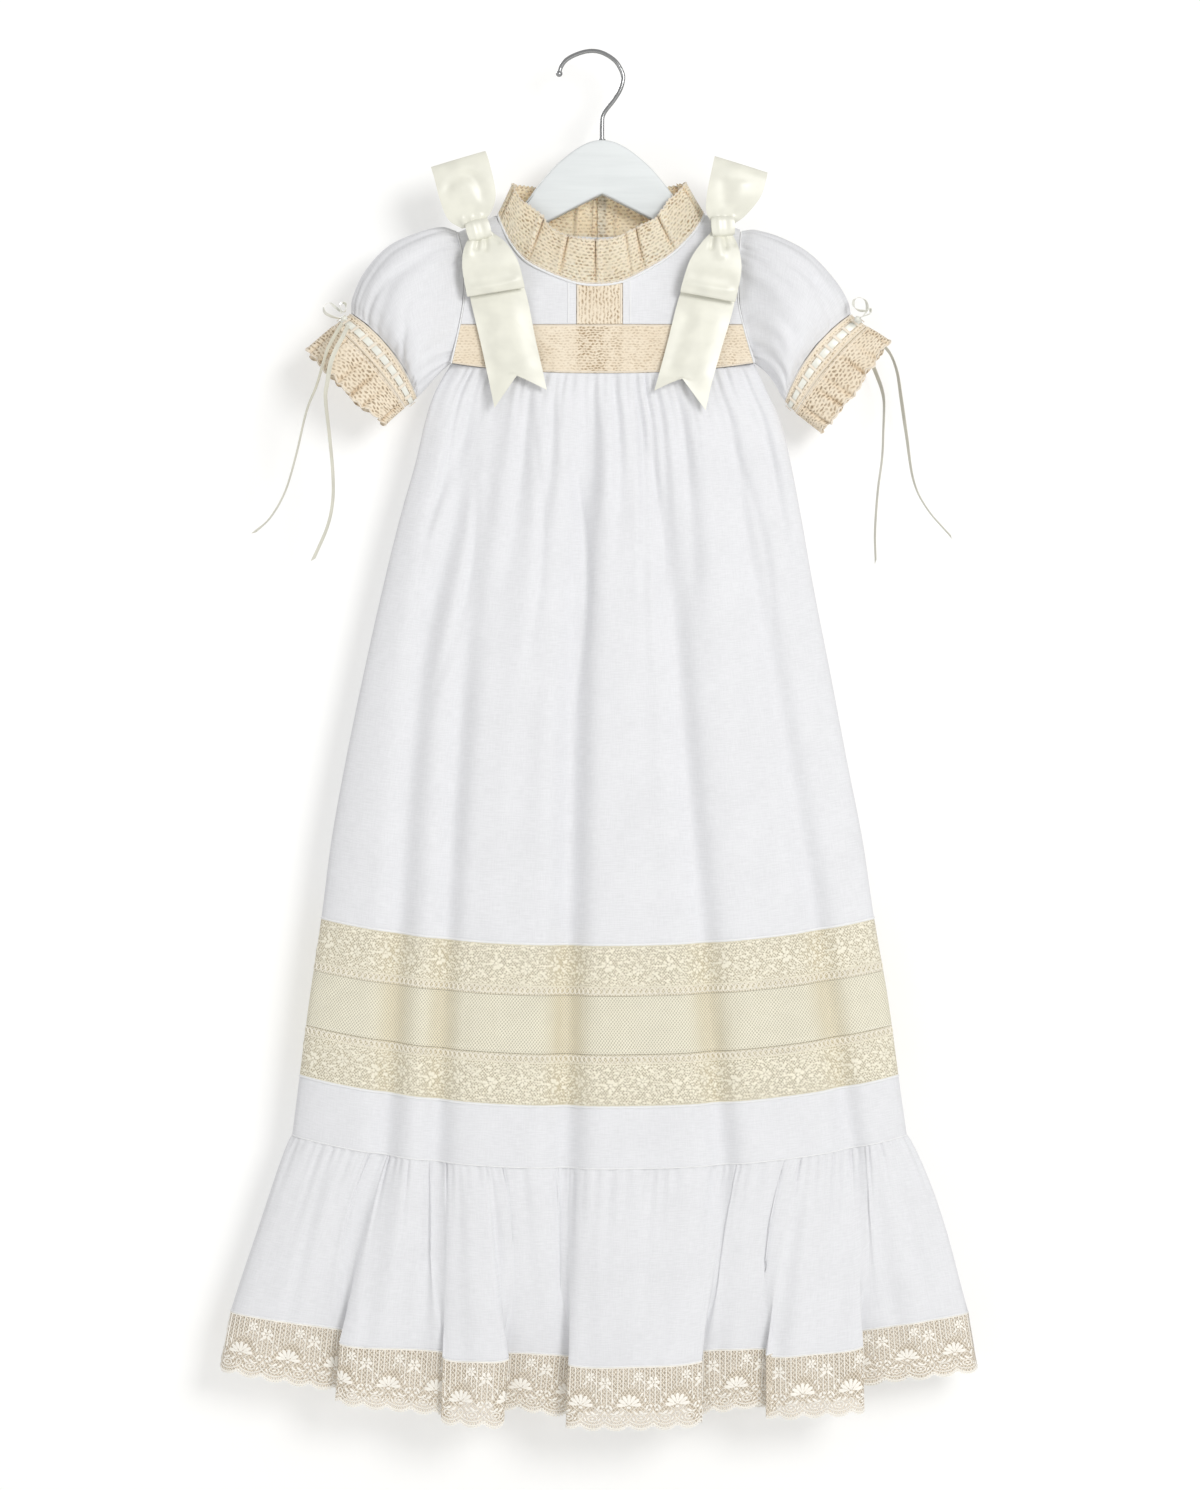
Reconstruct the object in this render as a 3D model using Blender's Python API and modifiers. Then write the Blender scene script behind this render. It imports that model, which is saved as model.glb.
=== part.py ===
"""Christening gown hanging on a flat wooden hanger, modelled at real size.

Every cloth piece is a wall 1 to 1.2 mm thick. The walls run through rings or
rows that are worked out from the named sizes and the short tables below.
Tables are in millimetres: "drop" is how far below the hook's bearing point a
place lies, "x" is across (the wearer's right is -x), and "level" is how far
the cloth stands forward of (or, on the back, behind) the middle plane y = 0.
The front of the gown looks along -Y, and +Z is up.
"""

import math

import bmesh
import bpy

MM = 0.001

# ---------------------------------------------------------------- sizes (mm)
CLOTH = 1.2            # wall of the cotton and lace
RIBBON = 1.0           # wall of the satin ribbon
SEAM_GAP = 0.3         # between two pieces at a seam
WIDE_RIBBON = 39.5     # width of the shoulder bows' ribbon
NARROW_RIBBON = 3.5    # width of the ribbon in the cuffs
HANGER_THICK = 11.0
HOOK_WIRE = 3.0
BINDING = 2.0
BUTTON_DIAMETER = 9.0
BUTTON_THICK = 2.4
SKIRT_COLUMNS = 26
SLEEVE_COLUMNS = 20

# ------------------------------------------------------ outline of the skirt
# drop: height of the ring; left, right: its side seams; front, back: how far
# its middle stands off the plane of the side seams.
SKIRT_RINGS = [
    {"drop": 216, "left": -105.0, "right": 106.0, "front": 10.5, "back": 10.0},
    {"drop": 237, "left": -117.0, "right": 115.5, "front": 11.5, "back": 12.0},
    {"drop": 256, "left": -123.5, "right": 124.5, "front": 13.0, "back": 13.5},
    {"drop": 286, "left": -130.5, "right": 132.0, "front": 15.0, "back": 15.0},
    {"drop": 325, "left": -141.5, "right": 139.5, "front": 17.0, "back": 16.5},
    {"drop": 376, "left": -154.0, "right": 148.5, "front": 19.0, "back": 18.0},
    {"drop": 432, "left": -166.5, "right": 159.5, "front": 20.5, "back": 19.0},
    {"drop": 495, "left": -179.5, "right": 171.5, "front": 22.0, "back": 20.0},
    {"drop": 551, "left": -189.5, "right": 182.5, "front": 23.0, "back": 21.0},
    {"drop": 605, "left": -196.5, "right": 190.5, "front": 23.5, "back": 21.5},
    {"drop": 663, "left": -205.0, "right": 200.5, "front": 24.0, "back": 22.0},
    {"drop": 726, "left": -213.0, "right": 209.0, "front": 24.5, "back": 22.5},
    {"drop": 757, "left": -217.0, "right": 213.5, "front": 25.0, "back": 23.0},
    {"drop": 790, "left": -222.0, "right": 218.5, "front": 25.5, "back": 23.5},
]

# Seams that run round the gown: their drop at the middle and at the sides.
SEAMS = {
    "waist": {"middle": 224.7, "side": 217.5},
    "lace_upper_top": {"middle": 623.0, "side": 605.0},
    "lace_upper_bottom": {"middle": 659.0, "side": 642.0},
    "lace_lower_top": {"middle": 699.5, "side": 680.0},
    "lace_lower_bottom": {"middle": 736.0, "side": 715.5},
    "flounce_top": {"middle": 778.5, "side": 757.0},
}
SEAM_BEND = 2.3

# Folds of the front and the back: three places that the bottom of the fold
# passes, how deep it is there, and how wide.
FRONT_FOLDS = [
    {"name": "a", "x": (-88, -106, -124), "drop": (240, 292, 331), "deep": (3.0, 3.0, 0.5), "wide": 7},
    {"name": "b", "x": (-79, -126, -152), "drop": (236, 432, 778), "deep": (3.0, 5.0, 6.0), "wide": 10},
    {"name": "c", "x": (-70, -99, -116), "drop": (236, 461, 778), "deep": (3.0, 5.0, 6.0), "wide": 9},
    {"name": "d", "x": (-52, -55, -58), "drop": (234, 290, 345), "deep": (2.5, 2.5, 0.5), "wide": 7},
    {"name": "e", "x": (-9, -19, -26), "drop": (234, 420, 778), "deep": (4.0, 9.0, 8.0), "wide": 11},
    {"name": "f", "x": (7, 12, 16), "drop": (234, 285, 345), "deep": (2.5, 2.5, 0.5), "wide": 7},
    {"name": "g", "x": (25, 29, 33), "drop": (234, 280, 330), "deep": (2.5, 2.5, 0.5), "wide": 6},
    {"name": "h", "x": (37, 53, 84), "drop": (234, 432, 778), "deep": (3.0, 6.0, 6.0), "wide": 10},
    {"name": "i", "x": (55, 59, 64), "drop": (234, 280, 330), "deep": (2.5, 2.5, 0.5), "wide": 6},
    {"name": "j", "x": (80, 117, 176), "drop": (236, 422, 778), "deep": (3.0, 5.0, 6.0), "wide": 10},
    {"name": "k", "x": (98, 117, 128), "drop": (240, 286, 345), "deep": (3.0, 3.0, 0.5), "wide": 7},
]
BACK_FOLDS = [
    {"name": "a", "x": (-84, -118, -150), "drop": (236, 400, 778), "deep": (3.0, 5.0, 6.0), "wide": 10},
    {"name": "b", "x": (-60, -68, -74), "drop": (234, 290, 360), "deep": (2.5, 2.5, 0.5), "wide": 7},
    {"name": "c", "x": (-40, -66, -88), "drop": (234, 440, 778), "deep": (3.0, 6.0, 7.0), "wide": 11},
    {"name": "d", "x": (-14, -19, -22), "drop": (234, 300, 380), "deep": (2.5, 3.0, 0.5), "wide": 7},
    {"name": "e", "x": (6, 8, 12), "drop": (234, 430, 778), "deep": (4.0, 7.0, 7.0), "wide": 11},
    {"name": "f", "x": (31, 38, 43), "drop": (234, 290, 350), "deep": (2.5, 2.5, 0.5), "wide": 7},
    {"name": "g", "x": (50, 72, 98), "drop": (234, 430, 778), "deep": (3.0, 5.0, 6.0), "wide": 10},
    {"name": "h", "x": (82, 121, 164), "drop": (236, 420, 778), "deep": (3.0, 5.0, 6.0), "wide": 10},
]

# Lobes of the flounce, from the left side seam to the right one. top_x and
# hem_x are where a lobe ends at the flounce's top seam and at its lower edge,
# lace_x at the lower edge of the hem lace. level is how far the lobe stands
# off; hem_drop and lace_drop are its two ends' drops at those two edges.
FRONT_LOBES = [
    {"top_x": (-217.0, -152.6), "hem_x": (-259.0, -185.5), "lace_x": (-267.0, -189.7), "level": 11, "hem_drop": (880.0, 891.5), "lace_drop": (922.0, 936.0)},
    {"top_x": (-152.6, -112.7), "hem_x": (-184.0, -112.0), "lace_x": (-187.0, -115.5), "level": 21, "hem_drop": (901.6, 905.0), "lace_drop": (943.0, 951.0)},
    {"top_x": (-112.7, -73.5), "hem_x": (-112.0, -63.0), "lace_x": (-113.5, -66.5), "level": 29, "hem_drop": (910.7, 911.4), "lace_drop": (956.0, 959.0)},
    {"top_x": (-73.5, -24.5), "hem_x": (-62.0, -24.5), "lace_x": (-64.0, -30.0), "level": 14, "hem_drop": (907.0, 909.0), "lace_drop": (947.0, 953.0)},
    {"top_x": (-24.5, 87.5), "hem_x": (-24.5, 70.0), "lace_x": (-26.0, 70.0), "level": 31, "hem_drop": (915.6, 913.0), "lace_drop": (960.0, 958.0)},
    {"top_x": (87.5, 131.6), "hem_x": (71.0, 112.0), "lace_x": (72.0, 108.0), "level": 16, "hem_drop": (905.0, 904.0), "lace_drop": (950.5, 946.0)},
    {"top_x": (131.6, 178.5), "hem_x": (112.0, 182.0), "lace_x": (112.0, 182.7), "level": 24, "hem_drop": (910.0, 903.7), "lace_drop": (954.0, 950.0)},
    {"top_x": (178.5, 213.5), "hem_x": (183.0, 257.0), "lace_x": (185.0, 264.0), "level": 10, "hem_drop": (892.0, 881.0), "lace_drop": (931.0, 923.0)},
]
BACK_LOBES = [
    {"top_x": (-217.0, -150.0), "hem_x": (-259.0, -172.0), "lace_x": (-267.0, -176.0), "level": 10, "hem_drop": (880.0, 894.0), "lace_drop": (922.0, 938.0)},
    {"top_x": (-150.0, -88.0), "hem_x": (-172.0, -98.0), "lace_x": (-175.0, -99.0), "level": 23, "hem_drop": (902.0, 908.0), "lace_drop": (945.0, 953.0)},
    {"top_x": (-88.0, -38.0), "hem_x": (-97.0, -38.0), "lace_x": (-98.0, -40.0), "level": 12, "hem_drop": (904.0, 907.0), "lace_drop": (948.0, 952.0)},
    {"top_x": (-38.0, 34.0), "hem_x": (-38.0, 46.0), "lace_x": (-39.0, 47.0), "level": 28, "hem_drop": (913.0, 913.0), "lace_drop": (957.0, 957.0)},
    {"top_x": (34.0, 98.0), "hem_x": (47.0, 102.0), "lace_x": (48.0, 103.0), "level": 14, "hem_drop": (907.0, 905.0), "lace_drop": (952.0, 949.0)},
    {"top_x": (98.0, 160.0), "hem_x": (103.0, 178.0), "lace_x": (104.0, 181.0), "level": 23, "hem_drop": (909.0, 903.0), "lace_drop": (953.0, 947.0)},
    {"top_x": (160.0, 213.5), "hem_x": (179.0, 257.0), "lace_x": (182.0, 264.0), "level": 10, "hem_drop": (893.0, 881.0), "lace_drop": (936.0, 923.0)},
]
LOBE_TUCK = 9.0        # how far a lobe runs on behind the one in front of it

# ------------------------------------------------------------------- bodice
# Neck seam, from the left side of the neck round the front to the right side,
# and on round the back. y is negative in front.
NECK_FRONT = [
    {"x": -72.0, "drop": 112.2, "y": 0.0},
    {"x": -71.8, "drop": 117.2, "y": -7.0},
    {"x": -64.6, "drop": 132.4, "y": -9.0},
    {"x": -54.0, "drop": 145.6, "y": -9.3},
    {"x": -37.0, "drop": 154.7, "y": -9.7},
    {"x": -17.9, "drop": 161.6, "y": -10.0},
    {"x": -1.5, "drop": 163.0, "y": -10.0},
    {"x": 14.5, "drop": 160.6, "y": -10.0},
    {"x": 30.5, "drop": 153.0, "y": -9.7},
    {"x": 49.0, "drop": 141.4, "y": -9.3},
    {"x": 63.0, "drop": 127.5, "y": -8.8},
    {"x": 70.4, "drop": 116.6, "y": -7.0},
    {"x": 70.7, "drop": 112.2, "y": 0.0},
]
NECK_BACK = [
    {"x": -72.0, "drop": 112.2, "y": 0.0},
    {"x": -70.0, "drop": 116.0, "y": 7.0},
    {"x": -58.0, "drop": 122.0, "y": 8.8},
    {"x": -34.0, "drop": 126.5, "y": 10.0},
    {"x": 0.0, "drop": 128.5, "y": 10.5},
    {"x": 34.0, "drop": 126.5, "y": 10.0},
    {"x": 57.0, "drop": 122.0, "y": 8.8},
    {"x": 68.8, "drop": 116.0, "y": 7.0},
    {"x": 70.7, "drop": 112.2, "y": 0.0},
]
# Upper edge of the stand-up frill, place for place with the neck seam.
FRILL_FRONT = [
    {"x": -62.0, "drop": 92.4, "y": 0.0},
    {"x": -60.8, "drop": 96.0, "y": -6.5},
    {"x": -56.0, "drop": 104.0, "y": -9.5},
    {"x": -43.0, "drop": 115.0, "y": -11.5},
    {"x": -30.0, "drop": 126.0, "y": -13.0},
    {"x": -13.0, "drop": 131.0, "y": -14.0},
    {"x": -1.5, "drop": 131.8, "y": -14.0},
    {"x": 11.0, "drop": 129.0, "y": -14.0},
    {"x": 24.5, "drop": 122.0, "y": -13.0},
    {"x": 37.0, "drop": 114.5, "y": -11.5},
    {"x": 47.5, "drop": 102.0, "y": -9.5},
    {"x": 55.0, "drop": 94.5, "y": -6.5},
    {"x": 57.4, "drop": 91.7, "y": 0.0},
]
FRILL_BACK = [
    {"x": -62.0, "drop": 92.4, "y": 0.0},
    {"x": -60.0, "drop": 91.5, "y": 6.5},
    {"x": -51.0, "drop": 91.5, "y": 9.5},
    {"x": -31.0, "drop": 92.5, "y": 11.5},
    {"x": 0.0, "drop": 94.0, "y": 12.0},
    {"x": 30.0, "drop": 92.5, "y": 11.5},
    {"x": 48.0, "drop": 91.5, "y": 9.5},
    {"x": 55.5, "drop": 91.0, "y": 6.5},
    {"x": 57.4, "drop": 91.7, "y": 0.0},
]
FRILL_PLEATS = 16      # pleats along the front half of the frill
FRILL_PLEAT_DEEP = 1.6

# Armhole seams: the line that the yoke and the sleeve share, seen from the
# front. The same line serves the back.
ARMHOLES = {
    "left": [
        {"x": -101.5, "drop": 124.6}, {"x": -97.0, "drop": 147.0}, {"x": -96.6, "drop": 170.8},
        {"x": -99.0, "drop": 188.0}, {"x": -105.5, "drop": 217.5},
    ],
    "right": [
        {"x": 97.5, "drop": 124.6}, {"x": 95.5, "drop": 150.0}, {"x": 95.5, "drop": 174.0},
        {"x": 99.5, "drop": 193.0}, {"x": 106.5, "drop": 217.5},
    ],
}
CENTER_STRIP = {"left": -17.9, "right": 14.5, "top": 162.4, "bottom": 190.4}
BAND_TOP = 190.4       # the lace band's upper seam
YOKE_LEVEL = 8.5
SHOULDER = {"x": 70.0, "drop": 112.2, "fall": 0.42}  # where its seam leaves the neck, and its slope
ARM_GAP = 0.95
PLACKET_LAP = 7.0      # how far the back's right half laps over the left one
PLACKET_LIFT = 1.8
YOKE_ROWS = (0.0, 0.035, 0.09, 0.3, 0.65, 1.0)   # rows bunch at the shoulder's round

# ------------------------------------------------------------------ sleeves
# Rings of the sleeve, from the armhole seam to the cuff seam: the ring's
# highest and lowest point, half its depth, and how far its middle bows
# towards the body.
SLEEVE_RINGS = {
    "left": [
        {"top_x": -101.9, "top_drop": 124.4, "low_x": -106.2, "low_drop": 217.0, "half": 9.2, "bow": 7.0, "square": 0.55, "armhole": "left"},
        {"top_x": -112.0, "top_drop": 121.5, "low_x": -111.0, "low_drop": 221.5, "half": 14.0, "bow": 5.0, "square": 0.7},
        {"top_x": -132.0, "top_drop": 126.5, "low_x": -117.5, "low_drop": 228.0, "half": 23.0, "bow": 2.0},
        {"top_x": -151.0, "top_drop": 136.0, "low_x": -122.5, "low_drop": 233.5, "half": 26.0, "bow": 1.0},
        {"top_x": -167.0, "top_drop": 154.0, "low_x": -126.5, "low_drop": 238.0, "half": 23.0, "bow": 2.0},
        {"top_x": -175.0, "top_drop": 172.0, "low_x": -128.5, "low_drop": 240.0, "half": 17.0, "bow": 4.5},
        {"top_x": -175.7, "top_drop": 182.0, "low_x": -129.5, "low_drop": 240.5, "half": 12.5, "bow": 6.0},
    ],
    "right": [
        {"top_x": 97.9, "top_drop": 124.4, "low_x": 107.2, "low_drop": 217.0, "half": 9.2, "bow": 7.0, "square": 0.55, "armhole": "right"},
        {"top_x": 107.0, "top_drop": 123.5, "low_x": 111.5, "low_drop": 220.5, "half": 14.0, "bow": 5.0, "square": 0.7},
        {"top_x": 127.0, "top_drop": 129.5, "low_x": 117.5, "low_drop": 226.5, "half": 23.0, "bow": 2.0},
        {"top_x": 146.0, "top_drop": 140.5, "low_x": 122.0, "low_drop": 233.0, "half": 26.0, "bow": 1.0},
        {"top_x": 163.5, "top_drop": 159.0, "low_x": 125.0, "low_drop": 239.0, "half": 23.0, "bow": 2.0},
        {"top_x": 172.5, "top_drop": 174.0, "low_x": 127.0, "low_drop": 242.0, "half": 17.0, "bow": 4.5},
        {"top_x": 174.2, "top_drop": 182.5, "low_x": 128.0, "low_drop": 243.0, "half": 12.5, "bow": 6.0},
    ],
}
# The lace cuff: the beading from the cuff seam outwards, then the frill.
CUFF_RINGS = {
    "left": {
        "seam": {"top_x": -175.9, "top_drop": 182.4, "low_x": -129.8, "low_drop": 240.9, "half": 12.5, "bow": 6.0},
        "ribbon": {"top_x": -182.5, "top_drop": 186.8, "low_x": -134.0, "low_drop": 244.6, "half": 12.4, "bow": 4.4},
        "end": {"top_x": -187.5, "top_drop": 190.7, "low_x": -138.0, "low_drop": 247.4, "half": 12.6, "bow": 3.0},
        "middle": {"top_x": -197.0, "top_drop": 199.5, "low_x": -145.5, "low_drop": 253.5, "half": 14.8, "bow": 0.6},
        "edge": {"top_x": -206.5, "top_drop": 208.6, "low_x": -152.8, "low_drop": 259.7, "half": 16.6, "bow": -2.0},
    },
    "right": {
        "seam": {"top_x": 174.4, "top_drop": 182.9, "low_x": 128.3, "low_drop": 243.5, "half": 12.5, "bow": 6.0},
        "ribbon": {"top_x": 180.6, "top_drop": 187.6, "low_x": 132.0, "low_drop": 247.5, "half": 12.4, "bow": 4.4},
        "end": {"top_x": 185.2, "top_drop": 191.2, "low_x": 135.4, "low_drop": 250.9, "half": 12.6, "bow": 3.0},
        "middle": {"top_x": 193.5, "top_drop": 197.0, "low_x": 145.0, "low_drop": 257.5, "half": 14.8, "bow": 0.6},
        "edge": {"top_x": 200.5, "top_drop": 202.5, "low_x": 154.5, "low_drop": 264.0, "half": 16.6, "bow": -2.0},
    },
}
CUFF_WAVES = 11
CUFF_WAVE_DEEP = 1.5

# -------------------------------------------------------------------- bows
# Rows across a ribbon, along its length: its two edges and how far it stands
# forward of the middle plane. notch lifts the middle of a cut end.
BOW_ROWS = {
    "bow_left_loop_up": [
        {"left": (-98.5, 117.6), "right": (-85.5, 114.4), "level": 17.0},
        {"left": (-107.0, 113.5), "right": (-76.5, 108.5), "level": 19.5},
        {"left": (-112.5, 103.0), "right": (-73.8, 97.5), "level": 21.5},
        {"left": (-117.0, 88.5), "right": (-79.0, 78.5), "level": 21.0},
        {"left": (-119.0, 82.6), "right": (-81.2, 71.4), "level": 18.0},
        {"left": (-117.0, 88.5), "right": (-79.0, 78.5), "level": 15.0},
        {"left": (-112.5, 103.0), "right": (-74.8, 97.5), "level": 14.0},
        {"left": (-106.0, 113.0), "right": (-77.5, 108.0), "level": 13.6},
    ],
    "bow_left_loop_down": [
        {"left": (-92.5, 134.0), "right": (-77.5, 131.8), "level": 17.0},
        {"left": (-95.5, 142.0), "right": (-69.5, 137.5), "level": 19.5},
        {"left": (-95.0, 156.0), "right": (-61.0, 149.0), "level": 21.0},
        {"left": (-93.8, 167.0), "right": (-54.8, 160.5), "level": 20.0},
        {"left": (-93.2, 171.5), "right": (-53.9, 165.4), "level": 17.5},
        {"left": (-93.8, 167.0), "right": (-55.5, 160.5), "level": 15.2},
        {"left": (-94.0, 156.0), "right": (-62.0, 149.0), "level": 14.6},
    ],
    "bow_left_tail": [
        {"left": (-92.0, 146.0), "right": (-72.0, 142.0), "level": 11.6},
        {"left": (-93.0, 158.0), "right": (-62.0, 152.0), "level": 11.8},
        {"left": (-92.0, 172.0), "right": (-53.2, 167.5), "level": 12.0},
        {"left": (-84.0, 204.0), "right": (-45.8, 203.0), "level": 13.2},
        {"left": (-74.9, 237.0), "right": (-38.2, 237.3), "level": 15.6, "notch": 0.0},
        {"left": (-72.8, 249.2), "right": (-37.6, 240.0), "level": 16.2, "notch": 17.5},
    ],
    "bow_right_loop_up": [
        {"left": (77.5, 115.0), "right": (91.0, 115.0), "level": 17.0},
        {"left": (74.5, 109.0), "right": (103.5, 110.0), "level": 19.5},
        {"left": (73.8, 98.0), "right": (111.0, 101.0), "level": 21.5},
        {"left": (77.0, 81.0), "right": (114.4, 90.5), "level": 21.0},
        {"left": (78.4, 74.9), "right": (114.8, 86.1), "level": 18.0},
        {"left": (77.0, 81.0), "right": (114.4, 90.5), "level": 15.0},
        {"left": (74.8, 98.0), "right": (110.0, 101.0), "level": 14.0},
        {"left": (76.0, 108.5), "right": (102.5, 109.5), "level": 13.6},
    ],
    "bow_right_loop_down": [
        {"left": (75.5, 132.2), "right": (91.0, 133.2), "level": 17.0},
        {"left": (69.0, 137.0), "right": (93.5, 141.0), "level": 19.5},
        {"left": (61.0, 148.0), "right": (94.5, 154.0), "level": 21.0},
        {"left": (55.6, 163.5), "right": (93.2, 170.5), "level": 20.0},
        {"left": (54.6, 168.7), "right": (92.4, 175.7), "level": 17.5},
        {"left": (56.4, 163.5), "right": (92.4, 170.5), "level": 15.2},
        {"left": (62.0, 148.0), "right": (93.5, 154.0), "level": 14.6},
    ],
    "bow_right_tail": [
        {"left": (71.0, 145.0), "right": (90.0, 147.0), "level": 11.6},
        {"left": (61.5, 157.0), "right": (92.5, 162.0), "level": 11.8},
        {"left": (53.8, 171.0), "right": (92.0, 177.5), "level": 12.0},
        {"left": (45.5, 204.0), "right": (82.0, 212.0), "level": 13.2},
        {"left": (37.0, 234.0), "right": (73.5, 240.5), "level": 15.6, "notch": 0.0},
        {"left": (36.1, 238.0), "right": (72.3, 249.9), "level": 16.2, "notch": 17.0},
    ],
}
KNOTS = {
    "bow_left_knot": {"x": -87.2, "drop": 124.6, "level": 17.0, "wide": 14.5, "high": 12.5, "deep": 9.5, "turn": 12.0},
    "bow_right_knot": {"x": 83.4, "drop": 123.6, "level": 17.0, "wide": 14.0, "high": 12.5, "deep": 9.5, "turn": -3.0},
}

# The narrow ribbon's bow at each cuff: the strip's middle line.
CUFF_BOWS = {
    "cuff_bow_left": [
        {"x": -179.6, "drop": 187.0, "level": 14.6}, {"x": -186.5, "drop": 186.2, "level": 16.4},
        {"x": -192.6, "drop": 183.2, "level": 17.2}, {"x": -193.4, "drop": 178.6, "level": 17.2},
        {"x": -189.4, "drop": 176.6, "level": 16.6}, {"x": -184.2, "drop": 180.6, "level": 16.0},
        {"x": -180.4, "drop": 183.0, "level": 17.0}, {"x": -178.4, "drop": 181.2, "level": 18.4},
        {"x": -178.2, "drop": 177.6, "level": 19.0}, {"x": -180.4, "drop": 176.2, "level": 19.4},
        {"x": -182.4, "drop": 178.2, "level": 19.4}, {"x": -181.6, "drop": 184.0, "level": 18.8},
    ],
    "cuff_bow_right": [
        {"x": 178.2, "drop": 187.4, "level": 14.6}, {"x": 182.6, "drop": 184.6, "level": 16.4},
        {"x": 184.8, "drop": 179.8, "level": 17.2}, {"x": 183.4, "drop": 174.6, "level": 17.2},
        {"x": 179.0, "drop": 172.4, "level": 16.6}, {"x": 175.6, "drop": 174.2, "level": 16.0},
        {"x": 175.0, "drop": 178.4, "level": 17.0}, {"x": 177.8, "drop": 181.4, "level": 18.4},
        {"x": 182.6, "drop": 182.2, "level": 19.0}, {"x": 186.4, "drop": 181.0, "level": 19.4},
        {"x": 186.2, "drop": 184.0, "level": 19.4}, {"x": 180.0, "drop": 186.4, "level": 18.8},
    ],
}
# The free tails of the narrow ribbon: x, drop and level of places they pass.
CUFF_TAILS = {
    "cuff_tail_left_a": [
        (-181.0, 190.6, 18.2), (-185.8, 199.0, 21.0), (-190.6, 208.5, 22.6), (-193.6, 217.5, 22.4),
        (-198.6, 234.0, 20.4), (-205.8, 252.0, 18.6), (-213.4, 283.0, 16.0), (-221.2, 308.0, 14.0),
        (-231.7, 325.9, 12.4), (-242.9, 336.0, 11.0),
    ],
    "cuff_tail_left_b": [
        (-176.8, 192.0, 18.4), (-180.6, 200.6, 21.2), (-185.4, 210.0, 22.8), (-189.0, 220.0, 22.8),
        (-191.0, 232.0, 21.6), (-192.4, 243.0, 20.6), (-189.8, 269.0, 18.2), (-187.6, 294.5, 16.2),
        (-187.8, 314.5, 14.6), (-191.8, 332.6, 13.2), (-201.6, 354.8, 11.6),
    ],
    "cuff_tail_right_a": [
        (179.0, 190.8, -17.0), (183.4, 199.6, -20.6), (188.4, 210.4, -22.2), (193.0, 221.0, -21.6),
        (197.2, 233.0, -19.4), (198.8, 243.0, -17.8), (198.2, 262.0, -15.6), (197.2, 282.0, -13.8),
        (194.0, 306.0, -12.0), (192.0, 334.0, -10.4), (192.4, 355.6, -9.4),
    ],
    "cuff_tail_right_b": [
        (184.6, 189.4, -17.0), (191.4, 196.4, -20.0), (198.6, 202.4, -21.4), (204.0, 209.6, -20.4),
        (208.2, 222.0, -18.6), (210.8, 240.0, -17.0), (214.4, 266.0, -15.0), (219.2, 298.0, -12.8),
        (228.6, 318.0, -11.2), (245.7, 338.1, -9.8),
    ],
}

# ------------------------------------------------------------------- hanger
# Half of the hanger's outline, from its top middle round the arm's end to
# its underside.
HANGER_OUTLINE = [
    {"x": 0.0, "drop": 61.0}, {"x": 9.0, "drop": 62.6}, {"x": 18.0, "drop": 67.2}, {"x": 27.0, "drop": 74.0},
    {"x": 35.5, "drop": 82.0}, {"x": 45.5, "drop": 94.0}, {"x": 52.0, "drop": 102.6}, {"x": 60.0, "drop": 111.4},
    {"x": 70.0, "drop": 118.6}, {"x": 96.0, "drop": 130.0}, {"x": 113.0, "drop": 137.6}, {"x": 119.0, "drop": 142.0},
    {"x": 121.5, "drop": 148.0}, {"x": 119.5, "drop": 154.0}, {"x": 113.0, "drop": 155.8}, {"x": 100.0, "drop": 150.4},
    {"x": 70.0, "drop": 134.2}, {"x": 37.8, "drop": 118.0}, {"x": 12.0, "drop": 104.6}, {"x": 0.0, "drop": 98.8},
]
# The middle line of the hook's wire, from its tip over the crown to the stem.
HOOK_LINE = [
    {"x": -30.0, "drop": 13.5}, {"x": -28.6, "drop": 9.0}, {"x": -25.2, "drop": 4.6}, {"x": -19.0, "drop": 1.0},
    {"x": -11.0, "drop": -1.5}, {"x": -3.5, "drop": -1.6}, {"x": 3.5, "drop": 1.0}, {"x": 10.0, "drop": 6.0},
    {"x": 14.2, "drop": 13.5}, {"x": 14.6, "drop": 19.0}, {"x": 12.4, "drop": 26.0}, {"x": 8.0, "drop": 33.0},
    {"x": 3.2, "drop": 39.0}, {"x": 0.6, "drop": 43.5}, {"x": 0.0, "drop": 49.0}, {"x": 0.0, "drop": 60.4},
]
HOOK_TIP_BALL = 4.6

COLORS = {
    "cotton": ((0.86, 0.86, 0.88), 0.85, 0.0),
    "lace_cream": ((0.86, 0.76, 0.62), 0.9, 0.0),
    "lace_ivory": ((0.84, 0.79, 0.66), 0.9, 0.0),
    "net": ((0.78, 0.72, 0.58), 0.9, 0.0),
    "satin": ((0.88, 0.86, 0.77), 0.35, 0.0),
    "wood_white": ((0.82, 0.84, 0.84), 0.5, 0.0),
    "steel": ((0.62, 0.63, 0.64), 0.25, 1.0),
    "button": ((0.9, 0.89, 0.86), 0.4, 0.0),
}


# ---------------------------------------------------------------- utilities
def clear_scene():
    for obj in list(bpy.data.objects):
        bpy.data.objects.remove(obj, do_unlink=True)


def material(name):
    found = bpy.data.materials.get(name)
    if found:
        return found
    color, rough, metal = COLORS[name]
    made = bpy.data.materials.new(name)
    made.use_nodes = True
    shader = made.node_tree.nodes["Principled BSDF"]
    shader.inputs["Base Color"].default_value = (*color, 1.0)
    shader.inputs["Roughness"].default_value = rough
    shader.inputs["Metallic"].default_value = metal
    return made


def place(x, y, drop):
    """A point in metres from x, y and drop in millimetres."""
    return (x * MM, y * MM, -drop * MM)


def lerp(a, b, t):
    return a + (b - a) * t


def smoothstep(low, high, value):
    t = min(1.0, max(0.0, (value - low) / (high - low)))
    return t * t * (3.0 - 2.0 * t)


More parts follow.
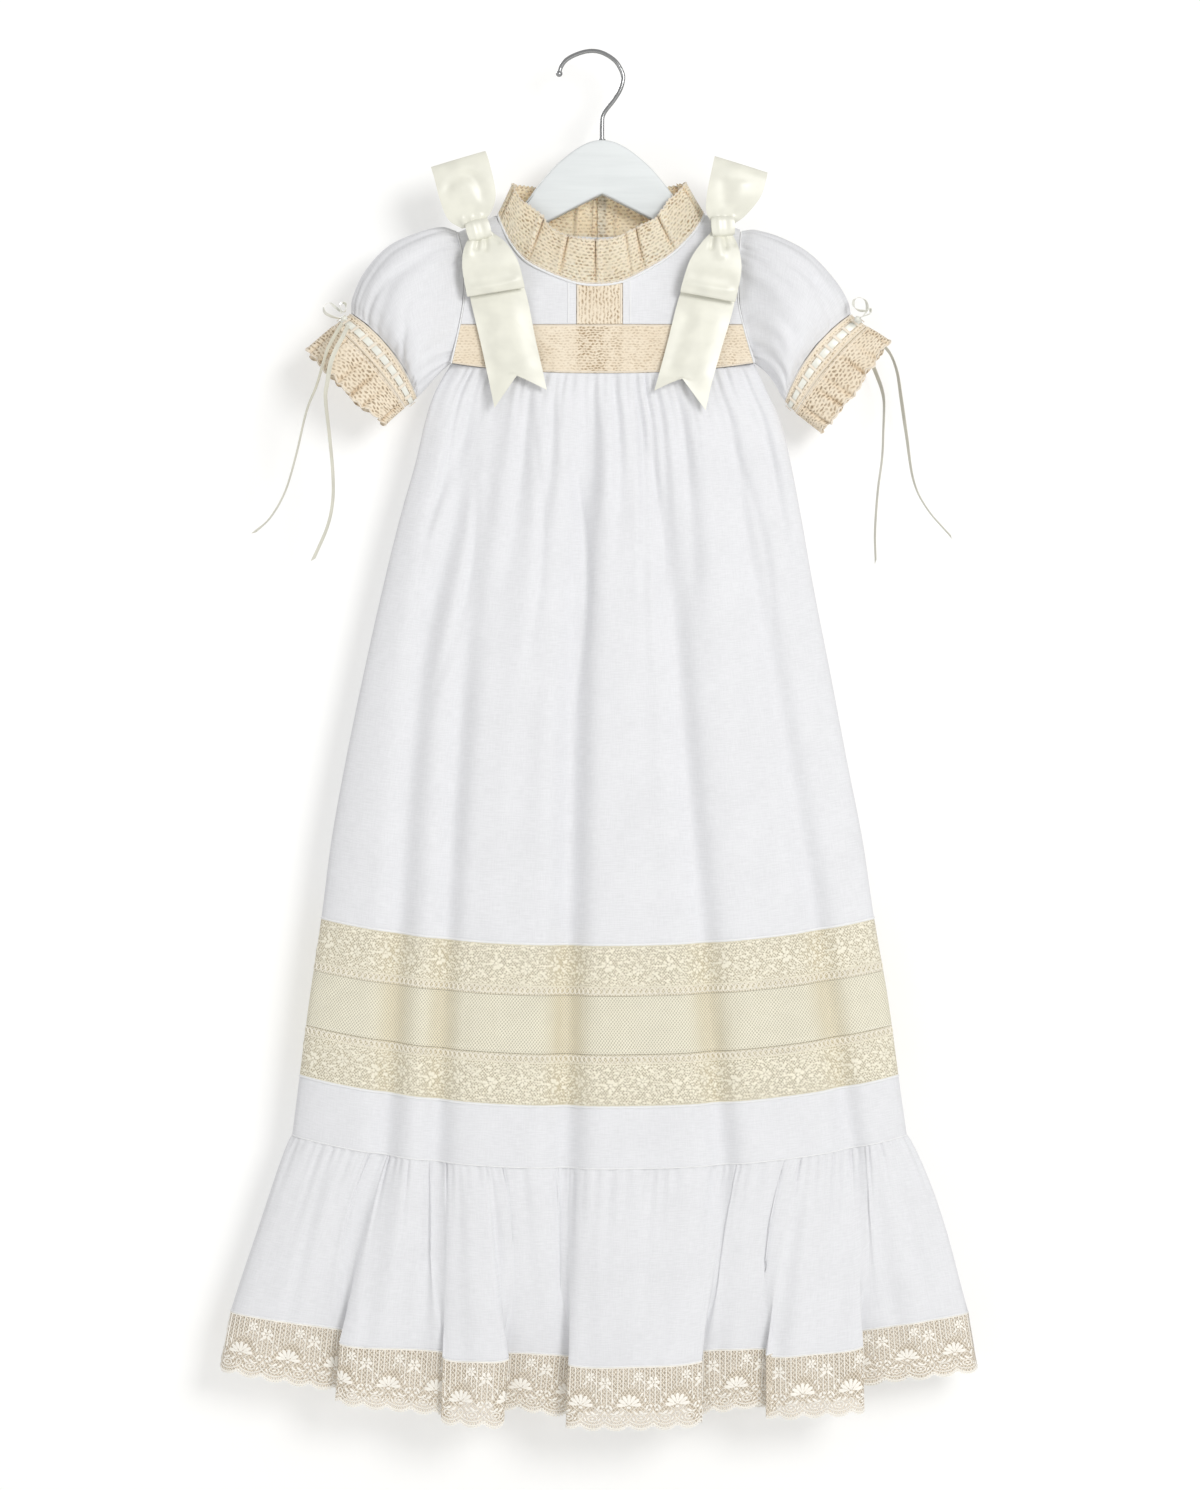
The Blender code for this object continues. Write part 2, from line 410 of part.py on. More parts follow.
def curve_at(places, values, at):
    """A smooth curve through (place, value) pairs, at one place."""
    if at <= places[0]:
        i = 0
    elif at >= places[-1]:
        i = len(places) - 2
    else:
        i = max(k for k in range(len(places) - 1) if places[k] <= at)
    span = places[i + 1] - places[i]
    t = (at - places[i]) / span

    def slope(k):
        if k == 0 or k == len(places) - 1:
            j = min(k, len(places) - 2)
            return (values[j + 1] - values[j]) / (places[j + 1] - places[j])
        return (values[k + 1] - values[k - 1]) / (places[k + 1] - places[k - 1])

    if t < 0.0:
        return values[0] + slope(0) * (at - places[0])
    if t > 1.0:
        return values[-1] + slope(len(places) - 1) * (at - places[-1])
    a, b = slope(i) * span, slope(i + 1) * span
    t2, t3 = t * t, t * t * t
    return (
        values[i] * (2 * t3 - 3 * t2 + 1)
        + a * (t3 - 2 * t2 + t)
        + values[i + 1] * (3 * t2 - 2 * t3)
        + b * (t3 - t2)
    )


def column_at(table, key, value, column):
    return curve_at([row[key] for row in table], [row[column] for row in table], value)


def along(table, columns, share):
    """Values of the named columns at a share 0..1 of the way along a table."""
    places = list(range(len(table)))
    return [curve_at(places, [row[c] for row in table], share * (len(table) - 1)) for c in columns]


def link(obj, collection, material_name, smooth=True):
    for other in list(obj.users_collection):
        other.objects.unlink(obj)
    collection.objects.link(obj)
    if not obj.data.materials:
        obj.data.materials.append(material(material_name))
    if smooth and obj.type == "MESH":
        obj.data.shade_smooth()
        obj.data.set_sharp_from_angle(angle=math.radians(50))
    return obj


def wall(name, outer, inner, collection, material_name, around=False):
    """Lofts a closed wall between an outer and an inner grid of points.

    Both grids are lists of rows with equally many points. With around, each
    row closes on itself and makes a tube that is open at both ends.
    """
    mesh = bmesh.new()
    rows, columns = len(outer), len(outer[0])
    faces = [[[mesh.verts.new(p) for p in row] for row in grid] for grid in (outer, inner)]
    last = columns if around else columns - 1
    for side, grid in enumerate(faces):
        for i in range(rows - 1):
            for j in range(last):
                a, b = grid[i][j], grid[i][(j + 1) % columns]
                c, d = grid[i + 1][(j + 1) % columns], grid[i + 1][j]
                for corners in ((a, b, c), (a, c, d)):
                    mesh.faces.new(corners if side == 0 else corners[::-1])
    front, back = faces
    for i in (0, rows - 1):
        for j in range(last):
            k = (j + 1) % columns
            ring = (front[i][j], front[i][k], back[i][k], back[i][j])
            mesh.faces.new(ring[::-1] if i == 0 else ring)
    if not around:
        for j in (0, columns - 1):
            for i in range(rows - 1):
                ring = (front[i][j], front[i + 1][j], back[i + 1][j], back[i][j])
                mesh.faces.new(ring if j == 0 else ring[::-1])
    bmesh.ops.recalc_face_normals(mesh, faces=mesh.faces)
    data = bpy.data.meshes.new(name)
    mesh.to_mesh(data)
    mesh.free()
    return link(bpy.data.objects.new(name, data), collection, material_name)


# -------------------------------------------------------- skirt's own rings
def seam_drop(seam, s):
    return seam["middle"] - (seam["middle"] - seam["side"]) * abs(s) ** SEAM_BEND


def fold_depth(folds, x, drop):
    """How far the folds push the cloth in, at this place."""
    total = 0.0
    for fold in folds:
        low, high = fold["drop"][0], fold["drop"][2]
        if drop < low - 20 or drop > high + 40:
            continue
        at = min(high, max(low, drop))
        middle = curve_at(fold["drop"], fold["x"], at)
        deep = curve_at(fold["drop"], fold["deep"], at) * smoothstep(low - 16, low + 24, drop)
        total += deep * math.exp(-(((x - middle) / fold["wide"]) ** 2))
    return total


def skirt_point(s, drop, back=False, raise_by=0.0):
    """x and y of the skirt at s (-1 left seam, 1 right seam) and a drop."""
    left = column_at(SKIRT_RINGS, "drop", drop, "left")
    right = column_at(SKIRT_RINGS, "drop", drop, "right")
    level = column_at(SKIRT_RINGS, "drop", drop, "back" if back else "front")
    x = lerp(left, right, (s + 1.0) / 2.0)
    body = (1.0 - abs(s) ** 3.0) ** 0.55 if abs(s) < 1.0 else 0.0
    push = fold_depth(BACK_FOLDS if back else FRONT_FOLDS, x, drop)
    y = level * body - push * min(1.0, 1.6 * body) + raise_by
    return x, (y if back else -y)


def columns_of(count):
    """Places across a panel, closer together towards the side seams."""
    out = []
    for i in range(count + 1):
        w = -1.0 + 2.0 * i / count
        out.append(0.6 * w + 0.4 * math.sin(math.pi / 2 * w))
    return out


def inward(points, thickness, back, sides=True):
    """Moves a row of (x, y) points into the cloth, square to the row."""
    out = []
    for i, (x, y) in enumerate(points):
        if sides and i in (0, len(points) - 1):
            nx, ny = (1.0 if i == 0 else -1.0), 0.0
        else:
            ax, ay = points[max(i - 1, 0)]
            bx, by = points[min(i + 1, len(points) - 1)]
            length = math.hypot(bx - ax, by - ay) or 1.0
            nx, ny = -(by - ay) / length, (bx - ax) / length
            if back:
                nx, ny = -nx, -ny
        out.append((x + nx * thickness, y + ny * thickness))
    return out


def ring_panel(name, upper, lower, rows, collection, material_name, back=False):
    """A panel of the skirt between two of the seams that run round it."""
    places = columns_of(SKIRT_COLUMNS)
    half_gap = SEAM_GAP / 2
    outer, inner = [], []
    for r in range(rows + 1):
        share = r / rows
        line, drops = [], []
        for s in places:
            top, low = seam_drop(upper, s) + half_gap, seam_drop(lower, s) - half_gap
            drop = lerp(top, low, share)
            x, y = skirt_point(s, drop, back)
            if abs(s) >= 0.999:
                y = half_gap if back else -half_gap
            line.append((x, y))
            drops.append(drop)
        outer.append([place(x, y, d) for (x, y), d in zip(line, drops)])
        inner.append([place(x, y, d) for (x, y), d in zip(inward(line, CLOTH, back), drops)])
    return wall(name, outer, inner, collection, material_name)


# -------------------------------------------------------- flounce and lobes
def lobe_points(lobes, back=False):
    """The flounce in plan: a list of places, each with its top, hem and lace
    points. Where one lobe lies in front of the next, the one behind runs on
    under it by LOBE_TUCK before it turns."""
    places = []

    def add(top_x, hem_x, lace_x, level, hem_drop, lace_drop):
        places.append(
            {"top_x": top_x, "hem_x": hem_x, "lace_x": lace_x, "level": level, "hem_drop": hem_drop, "lace_drop": lace_drop}
        )

    def spot(lobe, share, level):
        add(
            lerp(*lobe["top_x"], share), lerp(*lobe["hem_x"], share), lerp(*lobe["lace_x"], share),
            level, lerp(*lobe["hem_drop"], share), lerp(*lobe["lace_drop"], share),
        )

    for i, lobe in enumerate(lobes):
        level = lobe["level"]
        first, last = i == 0, i == len(lobes) - 1
        if first:
            spot(lobe, 0.0, 0.0)
            spot(lobe, 0.035, level * 0.45)
            spot(lobe, 0.16, level * 0.85)
        else:
            spot(lobe, 0.16, level)
        spot(lobe, 0.5, level + 2.0)
        if last:
            spot(lobe, 0.84, level * 0.85)
            spot(lobe, 0.965, level * 0.45)
            spot(lobe, 1.0, 0.0)
            break
        spot(lobe, 0.84, level)
        after = lobes[i + 1]
        edge_top, edge_hem, edge_lace = lobe["top_x"][1], after["hem_x"][0], after["lace_x"][0]
        if after["level"] > level:
            front, behind, side = after, lobe, 1.0
            drop_f, lace_f = after["hem_drop"][0], after["lace_drop"][0]
            drop_b, lace_b = lobe["hem_drop"][1], lobe["lace_drop"][1]
        else:
            front, behind, side = lobe, after, -1.0
            edge_hem, edge_lace = lobe["hem_x"][1], lobe["lace_x"][1]
            drop_f, lace_f = lobe["hem_drop"][1], lobe["lace_drop"][1]
            drop_b, lace_b = after["hem_drop"][0], after["lace_drop"][0]
        low, high = behind["level"], front["level"]
        tuck = LOBE_TUCK * min(1.0, (high - low) / 10.0)
        turn = [
            (edge_top - side * 2.4, edge_hem + side * tuck, edge_lace + side * tuck, low + 0.5, lerp(drop_b, drop_f, 0.2), lerp(lace_b, lace_f, 0.2)),
            (edge_top, edge_hem + side * tuck * 0.75, edge_lace + side * tuck * 0.75, lerp(low, high, 0.36), lerp(drop_b, drop_f, 0.55), lerp(lace_b, lace_f, 0.55)),
            (edge_top + side * 2.4, edge_hem, edge_lace, lerp(low, high, 0.78), drop_f, lace_f),
        ]
        for row in turn if side > 0 else turn[::-1]:
            add(*row)
    return places


def flounce_rows(lobes, shares, back=False):
    """Rows of (x, y, drop) from the flounce's top seam (0) to its hem (1)
    and on to the lower edge of the hem lace (2)."""
    places = lobe_points(lobes, back)
    sign = 1.0 if back else -1.0
    rows = []
    for share in shares:
        row = []
        for n, p in enumerate(places):
            s = (p["top_x"] + 1.75) / 215.25
            s = max(-1.0, min(1.0, s))
            top_drop = seam_drop(SEAMS["flounce_top"], s)
            x0, y0 = skirt_point(s, top_drop, back)
            if n in (0, len(places) - 1):
                y0 = 0.0
            y0 = abs(y0)
            if share <= 1.0:
                spread = share ** 0.9
                grow = share ** 1.15
                x = lerp(x0, p["hem_x"], spread)
                y = lerp(y0, p["level"], grow)
                drop = lerp(top_drop, p["hem_drop"], share)
            else:
                t = share - 1.0
                x = lerp(p["hem_x"], p["lace_x"], t)
                y = p["level"] * (1.0 + 0.06 * t)
                drop = lerp(p["hem_drop"], p["lace_drop"], t)
            row.append((x, sign * y, drop))
        rows.append(row)
    return rows


def flounce_panel(name, lobes, shares, collection, material_name, back=False, top_gap=0.0, low_gap=0.0):
    rows = flounce_rows(lobes, shares, back)
    half_gap = SEAM_GAP / 2
    outer, inner = [], []
    for r, row in enumerate(rows):
        lift = top_gap if r == 0 else (-low_gap if r == len(rows) - 1 else 0.0)
        line = [(x, y) for x, y, _ in row]
        line[0] = (line[0][0], half_gap if back else -half_gap)
        line[-1] = (line[-1][0], half_gap if back else -half_gap)
        pushed = inward(line, CLOTH, back)
        outer.append([place(x, y, row[k][2] + lift) for k, (x, y) in enumerate(line)])
        inner.append([place(x, y, row[k][2] + lift) for k, (x, y) in enumerate(pushed)])
    return wall(name, outer, inner, collection, material_name)


# -------------------------------------------------------------------- yoke
def arm_edge(side, drop):
    return column_at(ARMHOLES[side], "drop", drop, "x")


def neck_at(table, share):
    return along(table, ("x", "drop", "y"), share)


def yoke_level(x, drop, back=False):
    """How far the yoke stands off the middle plane: it is flat, and rounds
    over to the shoulder seam along the top of the hanger's arms."""
    ridge = SHOULDER["drop"] + max(0.0, abs(x) - SHOULDER["x"]) * SHOULDER["fall"]
    t = min(1.0, max(0.0, (drop - ridge) / 9.0))
    round_over = math.sqrt(max(0.0, 1.0 - (1.0 - t) ** 2))
    full = YOKE_LEVEL + 1.4 * smoothstep(60.0, 0.0, abs(x)) + 1.2 * smoothstep(170.0, 216.0, drop)
    return full * round_over


def yoke_panel(name, corners, left_edge, right_edge, bottom, rows, collection, material_name, back=False, lift=None):
    """A flat panel between a top edge and a level or bowed bottom edge.

    corners are the (x, drop) places along the top edge; left_edge and
    right_edge give x at a drop; bottom(x) gives a drop."""
    sign = 1.0 if back else -1.0
    columns = len(corners) - 1
    outer, inner = [], []
    shares = YOKE_ROWS if rows > 2 else [r / rows for r in range(rows + 1)]
    for r, v in enumerate(shares):
        outer_row, inner_row = [], []
        for c in range(columns + 1):
            u = c / columns
            top_x, top_drop = corners[c]
            end_x = lerp(left_edge(None), right_edge(None), u)
            end_drop = bottom(end_x)
            drop = lerp(top_drop, end_drop, v)
            left, right = left_edge(drop), right_edge(drop)
            straight = lerp(top_x, end_x, v)
            base_left = lerp(corners[0][0], left_edge(None), v)
            base_right = lerp(corners[-1][0], right_edge(None), v)
            x = straight + (left - base_left) * (1 - u) + (right - base_right) * u
            y = yoke_level(x, drop, back)
            if r == 0:
                y = max(y, 0.15)
            more = lift(x) if lift else 0.0
            outer_row.append(place(x, sign * (y + more), drop))
            slope = min(1.0, y / YOKE_LEVEL)
            dip = CLOTH * math.sqrt(max(0.0, 1.0 - slope * slope)) if r < 2 else 0.0
            inner_row.append(place(x, sign * (max(y - CLOTH * max(slope, 0.25), 0.15) + more), drop + dip))
        outer.append(outer_row)
        inner.append(inner_row)
    return wall(name, outer, inner, collection, material_name)


# ------------------------------------------------------------------ sleeves
def tube_ring(ring, share_power, columns, wave=0.0, waves=0, grow=0.0, phase=0.0):
    """Points round a flattened tube; share_power squares its shape. A ring
    with an "armhole" follows that seam."""
    share_power = ring.get("square", share_power)
    ax, az = ring["top_x"], -ring["top_drop"]
    bx, bz = ring["low_x"], -ring["low_drop"]
    cx, cz = (ax + bx) / 2, (az + bz) / 2
    mx, mz = (ax - bx) / 2, (az - bz) / 2
    length = math.hypot(mx, mz)
    ux, uz = mx / length, mz / length
    # Square to the chord, towards the body.
    px, pz = (uz, -ux) if (uz * -cx) > 0 else (-uz, ux)
    points = []
    for k in range(columns):
        angle = 2 * math.pi * k / columns
        c, s = math.cos(angle), math.sin(angle)
        half = ring["half"] + wave * math.cos(waves * angle + phase) * abs(s) ** 0.5
        cc = math.copysign(abs(c) ** share_power, c)
        ss = math.copysign(abs(s) ** share_power, s)
        reach = length + grow
        bow = ring["bow"] * (1.0 - cc * cc)
        x = cx + ux * reach * cc + px * bow
        z = cz + uz * reach * cc + pz * bow
        y = -(half + grow) * ss
        if "armhole" in ring:
            outwards = -1.0 if ring["armhole"] == "left" else 1.0
            low, high = (table[k]["drop"] for table in [ARMHOLES[ring["armhole"]]] for k in (0, -1))
            x = arm_edge(ring["armhole"], min(high, max(low, -z))) + outwards * 0.45
        points.append((x * MM, y * MM, z * MM))
    return points


def tube_wall(name, rings, collection, material_name, columns, power=0.85, wave=0.0, waves=0, thick=CLOTH, grow=0.0):
    outer, inner = [], []
    for i, ring in enumerate(rings):
        amount = wave * i / max(1, len(rings) - 1)
        outer.append(tube_ring(ring, power, columns, amount, waves, grow))
        inner.append(tube_ring(ring, power, columns, amount, waves, grow - thick))
    return wall(name, outer, inner, collection, material_name, around=True)


# ------------------------------------------------------------------ ribbons
def ribbon(name, rows, collection, columns=4):
    """A flat ribbon through a table of rows across it."""
    count = len(rows)
    outer, inner = [], []

    def middle(i):
        row = rows[min(max(i, 0), count - 1)]
        return ((row["left"][0] + row["right"][0]) / 2, -row["level"], -(row["left"][1] + row["right"][1]) / 2)

    for i, row in enumerate(rows):
        a, b = middle(i - 1), middle(i + 1)
        tx, ty, tz = (b[k] - a[k] for k in range(3))
        wx = row["right"][0] - row["left"][0]
        wz = -(row["right"][1] - row["left"][1])
        # Square to the ribbon's run and to its width.
        nx, ny, nz = ty * wz, tz * wx - tx * wz, -ty * wx
        length = math.sqrt(nx * nx + ny * ny + nz * nz) or 1.0
        nx, ny, nz = nx / length, ny / length, nz / length
        outer_row, inner_row = [], []
        for c in range(columns + 1):
            u = c / columns
            x = lerp(row["left"][0], row["right"][0], u)
            drop = lerp(row["left"][1], row["right"][1], u)
            drop -= row.get("notch", 0.0) * (1.0 - abs(2 * u - 1.0))
            level = row["level"] + 0.7 * math.sin(math.pi * u)
            p = (x, -level, -drop)
            outer_row.append(tuple(v * MM for v in p))
            q = (p[0] + nx * RIBBON, p[1] + ny * RIBBON, p[2] + nz * RIBBON)
            inner_row.append(tuple(v * MM for v in q))
        outer.append(outer_row)
        inner.append(inner_row)
    return wall(name, outer, inner, collection, "satin")


def knot(name, size, collection):
    """The ribbon's turn round the middle of a bow."""
    bpy.ops.mesh.primitive_cube_add(size=1.0)
    obj = bpy.context.object
    obj.name = name
    obj.data.name = name
    for vert in obj.data.vertices:
        vert.co.x *= size["wide"] * MM
        vert.co.y *= size["deep"] * MM
        vert.co.z *= size["high"] * MM
    obj.location = place(size["x"], -size["level"], size["drop"])
    obj.rotation_euler = (0.0, math.radians(size["turn"]), 0.0)
    edge = obj.modifiers.new("edges", "BEVEL")
    edge.width = 3.0 * MM
    edge.segments = 2
    edge.harden_normals = False
    return link(obj, collection, "satin")


def strip(name, line, width, collection, thick=RIBBON):
    """A narrow ribbon on edge along a line; its width runs in y."""
    count = len(line)
    outer, inner = [], []
    for i, p in enumerate(line):
        a, b = line[max(i - 1, 0)], line[min(i + 1, count - 1)]
        tx, tz = b["x"] - a["x"], -(b["drop"] - a["drop"])
        length = math.hypot(tx, tz) or 1.0
        nx, nz = -tz / length * thick / 2, tx / length * thick / 2
        rows = []
        for sign in (1.0, -1.0):
            rows.append([
                place(p["x"] + sign * nx, -(p["level"] + e * width / 2), p["drop"] - sign * nz)
                for e in (-1.0, 1.0)
            ])
        outer.append(rows[0])
        inner.append(rows[1])
    return wall(name, outer, inner, collection, "satin")


def tube_curve(name, points, radius, collection, material_name, resolution=2, cyclic=False):
    data = bpy.data.curves.new(name, "CURVE")
    data.dimensions = "3D"
    data.bevel_depth = radius * MM
    data.bevel_resolution = resolution
    data.use_fill_caps = True
    spline = data.splines.new("POLY")
    spline.points.add(len(points) - 1)
    for point, co in zip(spline.points, points):
        point.co = (*co, 1.0)
    spline.use_cyclic_u = cyclic
    return link(bpy.data.objects.new(name, data), collection, material_name, smooth=False)


def even_points(line, step):
    """Points a step apart along a smooth curve through (x, drop, level)."""
    places = list(range(len(line)))
    fine = []
    for k in range(40 * (len(line) - 1) + 1):
        t = k / 40
        x, drop, level = (curve_at(places, [p[c] for p in line], t) for c in range(3))
        fine.append((x, -level, drop))
    out, run = [fine[0]], 0.0
    total = sum(math.dist(a, b) for a, b in zip(fine, fine[1:]))
    count = max(2, round(total / step))
    each = total / count
    for a, b in zip(fine, fine[1:]):
        run += math.dist(a, b)
        if run >= each * len(out) - 1e-6 and len(out) < count:
            out.append(b)
    out.append(fine[-1])
    return [place(*p) for p in out]


# ------------------------------------------------------------------ the gown
def build_hanger(parts):
    outline = HANGER_OUTLINE + [dict(row, x=-row["x"]) for row in HANGER_OUTLINE[-2:0:-1]]
    data = bpy.data.curves.new("hanger_body", "CURVE")
    data.dimensions = "2D"
    data.fill_mode = "BOTH"
    data.extrude = (HANGER_THICK / 2 - 1.6) * MM
    data.bevel_depth = 1.6 * MM
    data.bevel_resolution = 1
    data.offset = -1.6 * MM
    spline = data.splines.new("POLY")
    spline.points.add(len(outline) - 1)
    for point, row in zip(spline.points, outline):
        point.co = (row["x"] * MM, -row["drop"] * MM, 0.0, 1.0)
    spline.use_cyclic_u = True
    body = bpy.data.objects.new("hanger_body", data)
    body.rotation_euler = (math.pi / 2, 0.0, 0.0)
    link(body, parts, "wood_white", smooth=False)

    wire = tube_curve(
        "hook_wire", [place(row["x"], 0.0, row["drop"]) for row in HOOK_LINE], HOOK_WIRE / 2, parts, "steel", resolution=2
    )
    bpy.context.view_layer.update()
    graph = bpy.context.evaluated_depsgraph_get()
    mesh = bpy.data.meshes.new_from_object(wire.evaluated_get(graph))
    tidy = bmesh.new()
    tidy.from_mesh(mesh)
    bmesh.ops.remove_doubles(tidy, verts=tidy.verts, dist=0.00001)
    tidy.to_mesh(mesh)
    tidy.free()
    hook = bpy.data.objects.new("hanger_hook", mesh)
    hook.matrix_world = wire.matrix_world
    bpy.data.objects.remove(wire, do_unlink=True)
    link(hook, parts, "steel")

    cutters = bpy.data.collections.new("cutters")
    bpy.context.scene.collection.children.link(cutters)
    bpy.ops.mesh.primitive_uv_sphere_add(segments=12, ring_count=8, radius=HOOK_TIP_BALL / 2 * MM)
    ball = bpy.context.object
    ball.name = "hook_tip"
    ball.location = place(HOOK_LINE[0]["x"], 0.0, HOOK_LINE[0]["drop"] + 0.6)
    link(ball, cutters, "steel")
    ball.hide_render = True
    ball.display_type = "WIRE"
    join = hook.modifiers.new("tip", "BOOLEAN")
    join.operation = "UNION"
    join.solver = "EXACT"
    join.object = ball


def build_bodice(parts):
    gap = SEAM_GAP / 2
    waist = lambda x: seam_drop(SEAMS["waist"], min(1.0, abs(x) / 106.0)) - gap
    below_binding = BINDING / 2 + 1.4

    def top_edge(neck, frill, low_x, high_x):
        """Corners of a panel's upper edge between two places: along the
        shoulder seam, then just below the piping of the neck seam."""
        corners = []
        ridge = lambda x: SHOULDER["drop"] + (abs(x) - SHOULDER["x"]) * SHOULDER["fall"]
        for side, neck_x in ((-1, -73.4), (1, 72.1)):
            arm_x = low_x if side < 0 else high_x
            if (arm_x < -73.4) if side < 0 else (arm_x > 72.1):
                for t in (0.0, 0.36, 0.7, 1.0):
                    x = lerp(arm_x, neck_x, t)
                    corners.append((x, ridge(x) + 0.1))
        for row, above in list(zip(neck, frill))[1:-1]:
            dx, dd = row["x"] - above["x"], row["drop"] - above["drop"]
            away = below_binding / math.hypot(dx, dd)
            corners.append((row["x"] + dx * away, row["drop"] + dd * away))
        inside = [c for c in corners if low_x + 1.5 < c[0] < high_x - 1.5]
        ends = []
        for x in (low_x, high_x):
            near = [c for c in corners if abs(c[0] - x) < 0.01]
            if near:
                ends.append(near[0])
                continue
            ordered = sorted(corners)
            for (xa, da), (xb, db) in zip(ordered, ordered[1:]):
                if xa <= x <= xb:
                    ends.append((x, lerp(da, db, (x - xa) / (xb - xa))))
                    break
        return sorted([ends[0]] + inside + [ends[1]])

    left_arm = lambda drop: arm_edge("left", drop if drop is not None else BAND_TOP) + ARM_GAP
    right_arm = lambda drop: arm_edge("right", drop if drop is not None else BAND_TOP) - ARM_GAP
    low_left = lambda drop: arm_edge("left", drop if drop is not None else 217.5) + ARM_GAP
    low_right = lambda drop: arm_edge("right", drop if drop is not None else 217.5) - ARM_GAP
    strip_left, strip_right = CENTER_STRIP["left"], CENTER_STRIP["right"]
    band_top = lambda x: BAND_TOP - gap
    front = (NECK_FRONT, FRILL_FRONT)
    back = (NECK_BACK, FRILL_BACK)

    yoke_panel(
        "yoke_front_left", top_edge(*front, left_arm(124.6), strip_left - gap), left_arm,
        lambda d: strip_left - gap, band_top, 5, parts, "cotton",
    )
    yoke_panel(
        "yoke_front_right", top_edge(*front, strip_right + gap, right_arm(124.6)),
        lambda d: strip_right + gap, right_arm, band_top, 5, parts, "cotton",
    )
    yoke_panel(
        "yoke_lace_center", top_edge(*front, strip_left + gap, strip_right - gap),
        lambda d: strip_left + gap, lambda d: strip_right - gap, band_top, 2, parts, "lace_cream",
    )
    low, high = low_left(BAND_TOP), low_right(BAND_TOP)
    corners = [(lerp(low, high, k / 14), BAND_TOP + gap) for k in range(15)]
    yoke_panel("yoke_lace_band", corners, low_left, low_right, waist, 2, parts, "lace_cream")
    yoke_panel(
        "yoke_back_left", top_edge(*back, left_arm(124.6), PLACKET_LAP), low_left,
        lambda d: PLACKET_LAP, waist, 5, parts, "cotton", back=True,
    )
    yoke_panel(
        "yoke_back_right", top_edge(*back, -PLACKET_LAP, right_arm(124.6)), lambda d: -PLACKET_LAP,
        low_right, waist, 5, parts, "cotton", back=True, lift=lambda x: PLACKET_LIFT * smoothstep(26.0, 9.0, x),
    )

    for k, drop in enumerate((136.0, 166.0, 196.0)):
        bpy.ops.mesh.primitive_cylinder_add(vertices=20, radius=BUTTON_DIAMETER / 2 * MM, depth=BUTTON_THICK * MM)
        button = bpy.context.object
        button.name = f"button_back_{k + 1}"
        button.rotation_euler = (math.pi / 2, 0.0, 0.0)
        level = yoke_level(0.0, drop) + PLACKET_LIFT
        button.location = place(0.0, level + SEAM_GAP + 0.3 + BUTTON_THICK / 2, drop)
        edge = button.modifiers.new("rim", "BEVEL")
        edge.width = 0.6 * MM
        edge.segments = 1
        edge.limit_method = "ANGLE"
        link(button, parts, "button")


def build_neck(parts):
    """The piping on the neck seam and the stand-up frill. Both run from
    centre back round the front to centre back, where the gown opens."""
    loop = []
    half = [row for row in NECK_BACK if row["x"] <= 0.0]
    start = [dict(row) for row in half[::-1]]
    start[0]["x"] = -0.6
    loop += start[:-1]
    loop += NECK_FRONT
    end = [dict(row) for row in NECK_BACK[::-1] if row["x"] >= 0.0]
    end[-1]["x"] = 0.6
    loop += end[1:]
    count = 34
    points = []
    for k in range(count + 1):
        x, drop, y = along(loop, ("x", "drop", "y"), k / count)
        points.append(place(x, y * 1.0, drop))
    tube_curve("neck_binding", points, BINDING / 2, parts, "cotton", resolution=1)

    upper = []
    top_start = [dict(row) for row in FRILL_BACK if row["x"] <= 0.0][::-1]
    top_start[0]["x"] = -0.6
    upper += top_start[:-1]
    upper += FRILL_FRONT
    top_end = [dict(row) for row in FRILL_BACK[::-1] if row["x"] >= 0.0]
    top_end[-1]["x"] = 0.6
    upper += top_end[1:]
    count = 4 * FRILL_PLEATS
    outer, inner = [], []
    for v in (0.0, 1.0):
        outer_row, inner_row = [], []
        for k in range(count + 1):
            share = k / count
            bx, bd, by = along(loop, ("x", "drop", "y"), share)
            tx, td, ty = along(upper, ("x", "drop", "y"), share)
            # The frill starts just clear of the piping.
            start = 2.2 / math.dist((bx, by, bd), (tx, ty, td))
            t = lerp(start, 1.0, v)
            x, y, drop = lerp(bx, tx, t), lerp(by, ty, t), lerp(bd, td, t)
            ax, _, ay = along(loop, ("x", "drop", "y"), max(0.0, share - 0.01))
            cx, _, cy = along(loop, ("x", "drop", "y"), min(1.0, share + 0.01))
            length = math.hypot(cx - ax, cy - ay) or 1.0
            nx, ny = (cy - ay) / length, -(cx - ax) / length
            edge = min(1.0, 14.0 * min(share, 1.0 - share))
            wave = FRILL_PLEAT_DEEP * (0.35 + 0.65 * v) * (1.0 if k % 2 else -1.0) * edge
            x, y = x + nx * wave, y + ny * wave
            outer_row.append(place(x, y, drop))
            inner_row.append(place(x - nx * CLOTH, y - ny * CLOTH, drop))
        outer.append(outer_row)
        inner.append(inner_row)
    wall("collar_frill", outer, inner, parts, "lace_cream")


